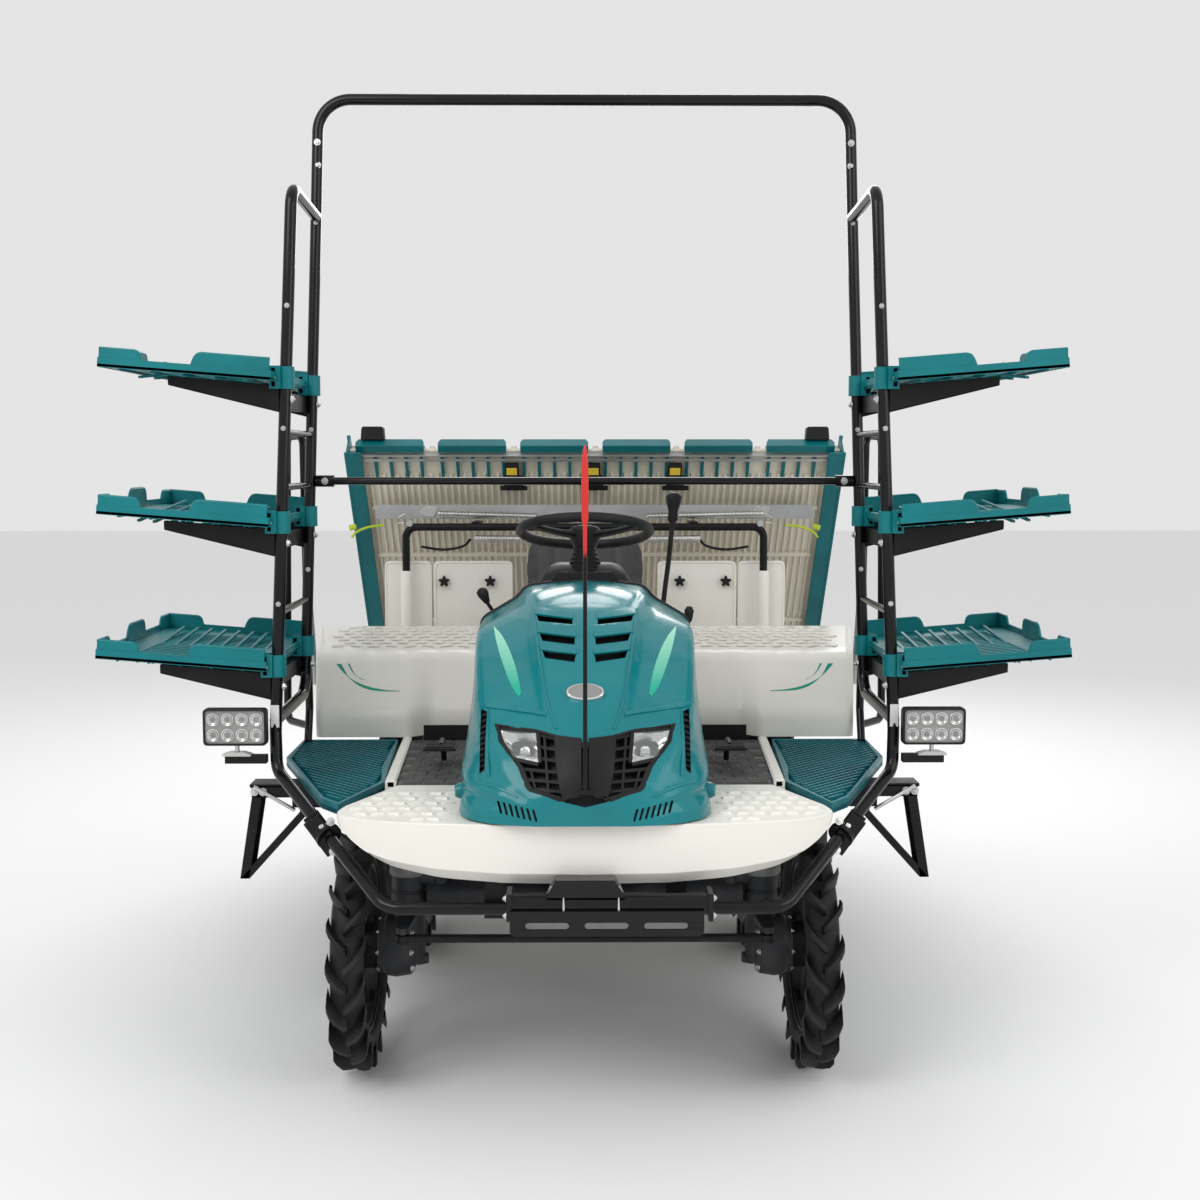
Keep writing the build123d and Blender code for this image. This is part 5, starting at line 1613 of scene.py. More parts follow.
# ------------------------------------------------------------------ racks and trays
@dataclass
class Racks:
    """Clamps and bolts of the racks, the trays with their clips and the arms under them."""

    levels: tuple[float, ...] = (1.088, 1.465, 1.843)
    length: float = 0.445
    depth: float = 0.700
    tilt: float = 4.5
    front_foot: Point = (0.818, -1.040, 0.905)
    front_head: Point = (0.768, -0.950, 2.330)
    rear_foot: Point = (0.818, -0.588, 0.975)
    rear_head: Point = (0.776, -0.520, 2.360)

    def post(self, rear: bool, z: float) -> Vector:
        """The middle of the left front or rear post at a height."""
        foot, head = (self.rear_foot, self.rear_head) if rear else (self.front_foot, self.front_head)
        return Vector(foot).lerp(Vector(head), (z - foot[2]) / (head[2] - foot[2]))

    def place(self, level: float) -> Matrix:
        """The local frame of a left tray: x outwards, y rearwards, from its inner front corner."""
        inner = self.post(False, level).x + 0.022
        return Matrix.Translation((inner, -1.070, level)) @ Matrix.Rotation(math.radians(-self.tilt), 4, "Y")

    def build(self) -> None:
        """Makes the trays, their clips, the arms and every bolt of the racks."""
        trays, arms = Solid(), Solid()
        for level in self.levels:
            trays.at = self.place(level)
            self.tray(trays)
            self.clips(trays, level)
        trays.at = Matrix.Identity(4)
        fit_piece(
    "trays", trays.mirrored(), TRAY_TEAL, Fit(
        "chassis", "tray_teal", ("seedling_trays",)), Edge(
            0.0022, 2, 0, 50))
        floor = self.floor_bars()
        fit_piece("tray_floors", floor, TRAY_TEAL, Fit("chassis", "tray_teal"))
        for level in self.levels:
            self.arm(arms, level)
        fit_piece(
    "tray_arm_plates", arms.mirrored(), BLACK_STEEL, Fit(
        "chassis", "frame_black", ("tray_arms",)), Edge(
            0.0015, 2))
        self.bolts()

    def wall(self, solid: Solid, start: Point, end: Point, height: float, slope: tuple[float, float]) -> None:
        """A thin upright lip from start to end, in the tray's own frame.

        Args:
            solid: The mesh that it is added to.
            start: (x, y) of one end.
            end: (x, y) of the other.
            height: Height of its top above the tray's rim line.
            slope: How far each end of its top is set back.
        """
        a, b = Vector((*start, 0)), Vector((*end, 0))
        way = (b - a).normalized()
        side = Vector((-way.y, way.x, 0)) * 0.0035
        low_a, low_b = a + Vector((0, 0, -0.010)), b + Vector((0, 0, -0.010))
        steps = [(0.0, -0.0), (0.25, 0.55), (0.55, 0.88), (1.0, 1.0)]
        rise = [a + way * slope[0] * s + Vector((0, 0, height * r))
                                                for s, r in steps] if slope[0] else [a + Vector((0, 0, height))]
        fall = [
    b -
    way *
    slope[1] *
    s +
    Vector(
        (0,
        0,
        height *
        r)) for s,
        r in reversed(steps)] if slope[1] else [
            b +
            Vector(
                (0,
                0,
                 height))]
        line = [low_a] + rise + fall + [low_b]
        solid.loft([[p - side for p in line], [p + side for p in line]])
        self.rolled(solid, rise + fall)

    def rolled(self, solid: Solid, line: Sequence[Vector]) -> None:
        """A small rolled edge along a lip's top."""
        solid.tube(line, 0.0042, 0.004, 8, 2)

    def tray(self, solid: Solid) -> None:
        """One tray in its own frame: floor border, rim, lips and ribs underneath."""
        length, depth = self.length, self.depth
        inner_x, outer_x, near_y, far_y = 0.075, length - 0.080, 0.105, depth - 0.105
        for low, high in (
            ((0, 0, -0.0205), (length, near_y, -0.0135)),
            ((0, far_y, -0.0205), (length, depth, -0.0135)),
            ((0, near_y, -0.0205), (inner_x, far_y, -0.0135)),
            ((outer_x, near_y, -0.0205), (length, far_y, -0.0135)),
        ):
            solid.box(low, high)
        for y in (0.0, depth - 0.006):
            solid.box((0, y, -0.0220), (length, y + 0.006, 0.0030))
        for x in (0.0, length - 0.006):
            solid.box((x, 0.004, -0.0220), (x + 0.006, depth - 0.004, 0.0030))
        e = 0.0048
        for y in (e, depth - e):
            self.wall(solid, (0.006, y), (0.205, y), 0.033, (0.0, 0.022))
            self.wall(solid, (0.335, y), (length - e, y), 0.026, (0.016, 0.0))
        self.wall(solid, (length - e, e), (length - e, 0.100), 0.026, (0.0, 0.018))
        self.wall(solid, (length - e, depth - 0.100), (length - e, depth - e), 0.026, (0.018, 0.0))
        self.wall(solid, (length - e, 0.265), (length - e, 0.435), 0.038, (0.032, 0.032))
        for k in range(5):
            x = 0.060 + k * 0.082
            solid.box((x, 0.006, -0.0260), (x + 0.004, depth - 0.006, -0.0200))

    def clips(self, solid: Solid, level: float) -> None:
        """The two C clips that hold a tray to its posts."""
        at = solid.at
        solid.at = Matrix.Identity(4)
        for rear in (False, True):
            post = self.post(rear, level)
            y = post.y
            ring = []
            for k in range(17):
                angle = math.radians(mix(-130, 130, k / 16))
                ring.append((math.cos(angle), math.sin(angle)))
            outer = [(post.x + 0.0225 * c * -1 + 0.0, y + 0.0225 * s) for c, s in ring]
            inner = [(post.x + 0.0172 * c * -1, y + 0.0172 * s) for c, s in reversed(ring)]
            solid.prism(outer + inner, level - 0.040, level + 0.018, Plane.TOP)
            solid.box((post.x + 0.010, y - 0.026, level - 0.040), (post.x + 0.040, y - 0.0205, level + 0.020))
            solid.box((post.x + 0.010, y + 0.0205, level - 0.040), (post.x + 0.040, y + 0.026, level + 0.020))
            solid.box((post.x + 0.024, y - 0.026, level - 0.034), (post.x + 0.034, y + 0.026, level + 0.014))
        solid.at = at

    def floor_bars(self) -> bpy.types.Mesh:
        """The crossed bars of every tray's floor."""
        spots = Spots()
        for level in self.levels:
            at = self.place(level)
            turn = math.radians(-self.tilt)
            for k in range(8):
                spots.put(at @ Vector((0.076 + k * 0.0413, self.depth / 2, -0.017)),
                          (0, turn, math.pi / 2), (0.495, 1, 1))
            for k in range(17):
                spots.put(at @ Vector((0.2205, 0.113 + k * 0.0297, -0.0172)), (0, turn, 0), (0.292, 1, 1))
        spots.mirrored()
        bar = Solid().box((-0.5, -0.0042, -0.0032), (0.5, 0.0042, 0.0032))
        return spots.grow("tray_floors", bar, TRAY_TEAL)

    def arm(self, solid: Solid, level: float) -> None:
        """The folded and tapered arms under one tray."""
        for rear in (False, True):
            post = self.post(rear, level)
            x = post.x + 0.017
            plate = [(x, level - 0.030), (x + 0.290, level - 0.006),
                      (x + 0.290, level - 0.027), (x, level - 0.098)]
            for y0, y1 in ((post.y - 0.014, post.y - 0.0112), (post.y + 0.0112, post.y + 0.014)):
                solid.prism(plate, y0, y1, Plane.FRONT)
            low = [(x, level - 0.098), (x + 0.290, level - 0.027),
                    (x + 0.290, level - 0.030), (x, level - 0.101)]
            solid.prism(low, post.y - 0.014, post.y + 0.014, Plane.FRONT)
            top = [(x, level - 0.030), (x + 0.290, level - 0.006),
                    (x + 0.290, level - 0.009), (x, level - 0.033)]
            solid.prism(top, post.y - 0.013, post.y + 0.013, Plane.FRONT)
        front, rear_post = self.post(False, level), self.post(True, level)
        solid.box((front.x + 0.022, front.y, level - 0.088), (front.x + 0.050, rear_post.y, level - 0.044))
        solid.box((front.x + 0.150, front.y, level - 0.046), (front.x + 0.175, rear_post.y, level - 0.026))

    def bolts(self) -> None:
        """Zinc bolts through the posts, clips, hoop and brace."""
        spots = Spots()
        for level in self.levels:
            for rear in (False, True):
                post = self.post(rear, level - 0.068)
                spots.facing((post.x - 0.0155, post.y, level - 0.066), (-1, 0, 0))
                spots.facing((post.x + 0.026, post.y - 0.026, level - 0.012), (0, -1, 0), (0.7, 0.7, 0.7))
        for z in (2.463, 2.528):
            spots.facing((0.7695, -0.5285, z), (0, -1, 0), (0.85, 0.85, 0.85))
        for z in (1.240, 1.700, 2.020):
            post = self.post(False, z)
            spots.facing((post.x, post.y - 0.0155, z), (0, -1, 0), (0.6, 0.6, 0.6))
        for z in (1.300, 1.705, 2.300):
            post = self.post(True, z)
            spots.facing((post.x - 0.002, post.y - 0.0155, z), (0, -1, 0), (0.6, 0.6, 0.6))
        post = self.post(True, 1.556)
        spots.facing((post.x - 0.045, post.y - 0.0165, 1.556), (0, -1, 0), (0.9, 0.9, 0.9))
        spots.facing((0.632, -1.275, 0.640), (0.2, -0.9, 0.3))
        spots.facing((0.662, -1.262, 0.700), (0.2, -0.9, 0.3))
        spots.facing((0.640, -1.262, 0.712), (0.2, -0.9, 0.3))
        spots.mirrored()
        fit_piece(
    "rack_bolts", spots.grow(
        "rack_bolts", hex_bolt(), ZINC), ZINC, Fit(
            "chassis", "galvanised"))
        plates = Solid()
        outline = [(0.612, 0.648), (0.648, 0.622), (0.708, 0.706), (0.672, 0.732)]
        plates.prism(outline, -1.268, -1.258, Plane.FRONT)
        plates.prism([(x + 0.006, z + 0.004) for x, z in outline], -1.236, -1.228, Plane.FRONT)
        fit_piece(
    "guard_plates", plates.mirrored(), BLACK_STEEL, Fit(
        "chassis", "frame_black"), Edge(
            0.002, 2))
        labels = Solid()
        post = self.post(False, 0.945)
        labels.prism([(post.x - 0.011, 0.916), (post.x + 0.011, 0.916), (post.x + 0.011, 0.975),
                     (post.x - 0.011, 0.975)], post.y - 0.0172, post.y - 0.0150, Plane.FRONT)
        fit_piece("post_labels", labels.mirrored(), WHITE_FILM, Fit("chassis", "tube_black"))


@dataclass
class WorkLamps:
    """The two lamp units beside the posts, each with eight reflectors."""

    middle: Point = (0.9095, -1.0925, 0.9265)
    width: float = 0.165
    height: float = 0.097

    def build(self) -> None:
        """Makes the housings, face plates, reflectors, lenses and brackets."""
        housing, face = Solid(), Solid()
        x, y, z = self.middle
        w, h = self.width / 2, self.height / 2
        outline = [tuple(p) for p in rounded(
            [(x - w, z - h), (x + w, z - h), (x + w, z + h), (x - w, z + h)], 0.012, 4)]
        lip = [(x + (a - x) * 0.93, z + (b - z) * 0.88) for a, b in outline]
        housing.loft(
            [
                [(a, y + 0.024, b) for a, b in [(x + (p - x) * 0.9, z + (q - z) * 0.86) for p, q in outline]],
                [(a, y + 0.004, b) for a, b in outline],
                [(a, y - 0.022, b) for a, b in outline],
                [(a, y - 0.026, b) for a, b in lip],
                [(a, y - 0.019, b) for a, b in lip],
            ]
        )
        for k in range(9):
            fin_x = x - w * 0.8 + k * w * 0.2
            housing.box((fin_x - 0.002, y + 0.020, z - h * 0.8), (fin_x + 0.002, y + 0.0265, z + h * 0.8))
        housing.box((0.836, -1.080, 0.824), (0.945, -1.052, 0.846))
        face.loft([[(a, y - d, b) for a, b in lip] for d in (0.017, 0.0205)])
        cups, lenses, diodes = Spots(), Spots(), Spots()
        for row in (-1, 1):
            for column in range(4):
                spot = (x + (column - 1.5) * 0.0375, y - 0.0195, z + row * 0.0205)
                cups.facing(spot, (0, -1, 0))
                lenses.facing((spot[0], spot[1] - 0.0030, spot[2]), (0, -1, 0))
                diodes.facing((spot[0], spot[1] + 0.001, spot[2]), (0, -1, 0))
        for spots in (cups, lenses, diodes):
            spots.mirrored()
        cup = Solid().turned(
            [(0.0, 0.016), (0.6, 0.0172), (1.0, 0.0165), (0.95, 0.0150),
              (0.5, 0.0125), (0.2, 0.008), (0.12, 0.001)],
            (0, 0, 0),
            (0, 0, 0.0045),
            20,
        )
        diode = Solid().box((-0.0042, -0.0042, 0), (0.0042, 0.0042, 0.0016))
        lens = Solid().turned([(0.0, 0.0145), (0.6, 0.0142), (1.0, 0.009)], (0, 0, 0), (0, 0, 0.0024), 18)
        fit_piece(
    "lamp_housings", housing.mirrored(), BLACK_PLASTIC, Fit(
        "chassis", "lamp_black", ("work_lamps",)), Edge(
            0.0012, 2))
        fit_piece("lamp_faces", face.mirrored(), LAMP_GREY, Fit("chassis", "lamp_black"))
        fit_piece("lamp_cups", cups.grow("lamp_cups", cup, MIRROR), MIRROR, Fit("chassis", "lamp_glass"))
        fit_piece("lamp_diodes", diodes.grow("lamp_diodes", diode, LED), LED, Fit("chassis", "lamp_glass"))
        fit_piece("lamp_lenses", lenses.grow("lamp_lenses", lens, LENS), LENS, Fit("chassis", "lamp_glass"))
        bracket = Solid()
        bracket.prism([(0.872, 0.847), (0.948, 0.847), (0.948, 0.852), (0.928, 0.858),
                      (0.892, 0.858), (0.872, 0.852)], -1.100, -1.072, Plane.FRONT)
        bracket.bar((0.910, -1.086, 0.856), (0.910, -1.086, 0.880), 0.006, 12)
        bracket.mirrored()
        fit_piece("lamp_brackets", bracket, ZINC, Fit("chassis", "galvanised"), Edge(0.001))


# ------------------------------------------------------------------ driver's place
@dataclass
class DriversPlace:
    """The seat, the steering wheel, the cowl under it, and the levers and pedals."""

    hub: Point = (0.0, -0.600, 1.412)
    wheel_radius: float = 0.186
    tilt: float = 15.0

    def build(self) -> None:
        """Makes every piece of the driver's place."""
        self.seat()
        self.steering()
        self.cowl()
        self.levers()

    def cushion(self, name: str, low: Point, high: Point, lean: float, node: str) -> None:
        """A stuffed pad that is swollen by cloth simulation and then seamed.

        Args:
            name: The piece's name.
            low: Its lowest corner before it leans.
            high: Its highest corner before it leans.
            lean: How far its top is carried rearwards.
            node: The plain node that it stands for.
        """
        (x0, y0, z0), (x1, y1, z1) = low, high
        shape = Solid()
        base = [tuple(p) for p in rounded([(x0, y0), (x1, y0), (x1, y1), (x0, y1)], 0.07, 6)]
        cx, cy = (x0 + x1) / 2, (y0 + y1) / 2
        rings = []
        for share, scale in ((0.0, 0.93), (0.2, 0.985), (0.5, 1.0), (0.8, 0.985), (1.0, 0.90)):
            z = mix(z0, z1, share)
            rings.append([(cx + (x - cx) * scale, cy + (y - cy) * scale + lean * share, z) for x, y in base])
        pad = carrier(name, shape.loft(rings).mesh(name))
        remesh = pad.modifiers.new("voxels", "REMESH")
        remesh.mode, remesh.voxel_size = "VOXEL", 0.009
        mesh = plain_mesh(pad, name)
        rest = [v.co.copy() for v in mesh.vertices]
        pad = carrier(name, mesh)
        cloth = pad.modifiers.new("cloth", "CLOTH")
        cloth.settings.use_pressure = True
        cloth.settings.uniform_pressure_force = 4.0
        cloth.settings.effector_weights.gravity = 0.0
        cloth.settings.quality = 4
        cloth.point_cache.frame_start, cloth.point_cache.frame_end = 1, 14
        for frame in range(1, 15):
            bpy.context.scene.frame_set(frame)
        mesh = plain_mesh(pad, name)
        bpy.context.scene.frame_set(1)
        for vert, start in zip(mesh.vertices, rest):
            move = vert.co - start
            if move.length > 0.010:
                vert.co = start + move.normalized() * 0.010
        self.seams(mesh, low, high, lean)
        piece = fit_piece(name, mesh, VINYL, Fit("chassis", "seat_vinyl", (node,)), Edge(levels=1, angle=80))

    def seams(self, mesh: bpy.types.Mesh, low: Point, high: Point, lean: float) -> None:
        """Presses two lengthwise channels into a pad."""
        for vert in mesh.vertices:
            share = (vert.co.z - low[2]) / (high[2] - low[2])
            if share < 0.45 and lean == 0:
                continue
            x = vert.co.x
            for channel in (-0.105, 0.105):
                gap = abs(x - channel)
                if gap < 0.013:
                    press = 0.0055 * (1 - gap / 0.013)
                    vert.co.z -= press if lean == 0 else 0.0
                    vert.co.y += press if lean else 0.0

    def seat(self) -> None:
        """The cushion, the backrest and the piping round them."""
        self.cushion("seat_cushion_pad", (-0.214, -0.145, 1.066), (0.214, 0.247, 1.132), 0.0, "seat_cushion")
        self.cushion("seat_back_pad", (-0.210, 0.206, 1.150), (0.210, 0.258, 1.334), 0.064, "seat_backrest")
        piping = Solid()
        base = rounded([(-0.214, -0.145), (0.214, -0.145), (0.214, 0.247), (-0.214, 0.247)], 0.07, 6)
        rings = []
        for i, p in enumerate(base):
            ahead, behind = base[(i + 1) % len(base)], base[i - 1]
            way = (ahead - behind).normalized()
            out = Vector((way.y, -way.x, 0))
            centre = Vector((p.x, p.y, 1.104)) + out * 0.009
            rings.append([centre + out * 0.004 * math.cos(a) + Vector((0, 0, 0.004 * math.sin(a)))
                         for a in [math.tau * k / 8 for k in range(8)]])
        piping.loft(rings, closed=True)
        fit_piece("seat_piping", piping, BLACK_PLASTIC, Fit("chassis", "seat_vinyl"), Edge(angle=60))

    def steering(self) -> None:
        """The rim, its spokes and its hub pad."""
        turn = Matrix.Translation(self.hub) @ Matrix.Rotation(math.radians(-self.tilt), 4, "X")
        rim, spokes = Solid(), Solid()
        rim.at = spokes.at = turn
        rings = []
        for k in range(64):
            a = math.tau * k / 64
            ring = []
            for m in range(14):
                b = math.tau * m / 14
                swell = 0.0148 + 0.0009 * math.cos(a * 24) * max(0.0, -math.sin(b))
                r = self.wheel_radius + swell * math.cos(b)
                ring.append((math.cos(a) * r, math.sin(a) * r, swell * math.sin(b)))
            rings.append(ring)
        rim.loft(rings, closed=True)
        for k in range(3):
            a = math.radians(90 + 120 * k)
            way, side = Vector((math.cos(a), math.sin(a), 0)), Vector((-math.sin(a), math.cos(a), 0))
            line = []
            for share, wide, low, thick in ((0.0, 0.026, -0.012, 0.020), (0.35, 0.019, - \
                                            0.015, 0.013), (0.75, 0.017, -0.008, 0.012), (1.0, 0.024, -0.002, 0.014)):
                c = way * mix(0.025, self.wheel_radius - 0.004, share) + Vector((0, 0, low))
                up = Vector((0, 0, thick / 2))
                line.append([c - side * wide - up * 0.3,
    c - side * wide * 0.7 + up,
    c + side * wide * 0.7 + up,
    c + side * wide - up * 0.3,
    c + side * wide * 0.7 - up,
     c - side * wide * 0.7 - up])
            spokes.loft(line)
        spokes.turned([(0.0, 0.030), (0.5, 0.045), (0.8, 0.048), (0.93, 0.043),
                      (1.0, 0.030)], (0, 0, -0.055), (0, 0, 0.012), 32)
        fit_piece(
    "wheel_rim_foam", rim, GRIP, Fit(
        "steering_wheel", "wheel_grip", ("steering_wheel",)), Edge(
            angle=60))
        fit_piece(
    "wheel_spokes", spokes, BLACK_PLASTIC, Fit(
        "steering_wheel", "wheel_grip"), Edge(
            0.002, 2, 1, 50))

    def cowl(self) -> None:
        """The charcoal cowl with its instrument hood and the boot of the column."""
        body = Solid()
        stations = (
            (-0.712, 0.160, 0.742, 1.262, 0.160),
            (-0.700, 0.205, 0.742, 1.285, 0.132),
            (-0.655, 0.206, 0.742, 1.318, 0.112),
            (-0.600, 0.206, 0.742, 1.322, 0.108),
            (-0.548, 0.202, 0.742, 1.285, 0.105),
            (-0.512, 0.190, 0.742, 1.215, 0.100),
            (-0.500, 0.180, 0.742, 1.170, 0.095),
        )
        rings = []
        for y, wide, low, top, head in stations:
            corners = [(-wide, low), (wide, low), (wide, 1.120), (wide * 0.90, 1.165), (head + 0.030, mix(1.165, top, 0.45)), (head, top - 0.010),
                        (head * 0.75, top), (-head * 0.75, top), (-head, top - 0.010), (-head - 0.030, mix(1.165, top, 0.45)), (-wide * 0.90, 1.165), (-wide, 1.120)]
            rings.append([(p.x, y, p.y) for p in rounded(corners, 0.016, 3)])
        body.loft(rings)
        fit_piece("cowl_body", body, CHARCOAL, Fit("chassis", "dark_plastic", ("dash_cowl",)), Edge(angle=42))
        boot = Solid()
        tilt = math.radians(self.tilt)
        axis = Vector((0, math.sin(tilt), math.cos(tilt)))
        hub = Vector(self.hub)
        profile = [(k / 12, 0.052 - 0.022 * k / 12 + (0.004 if k % 2 else 0.0)) for k in range(13)]
        boot.turned(profile, hub - axis * 0.130, hub - axis * 0.050, 28)
        fit_piece("column_boot", boot, BLACK_PLASTIC, Fit("chassis", "dark_plastic"), Edge(angle=50))
        panel = Solid()
        panel.prism([(-0.082, 1.240), (0.082, 1.240), (0.096, 1.282), (0.080, 1.302),
                    (-0.080, 1.302), (-0.096, 1.282)], -0.7165, -0.708, Plane.FRONT)
        fit_piece("cowl_panel", panel, BLACK_PLASTIC, Fit("chassis", "dark_plastic"), Edge(0.004, 3))
        catch = Solid().box((-0.196, -0.700, 1.218), (-0.160, -0.688, 1.240))
        fit_piece("bonnet_catch", catch, RED, Fit("chassis", "dark_plastic"), Edge(0.003, 3, 1))

    def levers(self) -> None:
        """The main lever, the two short ones with their knobs, and the pedals."""
        rods, knobs = Solid(), Solid()
        rods.tube([(0.225, -0.510, 1.100), (0.236, -0.492, 1.220),
                  (0.252, -0.470, 1.330), (0.263, -0.452, 1.450)], 0.0075, 0.05, 12)
        rods.tube([(-0.204, -0.600, 1.118), (-0.250, -0.600, 1.150),
                  (-0.290, -0.600, 1.212)], 0.0055, 0.03, 10)
        rods.tube([(0.204, -0.600, 1.098), (0.285, -0.600, 1.115), (0.301, -0.600, 1.160)], 0.0055, 0.03, 10)
        for side in (-1, 1):
            rods.tube([(side * 0.405, -0.705, 0.762), (side * 0.405, -0.735, 0.830),
                      (side * 0.405, -0.800, 0.820)], 0.008, 0.03, 10)
        knobs.turned([(0, 0.011), (0.12, 0.016), (0.35, 0.014), (0.62, 0.021), (0.85, 0.025),
                     (0.97, 0.018), (1, 0.006)], (0.262, -0.454, 1.430), (0.267, -0.446, 1.520), 20)
        knobs.turned([(0, 0.008), (0.2, 0.011), (0.6, 0.017), (0.85, 0.016), (1, 0.006)],
                     (-0.284, -0.600, 1.203), (-0.305, -0.600, 1.246), 18)
        knobs.turned([(0, 0.008), (0.15, 0.012), (0.75, 0.014), (1, 0.007)],
                     (0.300, -0.600, 1.146), (0.305, -0.600, 1.192), 18)
        boots = Solid().turned([(k / 8, 0.026 - 0.012 * k / 8 + (0.003 if k % 2 else 0))
                      for k in range(9)], (0.224, -0.512, 1.090), (0.229, -0.504, 1.140), 20)
        pedals = Solid()
        for side in (-1, 1):
            pedals.box((side * 0.405 - 0.045, -0.845, 0.811), (side * 0.405 + 0.045, -0.760, 0.820))
            for k in range(7):
                y = -0.838 + k * 0.012
                pedals.box((side * 0.405 - 0.041, y, 0.8195), (side * 0.405 + 0.041, y + 0.005, 0.8238))
        fit_piece(
    "lever_rods", rods, BLACK_STEEL, Fit(
        "chassis", "dark_plastic", ("controls",)), Edge(
            angle=50))
        fit_piece("lever_knobs", knobs, BLACK_PLASTIC, Fit("chassis", "dark_plastic"), Edge(angle=50))
        fit_piece("lever_boots", boots, BLACK_PLASTIC, Fit("chassis", "dark_plastic"), Edge(angle=50))
        fit_piece("pedal_pads", pedals, BLACK_PLASTIC, Fit("chassis", "dark_plastic"), Edge(0.0015, 2))


# ------------------------------------------------------------------ bumper and axles
@dataclass
class Bumper:
    """The bumper tube with its slotted plate, its cover and its bolts."""

    middle: float = 0.050

    def build(self) -> None:
        """Makes the tube, plate, cover, tabs and bolts."""
        body = Solid()
        body.turned([(0, 0.024), (0.004, 0.026), (0.996, 0.026), (1, 0.024)],
                    (-0.184, -1.500, 0.568), (0.300, -1.500, 0.568), 28)
        for x0, x1 in ((-0.186, -0.174), (0.290, 0.302)):
            body.box((x0, -1.530, 0.534), (x1, -1.456, 0.600))
        body.prism([(-0.093, 0.590), (0.093, 0.590), (0.070, 0.632),
                   (-0.070, 0.632)], -1.525, -1.478, Plane.FRONT)
        for x in (-0.090, 0.190):
            body.box((x - 0.020, -1.500, 0.530), (x + 0.020, -1.452, 0.562))
        body.box((-0.178, -1.536, 0.5565), (0.280, -1.500, 0.5605))
        self.plate(body)
        fit_piece("bumper_body", body, BLACK_TUBE, Fit("chassis", "tube_black", ("bumper",)), Edge(0.0012, 2))
        tabs = Solid()
        for x in (-0.054, 0.076):
            tabs.prism([(x, 0.556), (x + 0.006, 0.556), (x + 0.004, 0.592),
                       (x + 0.001, 0.592)], -1.530, -1.524, Plane.FRONT)
        fit_piece("bumper_tabs", tabs, ZINC, Fit("chassis", "galvanised"), Edge(0.001))
        bolts = Spots()
        for x in (-0.187, 0.303):
            way = (-1 if x < 0 else 1, 0, 0)
            for z in (0.546, 0.588):
                bolts.facing((x, -1.520, z), way, (0.9, 0.9, 0.9))
        for x in (-0.165, 0.265):
            bolts.facing((x, -1.5300, 0.5440), (0, -1, 0), (0.55, 0.55, 0.55))
        fit_piece(
    "bumper_bolts", bolts.grow(
        "bumper_bolts", hex_bolt(
            0.007, 0.005), ZINC), ZINC, Fit(
                "chassis", "galvanised"))

    def plate(self, solid: Solid) -> None:
        """The plate under the tube, with three round-ended slots."""
        low_y, high_y = -1.5358, -1.5300
        edges = [-0.178]
        for k in (-1, 0, 1):
            edges += [self.middle + k * 0.140 - 0.052, self.middle + k * 0.140 + 0.052]
        edges.append(0.280)
        for x0, x1 in zip(edges[::2], edges[1::2]):
            solid.box((x0, low_y, 0.517), (x1, high_y, 0.533))
        solid.prism([(-0.178, 0.510), (-0.168, 0.500), (0.270, 0.500), (0.280, 0.510),
                    (0.280, 0.517), (-0.178, 0.517)], low_y, high_y, Plane.FRONT)
        solid.box((-0.178, low_y, 0.533), (0.280, high_y, 0.560))
        for k in (-1, 0, 1):
            for side in (-1, 1):
                x = self.middle + k * 0.140 + side * 0.052
                corner = [(x, 0.517)] + [(x - side * 0.008 * (1 - math.sin(a)), 0.525 - 0.008 * math.cos(a))
                           for a in (0.0, 0.52, 1.05, math.pi / 2, 2.09, 2.62, math.pi)] + [(x, 0.533)]
                solid.prism([(px, pz) for px, pz in corner], low_y, high_y, Plane.FRONT)


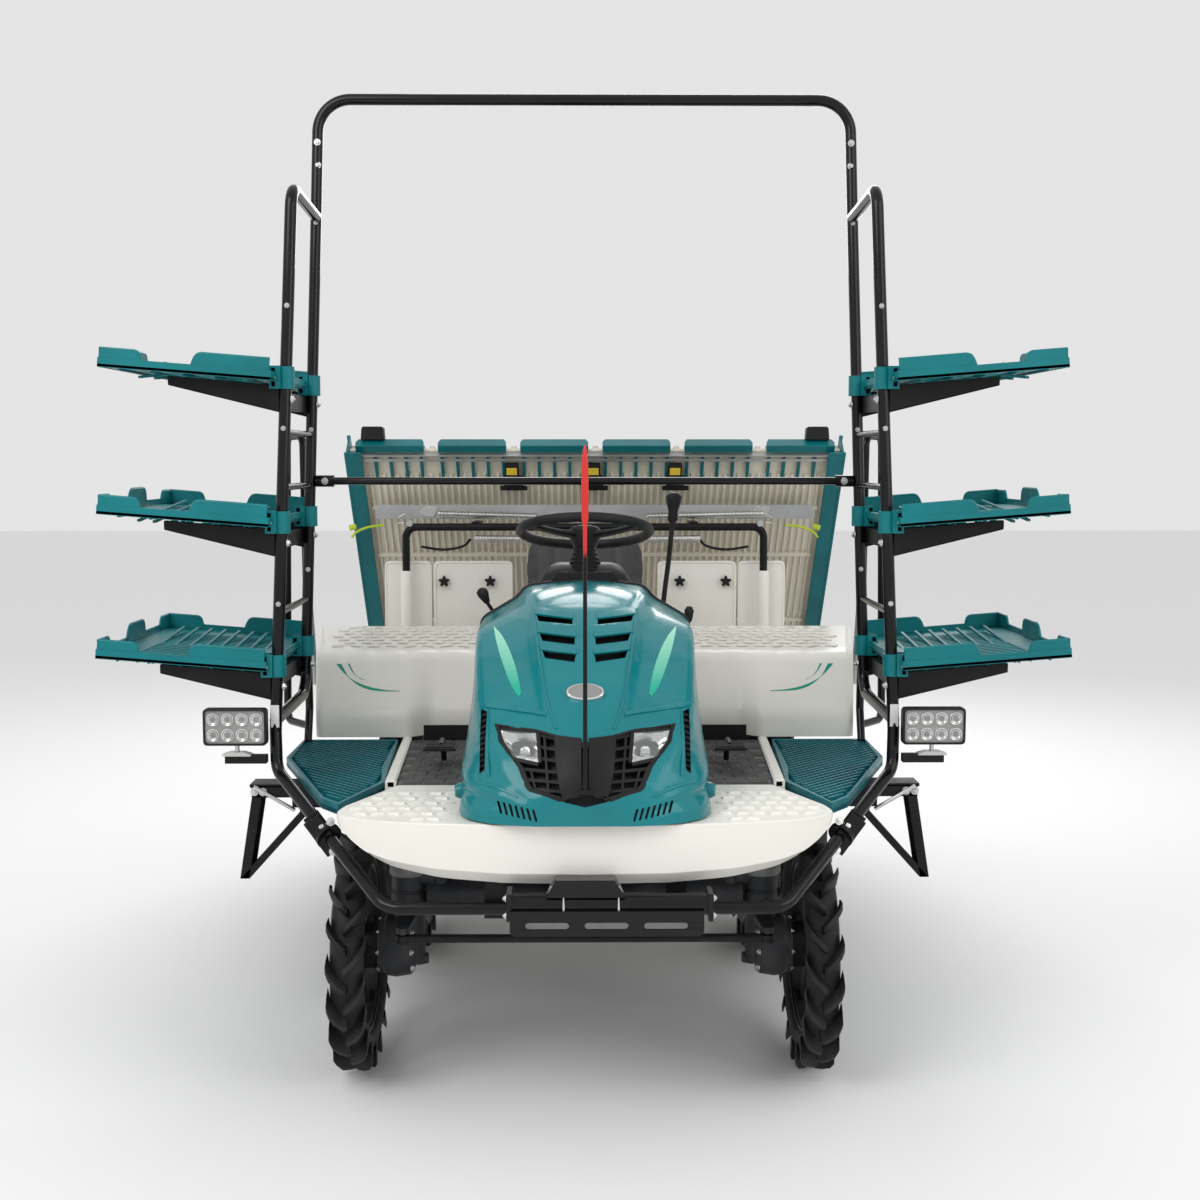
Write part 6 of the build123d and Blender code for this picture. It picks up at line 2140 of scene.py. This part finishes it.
@dataclass
class AxleDetails:
    """Collars, hoses, fittings and bolts round the front axle and its knuckles."""

    def build(self) -> None:
        """Makes the fixed pieces, then those that turn with each knuckle."""
        collars, brass, hoses = Solid(), Solid(), Solid()
        for side in (-1, 1):
            x = side * 0.470
            collars.turned([(0, 0.049), (0.12, 0.052), (0.88, 0.052), (1, 0.049)],
                           (x, -1.040, 0.520), (x, -1.040, 0.560), 28)
            collars.turned([(0, 0.030), (1, 0.026)], (x, -1.040, 0.588), (x, -1.040, 0.606), 18)
            hoses.tube([(side * 0.300, -1.080, 0.520), (side * 0.36, -1.110, 0.585),
                       (side * 0.430, -1.095, 0.600), (side * 0.455, -1.050, 0.600)], 0.006, 0.05, 8)
            brass.turned([(0, 0.010), (0.4, 0.010), (0.42, 0.014), (0.7, 0.014), (0.72, 0.009),
                         (1, 0.009)], (side * 0.330, -1.112, 0.560), (side * 0.395, -1.112, 0.560), 6)
        fit_piece("kingpin_collars", collars, GREY_CASTING, Fit("chassis", "case_dark"), Edge(angle=50))
        fit_piece("axle_hoses", hoses, BLACK_PLASTIC, Fit("chassis", "dark_plastic"), Edge(angle=60))
        fit_piece("axle_fittings", brass, BRASS, Fit("chassis", "galvanised"))
        for side, hand in ((-1, "right"), (1, "left")):
            case = Solid()
            x = side * 0.470
            case.turned([(0, 0.050), (0.15, 0.078), (0.55, 0.084), (0.8, 0.080), (1, 0.060)],
                        (x - side * 0.02, -1.040, 0.325), (x + side * 0.079, -1.040, 0.325), 30)
            case.turned([(0, 0.052), (0.1, 0.056), (0.24, 0.056), (0.3, 0.046),
                        (1, 0.044)], (x, -1.040, 0.420), (x, -1.040, 0.474), 26)
            case.turned([(0, 0.020), (1, 0.014)], (x - side * 0.020, -1.040, 0.288),
                        (x - side * 0.050, -1.040, 0.288), 14)
            fit_piece(
    f"final_drive_{hand}", case, CASTING, Fit(
        f"knuckle_{hand}", "case_dark"), Edge(
            0.002, 2))
            ring = Spots()
            for k in range(8):
                a = math.tau * k / 8
                ring.facing((x + side * 0.0755, -1.040 + 0.070 * math.cos(a), 0.325 + \
                            0.070 * math.sin(a)), (side, 0, 0), (0.7, 0.7, 0.7))
                ring.facing((x - side * 0.008, -1.040 + 0.068 * math.cos(a), 0.325 + \
                            0.068 * math.sin(a)), (-side, 0, 0), (0.9, 0.9, 0.9))
            mesh = ring.grow(f"drive_bolts_{hand}", hex_bolt(), ZINC)
            fit_piece(f"drive_bolts_{hand}", mesh, ZINC, Fit(f"knuckle_{hand}", "galvanised"))


class Tread(Enum):
    """The two kinds of field tyre on the machine."""

    FRONT = "front"
    REAR = "rear"


@dataclass
class FieldWheel:
    """One field wheel's tyre, lugs and rim details.

    Attributes:
        tread: Which kind of tyre it has.
        side: 1 on the left, -1 on the right.
    """

    tread: Tread
    side: int

    @property
    def front(self) -> bool:
        """Whether this is a front wheel."""
        return self.tread is Tread.FRONT

    def build(self) -> None:
        """Makes the carcass, its lugs, the rim's bead rings and the hub's bolts."""
        hand = "left" if self.side > 0 else "right"
        body = f"{self.tread.value}_wheel_{hand}"
        radius = 0.325 if self.front else 0.450
        centre = Vector((self.side *
    (0.600 if self.front else 0.585), -
    1.040 if self.front else 0.010, radius))
        half = 0.047 if self.front else 0.075
        bead = 0.232 if self.front else 0.345
        carcass = radius - (0.040 if self.front else 0.050)
        tyre = Solid()
        profile = [
            (-half * 0.62, bead),
            (-half * 0.86, bead + 0.012),
            (-half * 0.92, mix(bead, carcass, 0.5)),
            (-half * 0.78, carcass - 0.010),
            (-half * 0.40, carcass),
            (half * 0.40, carcass),
            (half * 0.78, carcass - 0.010),
            (half * 0.92, mix(bead, carcass, 0.5)),
            (half * 0.86, bead + 0.012),
            (half * 0.62, bead),
        ]
        rings = []
        for k in range(72):
            a = math.tau * k / 72
            rings.append([centre + Vector((x, r * math.cos(a), r * math.sin(a))) for x, r in profile])
        tyre.loft(rings, closed=True)
        node = f"{self.tread.value}_tyre_{hand}"
        fit_piece(f"{node}_carcass", tyre, TYRE, Fit(body, "tyre", (node,)), Edge(angle=50))
        count = 19 if self.front else 17
        for lean in (-1, 1):
            shape = template_object(f"{node}_lug", self.lug(radius, half, bead, lean), Edge(0.003, 2))
            values = {
                "Template": shape,
                "Material": TYRE.material(),
                "Count": count,
                "Centre": tuple(centre),
                "Start": 0.0 if lean < 0 else math.pi / count,
                "Seed": 7 + lean,
            }
            mesh = Repeater.tree(
    "ring",
    ring_tree).grow(
        f"{node}_lugs",
        bpy.data.meshes.new("lug_seat"),
         values)
            bpy.data.objects.remove(shape)
            name = f"{node}_lugs_{'inner' if lean * self.side < 0 else 'outer'}"
            fit_piece(name, mesh, TYRE, Fit(body, "tyre"), Edge(angle=40))
        self.rim(body, hand, centre, bead)

    def lug(self, radius: float, half: float, bead: float, lean: int) -> Solid:
        """One curved lug that runs from the middle of the tread to its side.

        Args:
            radius: The tyre's outer radius.
            half: Half the tyre's width.
            bead: The tyre's inner radius.
            lean: 1 for a lug on the +X side, -1 for one on the -X side.

        Returns:
            The lug, standing at the top of a wheel whose middle is the origin.
        """
        tall = 0.044 if self.front else 0.054
        solid = Solid()
        rings = []
        stations = (
            (-0.10, 0.0, radius - tall, radius - 0.010, 0.012),
            (0.10, 0.006, radius - tall, radius - 0.003, 0.0125),
            (0.45, 0.022, radius - tall, radius - 0.002, 0.0125),
            (0.80, 0.042, radius - tall - 0.010, radius - 0.005, 0.0135),
            (0.98, 0.058, radius - tall - 0.030, radius - 0.016, 0.0145),
            (1.00, 0.070, mix(bead, radius, 0.22), radius - 0.044, 0.0125),
        )
        for share, sweep, low, high, thick in stations:
            x = lean * share * half
            scale = 1.0 if self.front else 1.35
            rings.append(
                [
                    (x, (sweep - thick) * scale, low),
                    (x, (sweep + thick) * scale, low),
                    (x, (sweep + thick * 0.62) * scale, high),
                    (x, (sweep - thick * 0.62) * scale, high),
                ]
            )
        return solid.loft(rings)

    def rim(self, body: str, hand: str, centre: Vector, bead: float) -> None:
        """The bead rings on both sides of the rim, the hub cap and its bolts."""
        half = 0.022 if self.front else 0.030
        rings, bolts = Solid(), Spots()
        for x in (-half, half):
            loops = []
            for k in range(56):
                a = math.tau * k / 56
                loop = []
                for m in range(8):
                    b = math.tau * m / 8
                    r = bead - 0.004 + 0.0065 * math.cos(b)
                    loop.append(centre + Vector((x + 0.0065 * math.sin(b), r * math.cos(a), r * math.sin(a))))
                loops.append(loop)
            rings.loft(loops, closed=True)
        out = centre + Vector((self.side * 0.018, 0, 0))
        tip = out + Vector((self.side * 0.024, 0, 0))
        rings.turned([(0, 0.048), (0.2, 0.046), (0.75, 0.036), (1, 0.020)], out, tip, 24)
        for k in range(6):
            a = math.tau * (k + 0.5) / 6
            spot = out + Vector((0, 0.053 * math.cos(a), 0.053 * math.sin(a)))
            bolts.facing(spot, (self.side, 0, 0), (0.9, 0.9, 0.9))
        name = f"{self.tread.value}_rim_{hand}"
        fit_piece(f"{name}_beads", rings, BLACK_STEEL, Fit(body, "rim_black"), Edge(angle=50))
        mesh = bolts.grow(f"{name}_bolts", hex_bolt(), ZINC)
        fit_piece(f"{name}_bolts", mesh, ZINC, Fit(body, "galvanised"))


# ------------------------------------------------------------------ planting unit
@dataclass
class SeedlingStage:
    """The sloping stage: ribbed underside, lanes, teal sides, caps, latches and strips."""

    shift: float = 0.038
    top: tuple[float, float] = (0.620, 1.664)
    slope: float = 50.5
    length: float = 1.377

    def frame(self) -> Matrix:
        """The stage's own frame: x across, y down the slope, z out of its face."""
        a = math.radians(self.slope)
        normal = Vector((0, math.sin(a), math.cos(a)))
        across = Vector((1, 0, 0))
        down = normal.cross(across)
        turn = Matrix((across, down, normal)).transposed().to_4x4()
        return Matrix.Translation((self.shift, *self.top)) @ turn

    def fit(self, slot: str, *nodes: str) -> Fit:
        """A fit on the stage's body."""
        return Fit("seedling_stage", slot, nodes)

    def build(self) -> None:
        """Makes every piece of the stage."""
        at = self.frame()
        plate = Solid()
        plate.at = at
        plate.box((-0.899, 0, -0.022), (0.899, self.length, -0.008))
        for lane in range(7):
            x = max(-0.893, min(0.893, (lane - 3) * 0.3))
            plate.box((x - 0.006, 0.020, -0.009), (x + 0.006, self.length, 0.032))
            plate.box((x - 0.010, 0.020, 0.026), (x + 0.010, self.length, 0.033))
        fit_piece(
    "stage_floor", plate, STAGE_CREAM_WITH_PAINTED_LIGHT, self.fit(
        "cream_plastic", "stage_plate"), Edge(
            0.0015, 2))
        ribs, grooves = Spots(), Spots()
        for k in range(72):
            x = -0.880 + k * 0.02479
            ribs.put(at @ Vector((x, self.length / 2 + 0.04, -0.0265)),
                     (at.to_euler().x, 0, 0), (1, self.length - 0.13, 1))
        for lane in range(6):
            for k in range(9):
                x = (lane - 2.5) * 0.3 + (k - 4) * 0.030
                grooves.put(at @ Vector((x, self.length / 2 + 0.05, -0.0065)),
                            (at.to_euler().x, 0, 0), (1, self.length - 0.16, 1))
        rib = Solid().loft([[(-0.0062, y, 0.005), (0.0062, y, 0.005),
                    (0.0036, y, -0.006), (-0.0036, y, -0.006)] for y in (-0.5, 0.5)])
        groove = Solid().loft([[(-0.0045, y, -0.003), (0.0045, y, -0.003),
                       (0.0025, y, 0.003), (-0.0025, y, 0.003)] for y in (-0.5, 0.5)])
        fit_piece(
    "stage_under_ribs",
    ribs.grow(
        "stage_under_ribs",
        rib,
        STAGE_CREAM_WITH_PAINTED_LIGHT),
        STAGE_CREAM_WITH_PAINTED_LIGHT,
         self.fit("cream_plastic"))
        fit_piece(
    "stage_lane_ribs",
    grooves.grow(
        "stage_lane_ribs",
        groove,
        STAGE_CREAM_WITH_PAINTED_LIGHT),
        STAGE_CREAM_WITH_PAINTED_LIGHT,
         self.fit("cream_plastic"))
        cross = Solid()
        cross.at = at
        for y in (0.260, 0.500, 0.860, 1.200):
            cross.box((-0.840, y, -0.040), (0.840, y + 0.014, -0.021))
        fit_piece("stage_cross_ribs", cross, STAGE_CREAM_WITH_PAINTED_LIGHT, self.fit("cream_plastic"), Edge(0.002, 2))
        self.sides(at)
        self.caps(at)
        self.hardware(at)

    def sides(self, at: Matrix) -> None:
        """The teal side walls with their rolled edges and stiffening ribs."""
        walls = Solid()
        walls.at = at
        for side in (-1, 1):
            walls.box((side * 0.8995, -0.020, -0.062), (side * 0.907, self.length + 0.010, 0.044))
            walls.box((side * 0.8995, -0.020, 0.036), (side * 0.913, self.length + 0.010, 0.044))
            walls.box((side * 0.850, -0.020, -0.062), (side * 0.913, self.length + 0.010, -0.054))
            for k in range(9):
                y = 0.060 + k * 0.150
                walls.box((side * 0.905, y, -0.056), (side * 0.912, y + 0.008, 0.038))
                walls.box((side * 0.852, y, -0.056), (side * 0.900, y + 0.005, -0.036))
        fit_piece(
    "stage_side_walls", walls, STAGE_TEAL, self.fit(
        "stage_teal", "stage_sides"), Edge(
            0.0018, 2))

    def caps(self, at: Matrix) -> None:
        """The six teal caps with the bars that hang from them."""
        caps, bars = Solid(), Solid()
        caps.at = bars.at = at
        for lane in range(6):
            x = (lane - 2.5) * 0.3
            outline = [(x - 0.124, -0.010), (x - 0.116, 0.012), (x + 0.116, 0.012),
                        (x + 0.124, -0.010), (x + 0.124, -0.036), (x - 0.124, -0.036)]
            caps.loft([[(a, -0.034 + (0.006 if b > 0 else 0.0), b)
                      for a, b in outline], [(a, -0.0005, b) for a, b in outline]])
            caps.box((x - 0.124, -0.0005, 0.002), (x + 0.124, 0.070, 0.010))
            for k in range(5):
                bx = x - 0.112 + k * 0.056
                bars.box((bx - 0.0055, 0.018, -0.040), (bx + 0.0055, 0.118, -0.022))
        fit_piece("stage_cap_covers", caps, STAGE_TEAL, self.fit("stage_teal", "stage_caps"), Edge(0.003, 3))
        fit_piece("stage_cap_bars", bars, STAGE_TEAL, self.fit("stage_teal"), Edge(0.002, 2))

    def hardware(self, at: Matrix) -> None:
        """The metal strips, latches, labels, end blocks and rail plates."""
        strips, latches, labels = Solid(), Solid(), Solid()
        strips.at = latches.at = labels.at = at
        strips.box((-0.860, 0.004, -0.046), (0.860, 0.010, -0.030))
        strips.box((-0.860, 0.022, -0.044), (0.860, 0.034, -0.040))
        for x in (-0.300, 0.0, 0.300):
            latches.box((x - 0.030, 0.040, -0.058), (x + 0.018, 0.100, -0.040))
            latches.box((x - 0.038, 0.100, -0.066), (x + 0.030, 0.150, -0.040))
            latches.box((x - 0.052, 0.150, -0.060), (x + 0.048, 0.160, -0.040))
            labels.box((x - 0.026, 0.052, -0.0600), (x + 0.012, 0.084, -0.0575))
        fit_piece("stage_strips", strips, GALVANISED, self.fit("galvanised"), Edge(0.001))
        fit_piece("stage_latches", latches, BLACK_PLASTIC, self.fit("dark_plastic"), Edge(0.003, 3))
        fit_piece("stage_labels", labels, YELLOW, self.fit("dark_plastic"))
        blocks, plates = Solid(), Solid()
        for side in (-1, 1):
            x = self.shift + side * 0.812
            blocks.prism([(x - 0.043, 1.690), (x + 0.043, 1.690), (x + 0.040, 1.732), (x + 0.034,
                         1.738), (x - 0.034, 1.738), (x - 0.040, 1.732)], 0.585, 0.629, Plane.FRONT)
            px = self.shift + side * 0.620
            plates.prism([(px - 0.034, 1.424), (px - 0.010, 1.448), (px + 0.034, 1.444),
                         (px + 0.020, 1.404), (px - 0.016, 1.408)], 0.686, 0.690, Plane.FRONT)
        fit_piece(
    "stage_end_blocks", blocks, BLACK_PLASTIC, self.fit(
        "dark_plastic", "stage_blocks"), Edge(
            0.002, 2))
        fit_piece("rail_plates", plates, ZINC, self.fit("galvanised"), Edge(0.001))


@dataclass
class Planter:
    """Springs, cables, guard panels, cases and floats of the planting unit."""

    def build(self) -> None:
        """Makes the visible details of the planting unit."""
        self.springs()
        self.panels()
        self.floats()
        self.gear()

    def spring(self, name: str, start: Point, end: Point, radius: float, wire: float, pitch: float) -> None:
        """A coil spring from start to end, by its coil radius, wire radius and pitch."""
        first, last = Vector(start), Vector(end)
        run = last - first
        values = {
            "Material": ZINC.material(),
            "Turns": run.length / pitch,
            "Radius": radius,
            "Length": run.length,
            "Wire": wire,
        }
        mesh = Repeater.tree("coil", coil_tree).grow(name, bpy.data.meshes.new("coil_seat"), values)
        mesh.transform(Matrix.Translation(first) @ run.to_track_quat("Z", "Y").to_matrix().to_4x4())
        fit_piece(name, mesh, ZINC, Fit("planter", "galvanised"), Edge(angle=60))

    def springs(self) -> None:
        """The two long springs and the two short ones under the rail, with their hooks."""
        self.spring("spring_long_right", (-0.545, 0.655, 1.418),
                    (-0.180, 0.655, 1.408), 0.0105, 0.0021, 0.0052)
        self.spring("spring_long_left", (0.230, 0.655, 1.408), (0.660, 0.655, 1.418), 0.0105, 0.0021, 0.0052)
        self.spring("spring_short_right", (-0.405, 0.560, 1.330),
                    (-0.180, 0.560, 1.328), 0.0120, 0.0022, 0.0054)
        self.spring("spring_short_left", (0.200, 0.560, 1.328), (0.420, 0.560, 1.330), 0.0120, 0.0022, 0.0054)
        hooks, cables, lime = Solid(), Solid(), Solid()
        for side in (-1, 1):
            hooks.tube([(side * 0.665, 0.655, 1.418), (side * 0.700, 0.655, 1.400),
                       (side * 0.690, 0.600, 1.386), (side * 0.660, 0.580, 1.390)], 0.0032, 0.02, 8)
            hooks.turned([(0, 0.012), (0.5, 0.016), (1, 0.012)],
                         (side * 0.640, 0.560, 1.386), (side * 0.640, 0.600, 1.386), 14)
            cables.tube([(side * 0.42, 0.575, 1.328), (side * 0.44, 0.590, 1.300),
                        (side * 0.52, 0.600, 1.285), (side * 0.60, 0.590, 1.300)], 0.005, 0.04, 8)
            lime.tube([(side * 0.745, 0.640, 1.376), (side * 0.800, 0.630, 1.372),
                      (side * 0.850, 0.640, 1.350), (side * 0.862, 0.640, 1.330)], 0.0045, 0.03, 8)
            lime.turned([(0, 0.011), (1, 0.011)], (side * 0.845, 0.640, 1.372),
                        (side * 0.870, 0.640, 1.366), 12)
        fit_piece("spring_hooks", hooks, ZINC, Fit("planter", "galvanised"), Edge(angle=60))
        fit_piece("planter_cables", cables, BLACK_PLASTIC, Fit("planter", "dark_plastic"), Edge(angle=60))
        fit_piece("lime_sleeves", lime, LIME, Fit("planter", "dark_plastic"), Edge(angle=60))

    def panels(self) -> None:
        """The cream guard panels with ribs and star knobs, and the posts' sleeves."""
        panels, knobs, sleeves = Solid(), Solid(), Solid()
        for side in (-1, 1):
            for x0, x1 in ((0.268, 0.560), (0.566, 0.740)):
                outline = rounded([(side * x0, 0.950), (side * x1, 0.950),
                                  (side * x1, 1.245), (side * x0, 1.245)], 0.022, 4)
                panels.prism([tuple(p) for p in outline], 0.626, 0.646, Plane.FRONT)
                frame = [(p.x, p.y) for p in outline]
                cx, cz = side * (x0 + x1) / 2, 1.0975
                inner = [(cx + (x - cx) * 0.93, cz + (z - cz) * 0.94) for x, z in frame]
                panels.loft([[a, b, c, d] for a, b, c, d in [((x, 0.622, z), (u, 0.622, w), (u,
                            0.628, w), (x, 0.628, z)) for (x, z), (u, w) in zip(frame, inner)]], closed=True)
            for x in (0.350, 0.520):
                self.knob(knobs, (side * x, 0.622, 1.170))
            sleeves.turned([(0, 0.020), (0.02, 0.021), (0.98, 0.021), (1, 0.020)],
                           (side * 0.655, 0.580, 0.940), (side * 0.655, 0.580, 1.212), 20)
        fit_piece(
    "guard_panel_covers", panels, CREAM, Fit(
        "planter", "cream_plastic", ("guard_panels",)), Edge(
            0.002, 2))
        fit_piece("guard_knobs", knobs, BLACK_PLASTIC, Fit("planter", "dark_plastic"), Edge(0.002, 2))
        fit_piece("post_sleeves", sleeves, CREAM, Fit("planter", "cream_plastic"), Edge(angle=50))

    def knob(self, solid: Solid, place: Point) -> None:
        """A five-pointed star knob that faces the front."""
        x, y, z = place
        star = []
        for k in range(30):
            a = math.tau * k / 30
            r = 0.0165 + 0.0055 * math.cos(5 * a)
            star.append((x + r * math.sin(a), z + r * math.cos(a)))
        solid.prism(star, y - 0.018, y - 0.004, Plane.FRONT)
        solid.bar((x, y - 0.022, z), (x, y + 0.004, z), 0.009, 16)

    def floats(self) -> None:
        """The three floats with upturned noses and moulded ribs."""
        body = Solid()
        line = ((0.562, 0.435, 0.20), (0.585, 0.385, 0.55), (0.640, 0.345, 0.85), (0.740, 0.322, 1.0),
                (1.000, 0.3205, 1.0), (1.300, 0.3205, 0.96), (1.448, 0.323, 0.86))
        for x, half in ((-0.6, 0.100), (0.0, 0.105), (0.6, 0.100)):
            rings = []
            for y, low, wide in line:
                w = half * wide
                tall = 0.058 if y > 0.58 else 0.040
                ring = rounded([(x - w, low), (x + w, low), (x + w * 0.93, low + tall),
                               (x - w * 0.93, low + tall)], 0.018, 4)
                rings.append([(p.x, y, p.y) for p in ring])
            body.loft(rings)
            for k in range(5):
                y = 0.80 + k * 0.13
                body.box((x - half * 0.86, y, 0.372), (x + half * 0.86, y + 0.010, 0.386))
            body.box((x - 0.020, 0.940, 0.360), (x + 0.020, 1.000, 0.4595))
        fit_piece(
    "float_bodies", body, FLOAT_GREY, Fit(
        "planter", "float_plastic", ("floats",)), Edge(
            0.003, 3))

    def gear(self) -> None:
        """Bolts on the planting cases, and the covers of the planting rotors."""
        bolts, covers = Spots(), Solid()
        for x in (-0.6, 0.0, 0.6):
            for side in (-1, 1):
                for k in range(6):
                    a = math.tau * k / 6
                    bolts.facing((x + side * 0.0352, 1.360 + 0.050 * math.cos(a), 0.500 + \
                                 0.050 * math.sin(a)), (side, 0, 0), (0.8, 0.8, 0.8))
                for y in (0.92, 1.05, 1.18):
                    bolts.facing((x + side * 0.0352, y, 0.545), (side, 0, 0), (0.8, 0.8, 0.8))
                covers.turned([(0, 0.030), (0.6, 0.030), (1, 0.022)], (x + side * 0.1295,
                              1.360, 0.500), (x + side * 0.1345, 1.360, 0.500), 20)
        for side in (-1, 1):
            for z in (0.585, 0.615):
                bolts.facing((side * 0.093, 0.860, z), (side, 0, 0), (1, 1, 1))
        fit_piece(
    "planter_bolts", bolts.grow(
        "planter_bolts", hex_bolt(), ZINC), ZINC, Fit(
            "planter", "galvanised"))
        fit_piece("rotor_covers", covers, GREY_CASTING, Fit("rotors", "case_grey"), Edge(0.001))


# ------------------------------------------------------------------ studio
@dataclass
class Studio:
    """The pale floor, the soft lights and the camera."""

    eye: Point = (0.0, -5.10, 1.62)
    pitch: float = 5.194
    yaw: float = 0.554
    lens: float = 46.53

    def build(self) -> None:
        """Sets up the floor, the lights and the camera."""
        floor = bpy.data.meshes.new("studio_floor")
        floor.from_pydata([(-30, -30, 0), (30, -30, 0), (30, 30, 0), (-30, 30, 0)], [], [(0, 1, 2, 3)])
        ground = carrier("studio_floor", floor)
        material = bpy.data.materials.new("pale_floor")
        material.use_nodes = True
        shader = material.node_tree.nodes["Principled BSDF"]
        shader.inputs["Base Color"].default_value = (0.86, 0.86, 0.86, 1)
        shader.inputs["Roughness"].default_value = 0.8
        floor.materials.append(material)
        world = bpy.data.worlds.new("soft_room")
        bpy.context.scene.world = world
        world.use_nodes = True
        back = world.node_tree.nodes["Background"]
        back.inputs["Color"].default_value = (1, 1, 1, 1)
        back.inputs["Strength"].default_value = 0.78
        self.light("key_light", (-2.6, -4.2, 4.6), 105, 3.0)
        self.light("fill_light", (3.4, -3.4, 3.2), 45, 3.0)
        self.light("rear_light", (0.5, 4.2, 4.0), 120, 3.0)
        data = bpy.data.cameras.new("camera")
        data.lens, data.sensor_width = self.lens, 36.0
        data.clip_start, data.clip_end = 0.05, 100
        camera = bpy.data.objects.new("camera", data)
        bpy.context.scene.collection.objects.link(camera)
        camera.location = self.eye
        camera.rotation_euler = (math.radians(90 - self.pitch), 0, math.radians(-self.yaw))
        bpy.context.scene.camera = camera
        bpy.context.scene.view_settings.view_transform = "Standard"

    def light(self, name: str, place: Point, power: float, size: float) -> None:
        """A large square light aimed at the middle of the machine."""
        data = bpy.data.lights.new(name, "AREA")
        data.energy, data.size = power, size
        lamp = bpy.data.objects.new(name, data)
        bpy.context.scene.collection.objects.link(lamp)
        lamp.location = place
        lamp.rotation_euler = (Vector((0, 0, 1.1)) - Vector(place)).to_track_quat("-Z", "Y").to_euler()


def main() -> None:
    """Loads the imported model, builds every sub-assembly in order and sets up the studio."""
    logging.basicConfig(level=logging.INFO, format="%(name)s: %(message)s")
    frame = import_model()
    dress_nodes(frame["nodes"])
    Bonnet().build()
    FrontDeck().build()
    Floor().build()
    RearCover().build()
    Racks().build()
    WorkLamps().build()
    DriversPlace().build()
    Bumper().build()
    AxleDetails().build()
    for tread in Tread:
        for side in (-1, 1):
            FieldWheel(tread, side).build()
    SeedlingStage().build()
    Planter().build()
    Studio().build()


if __name__ == "__main__":
    main()
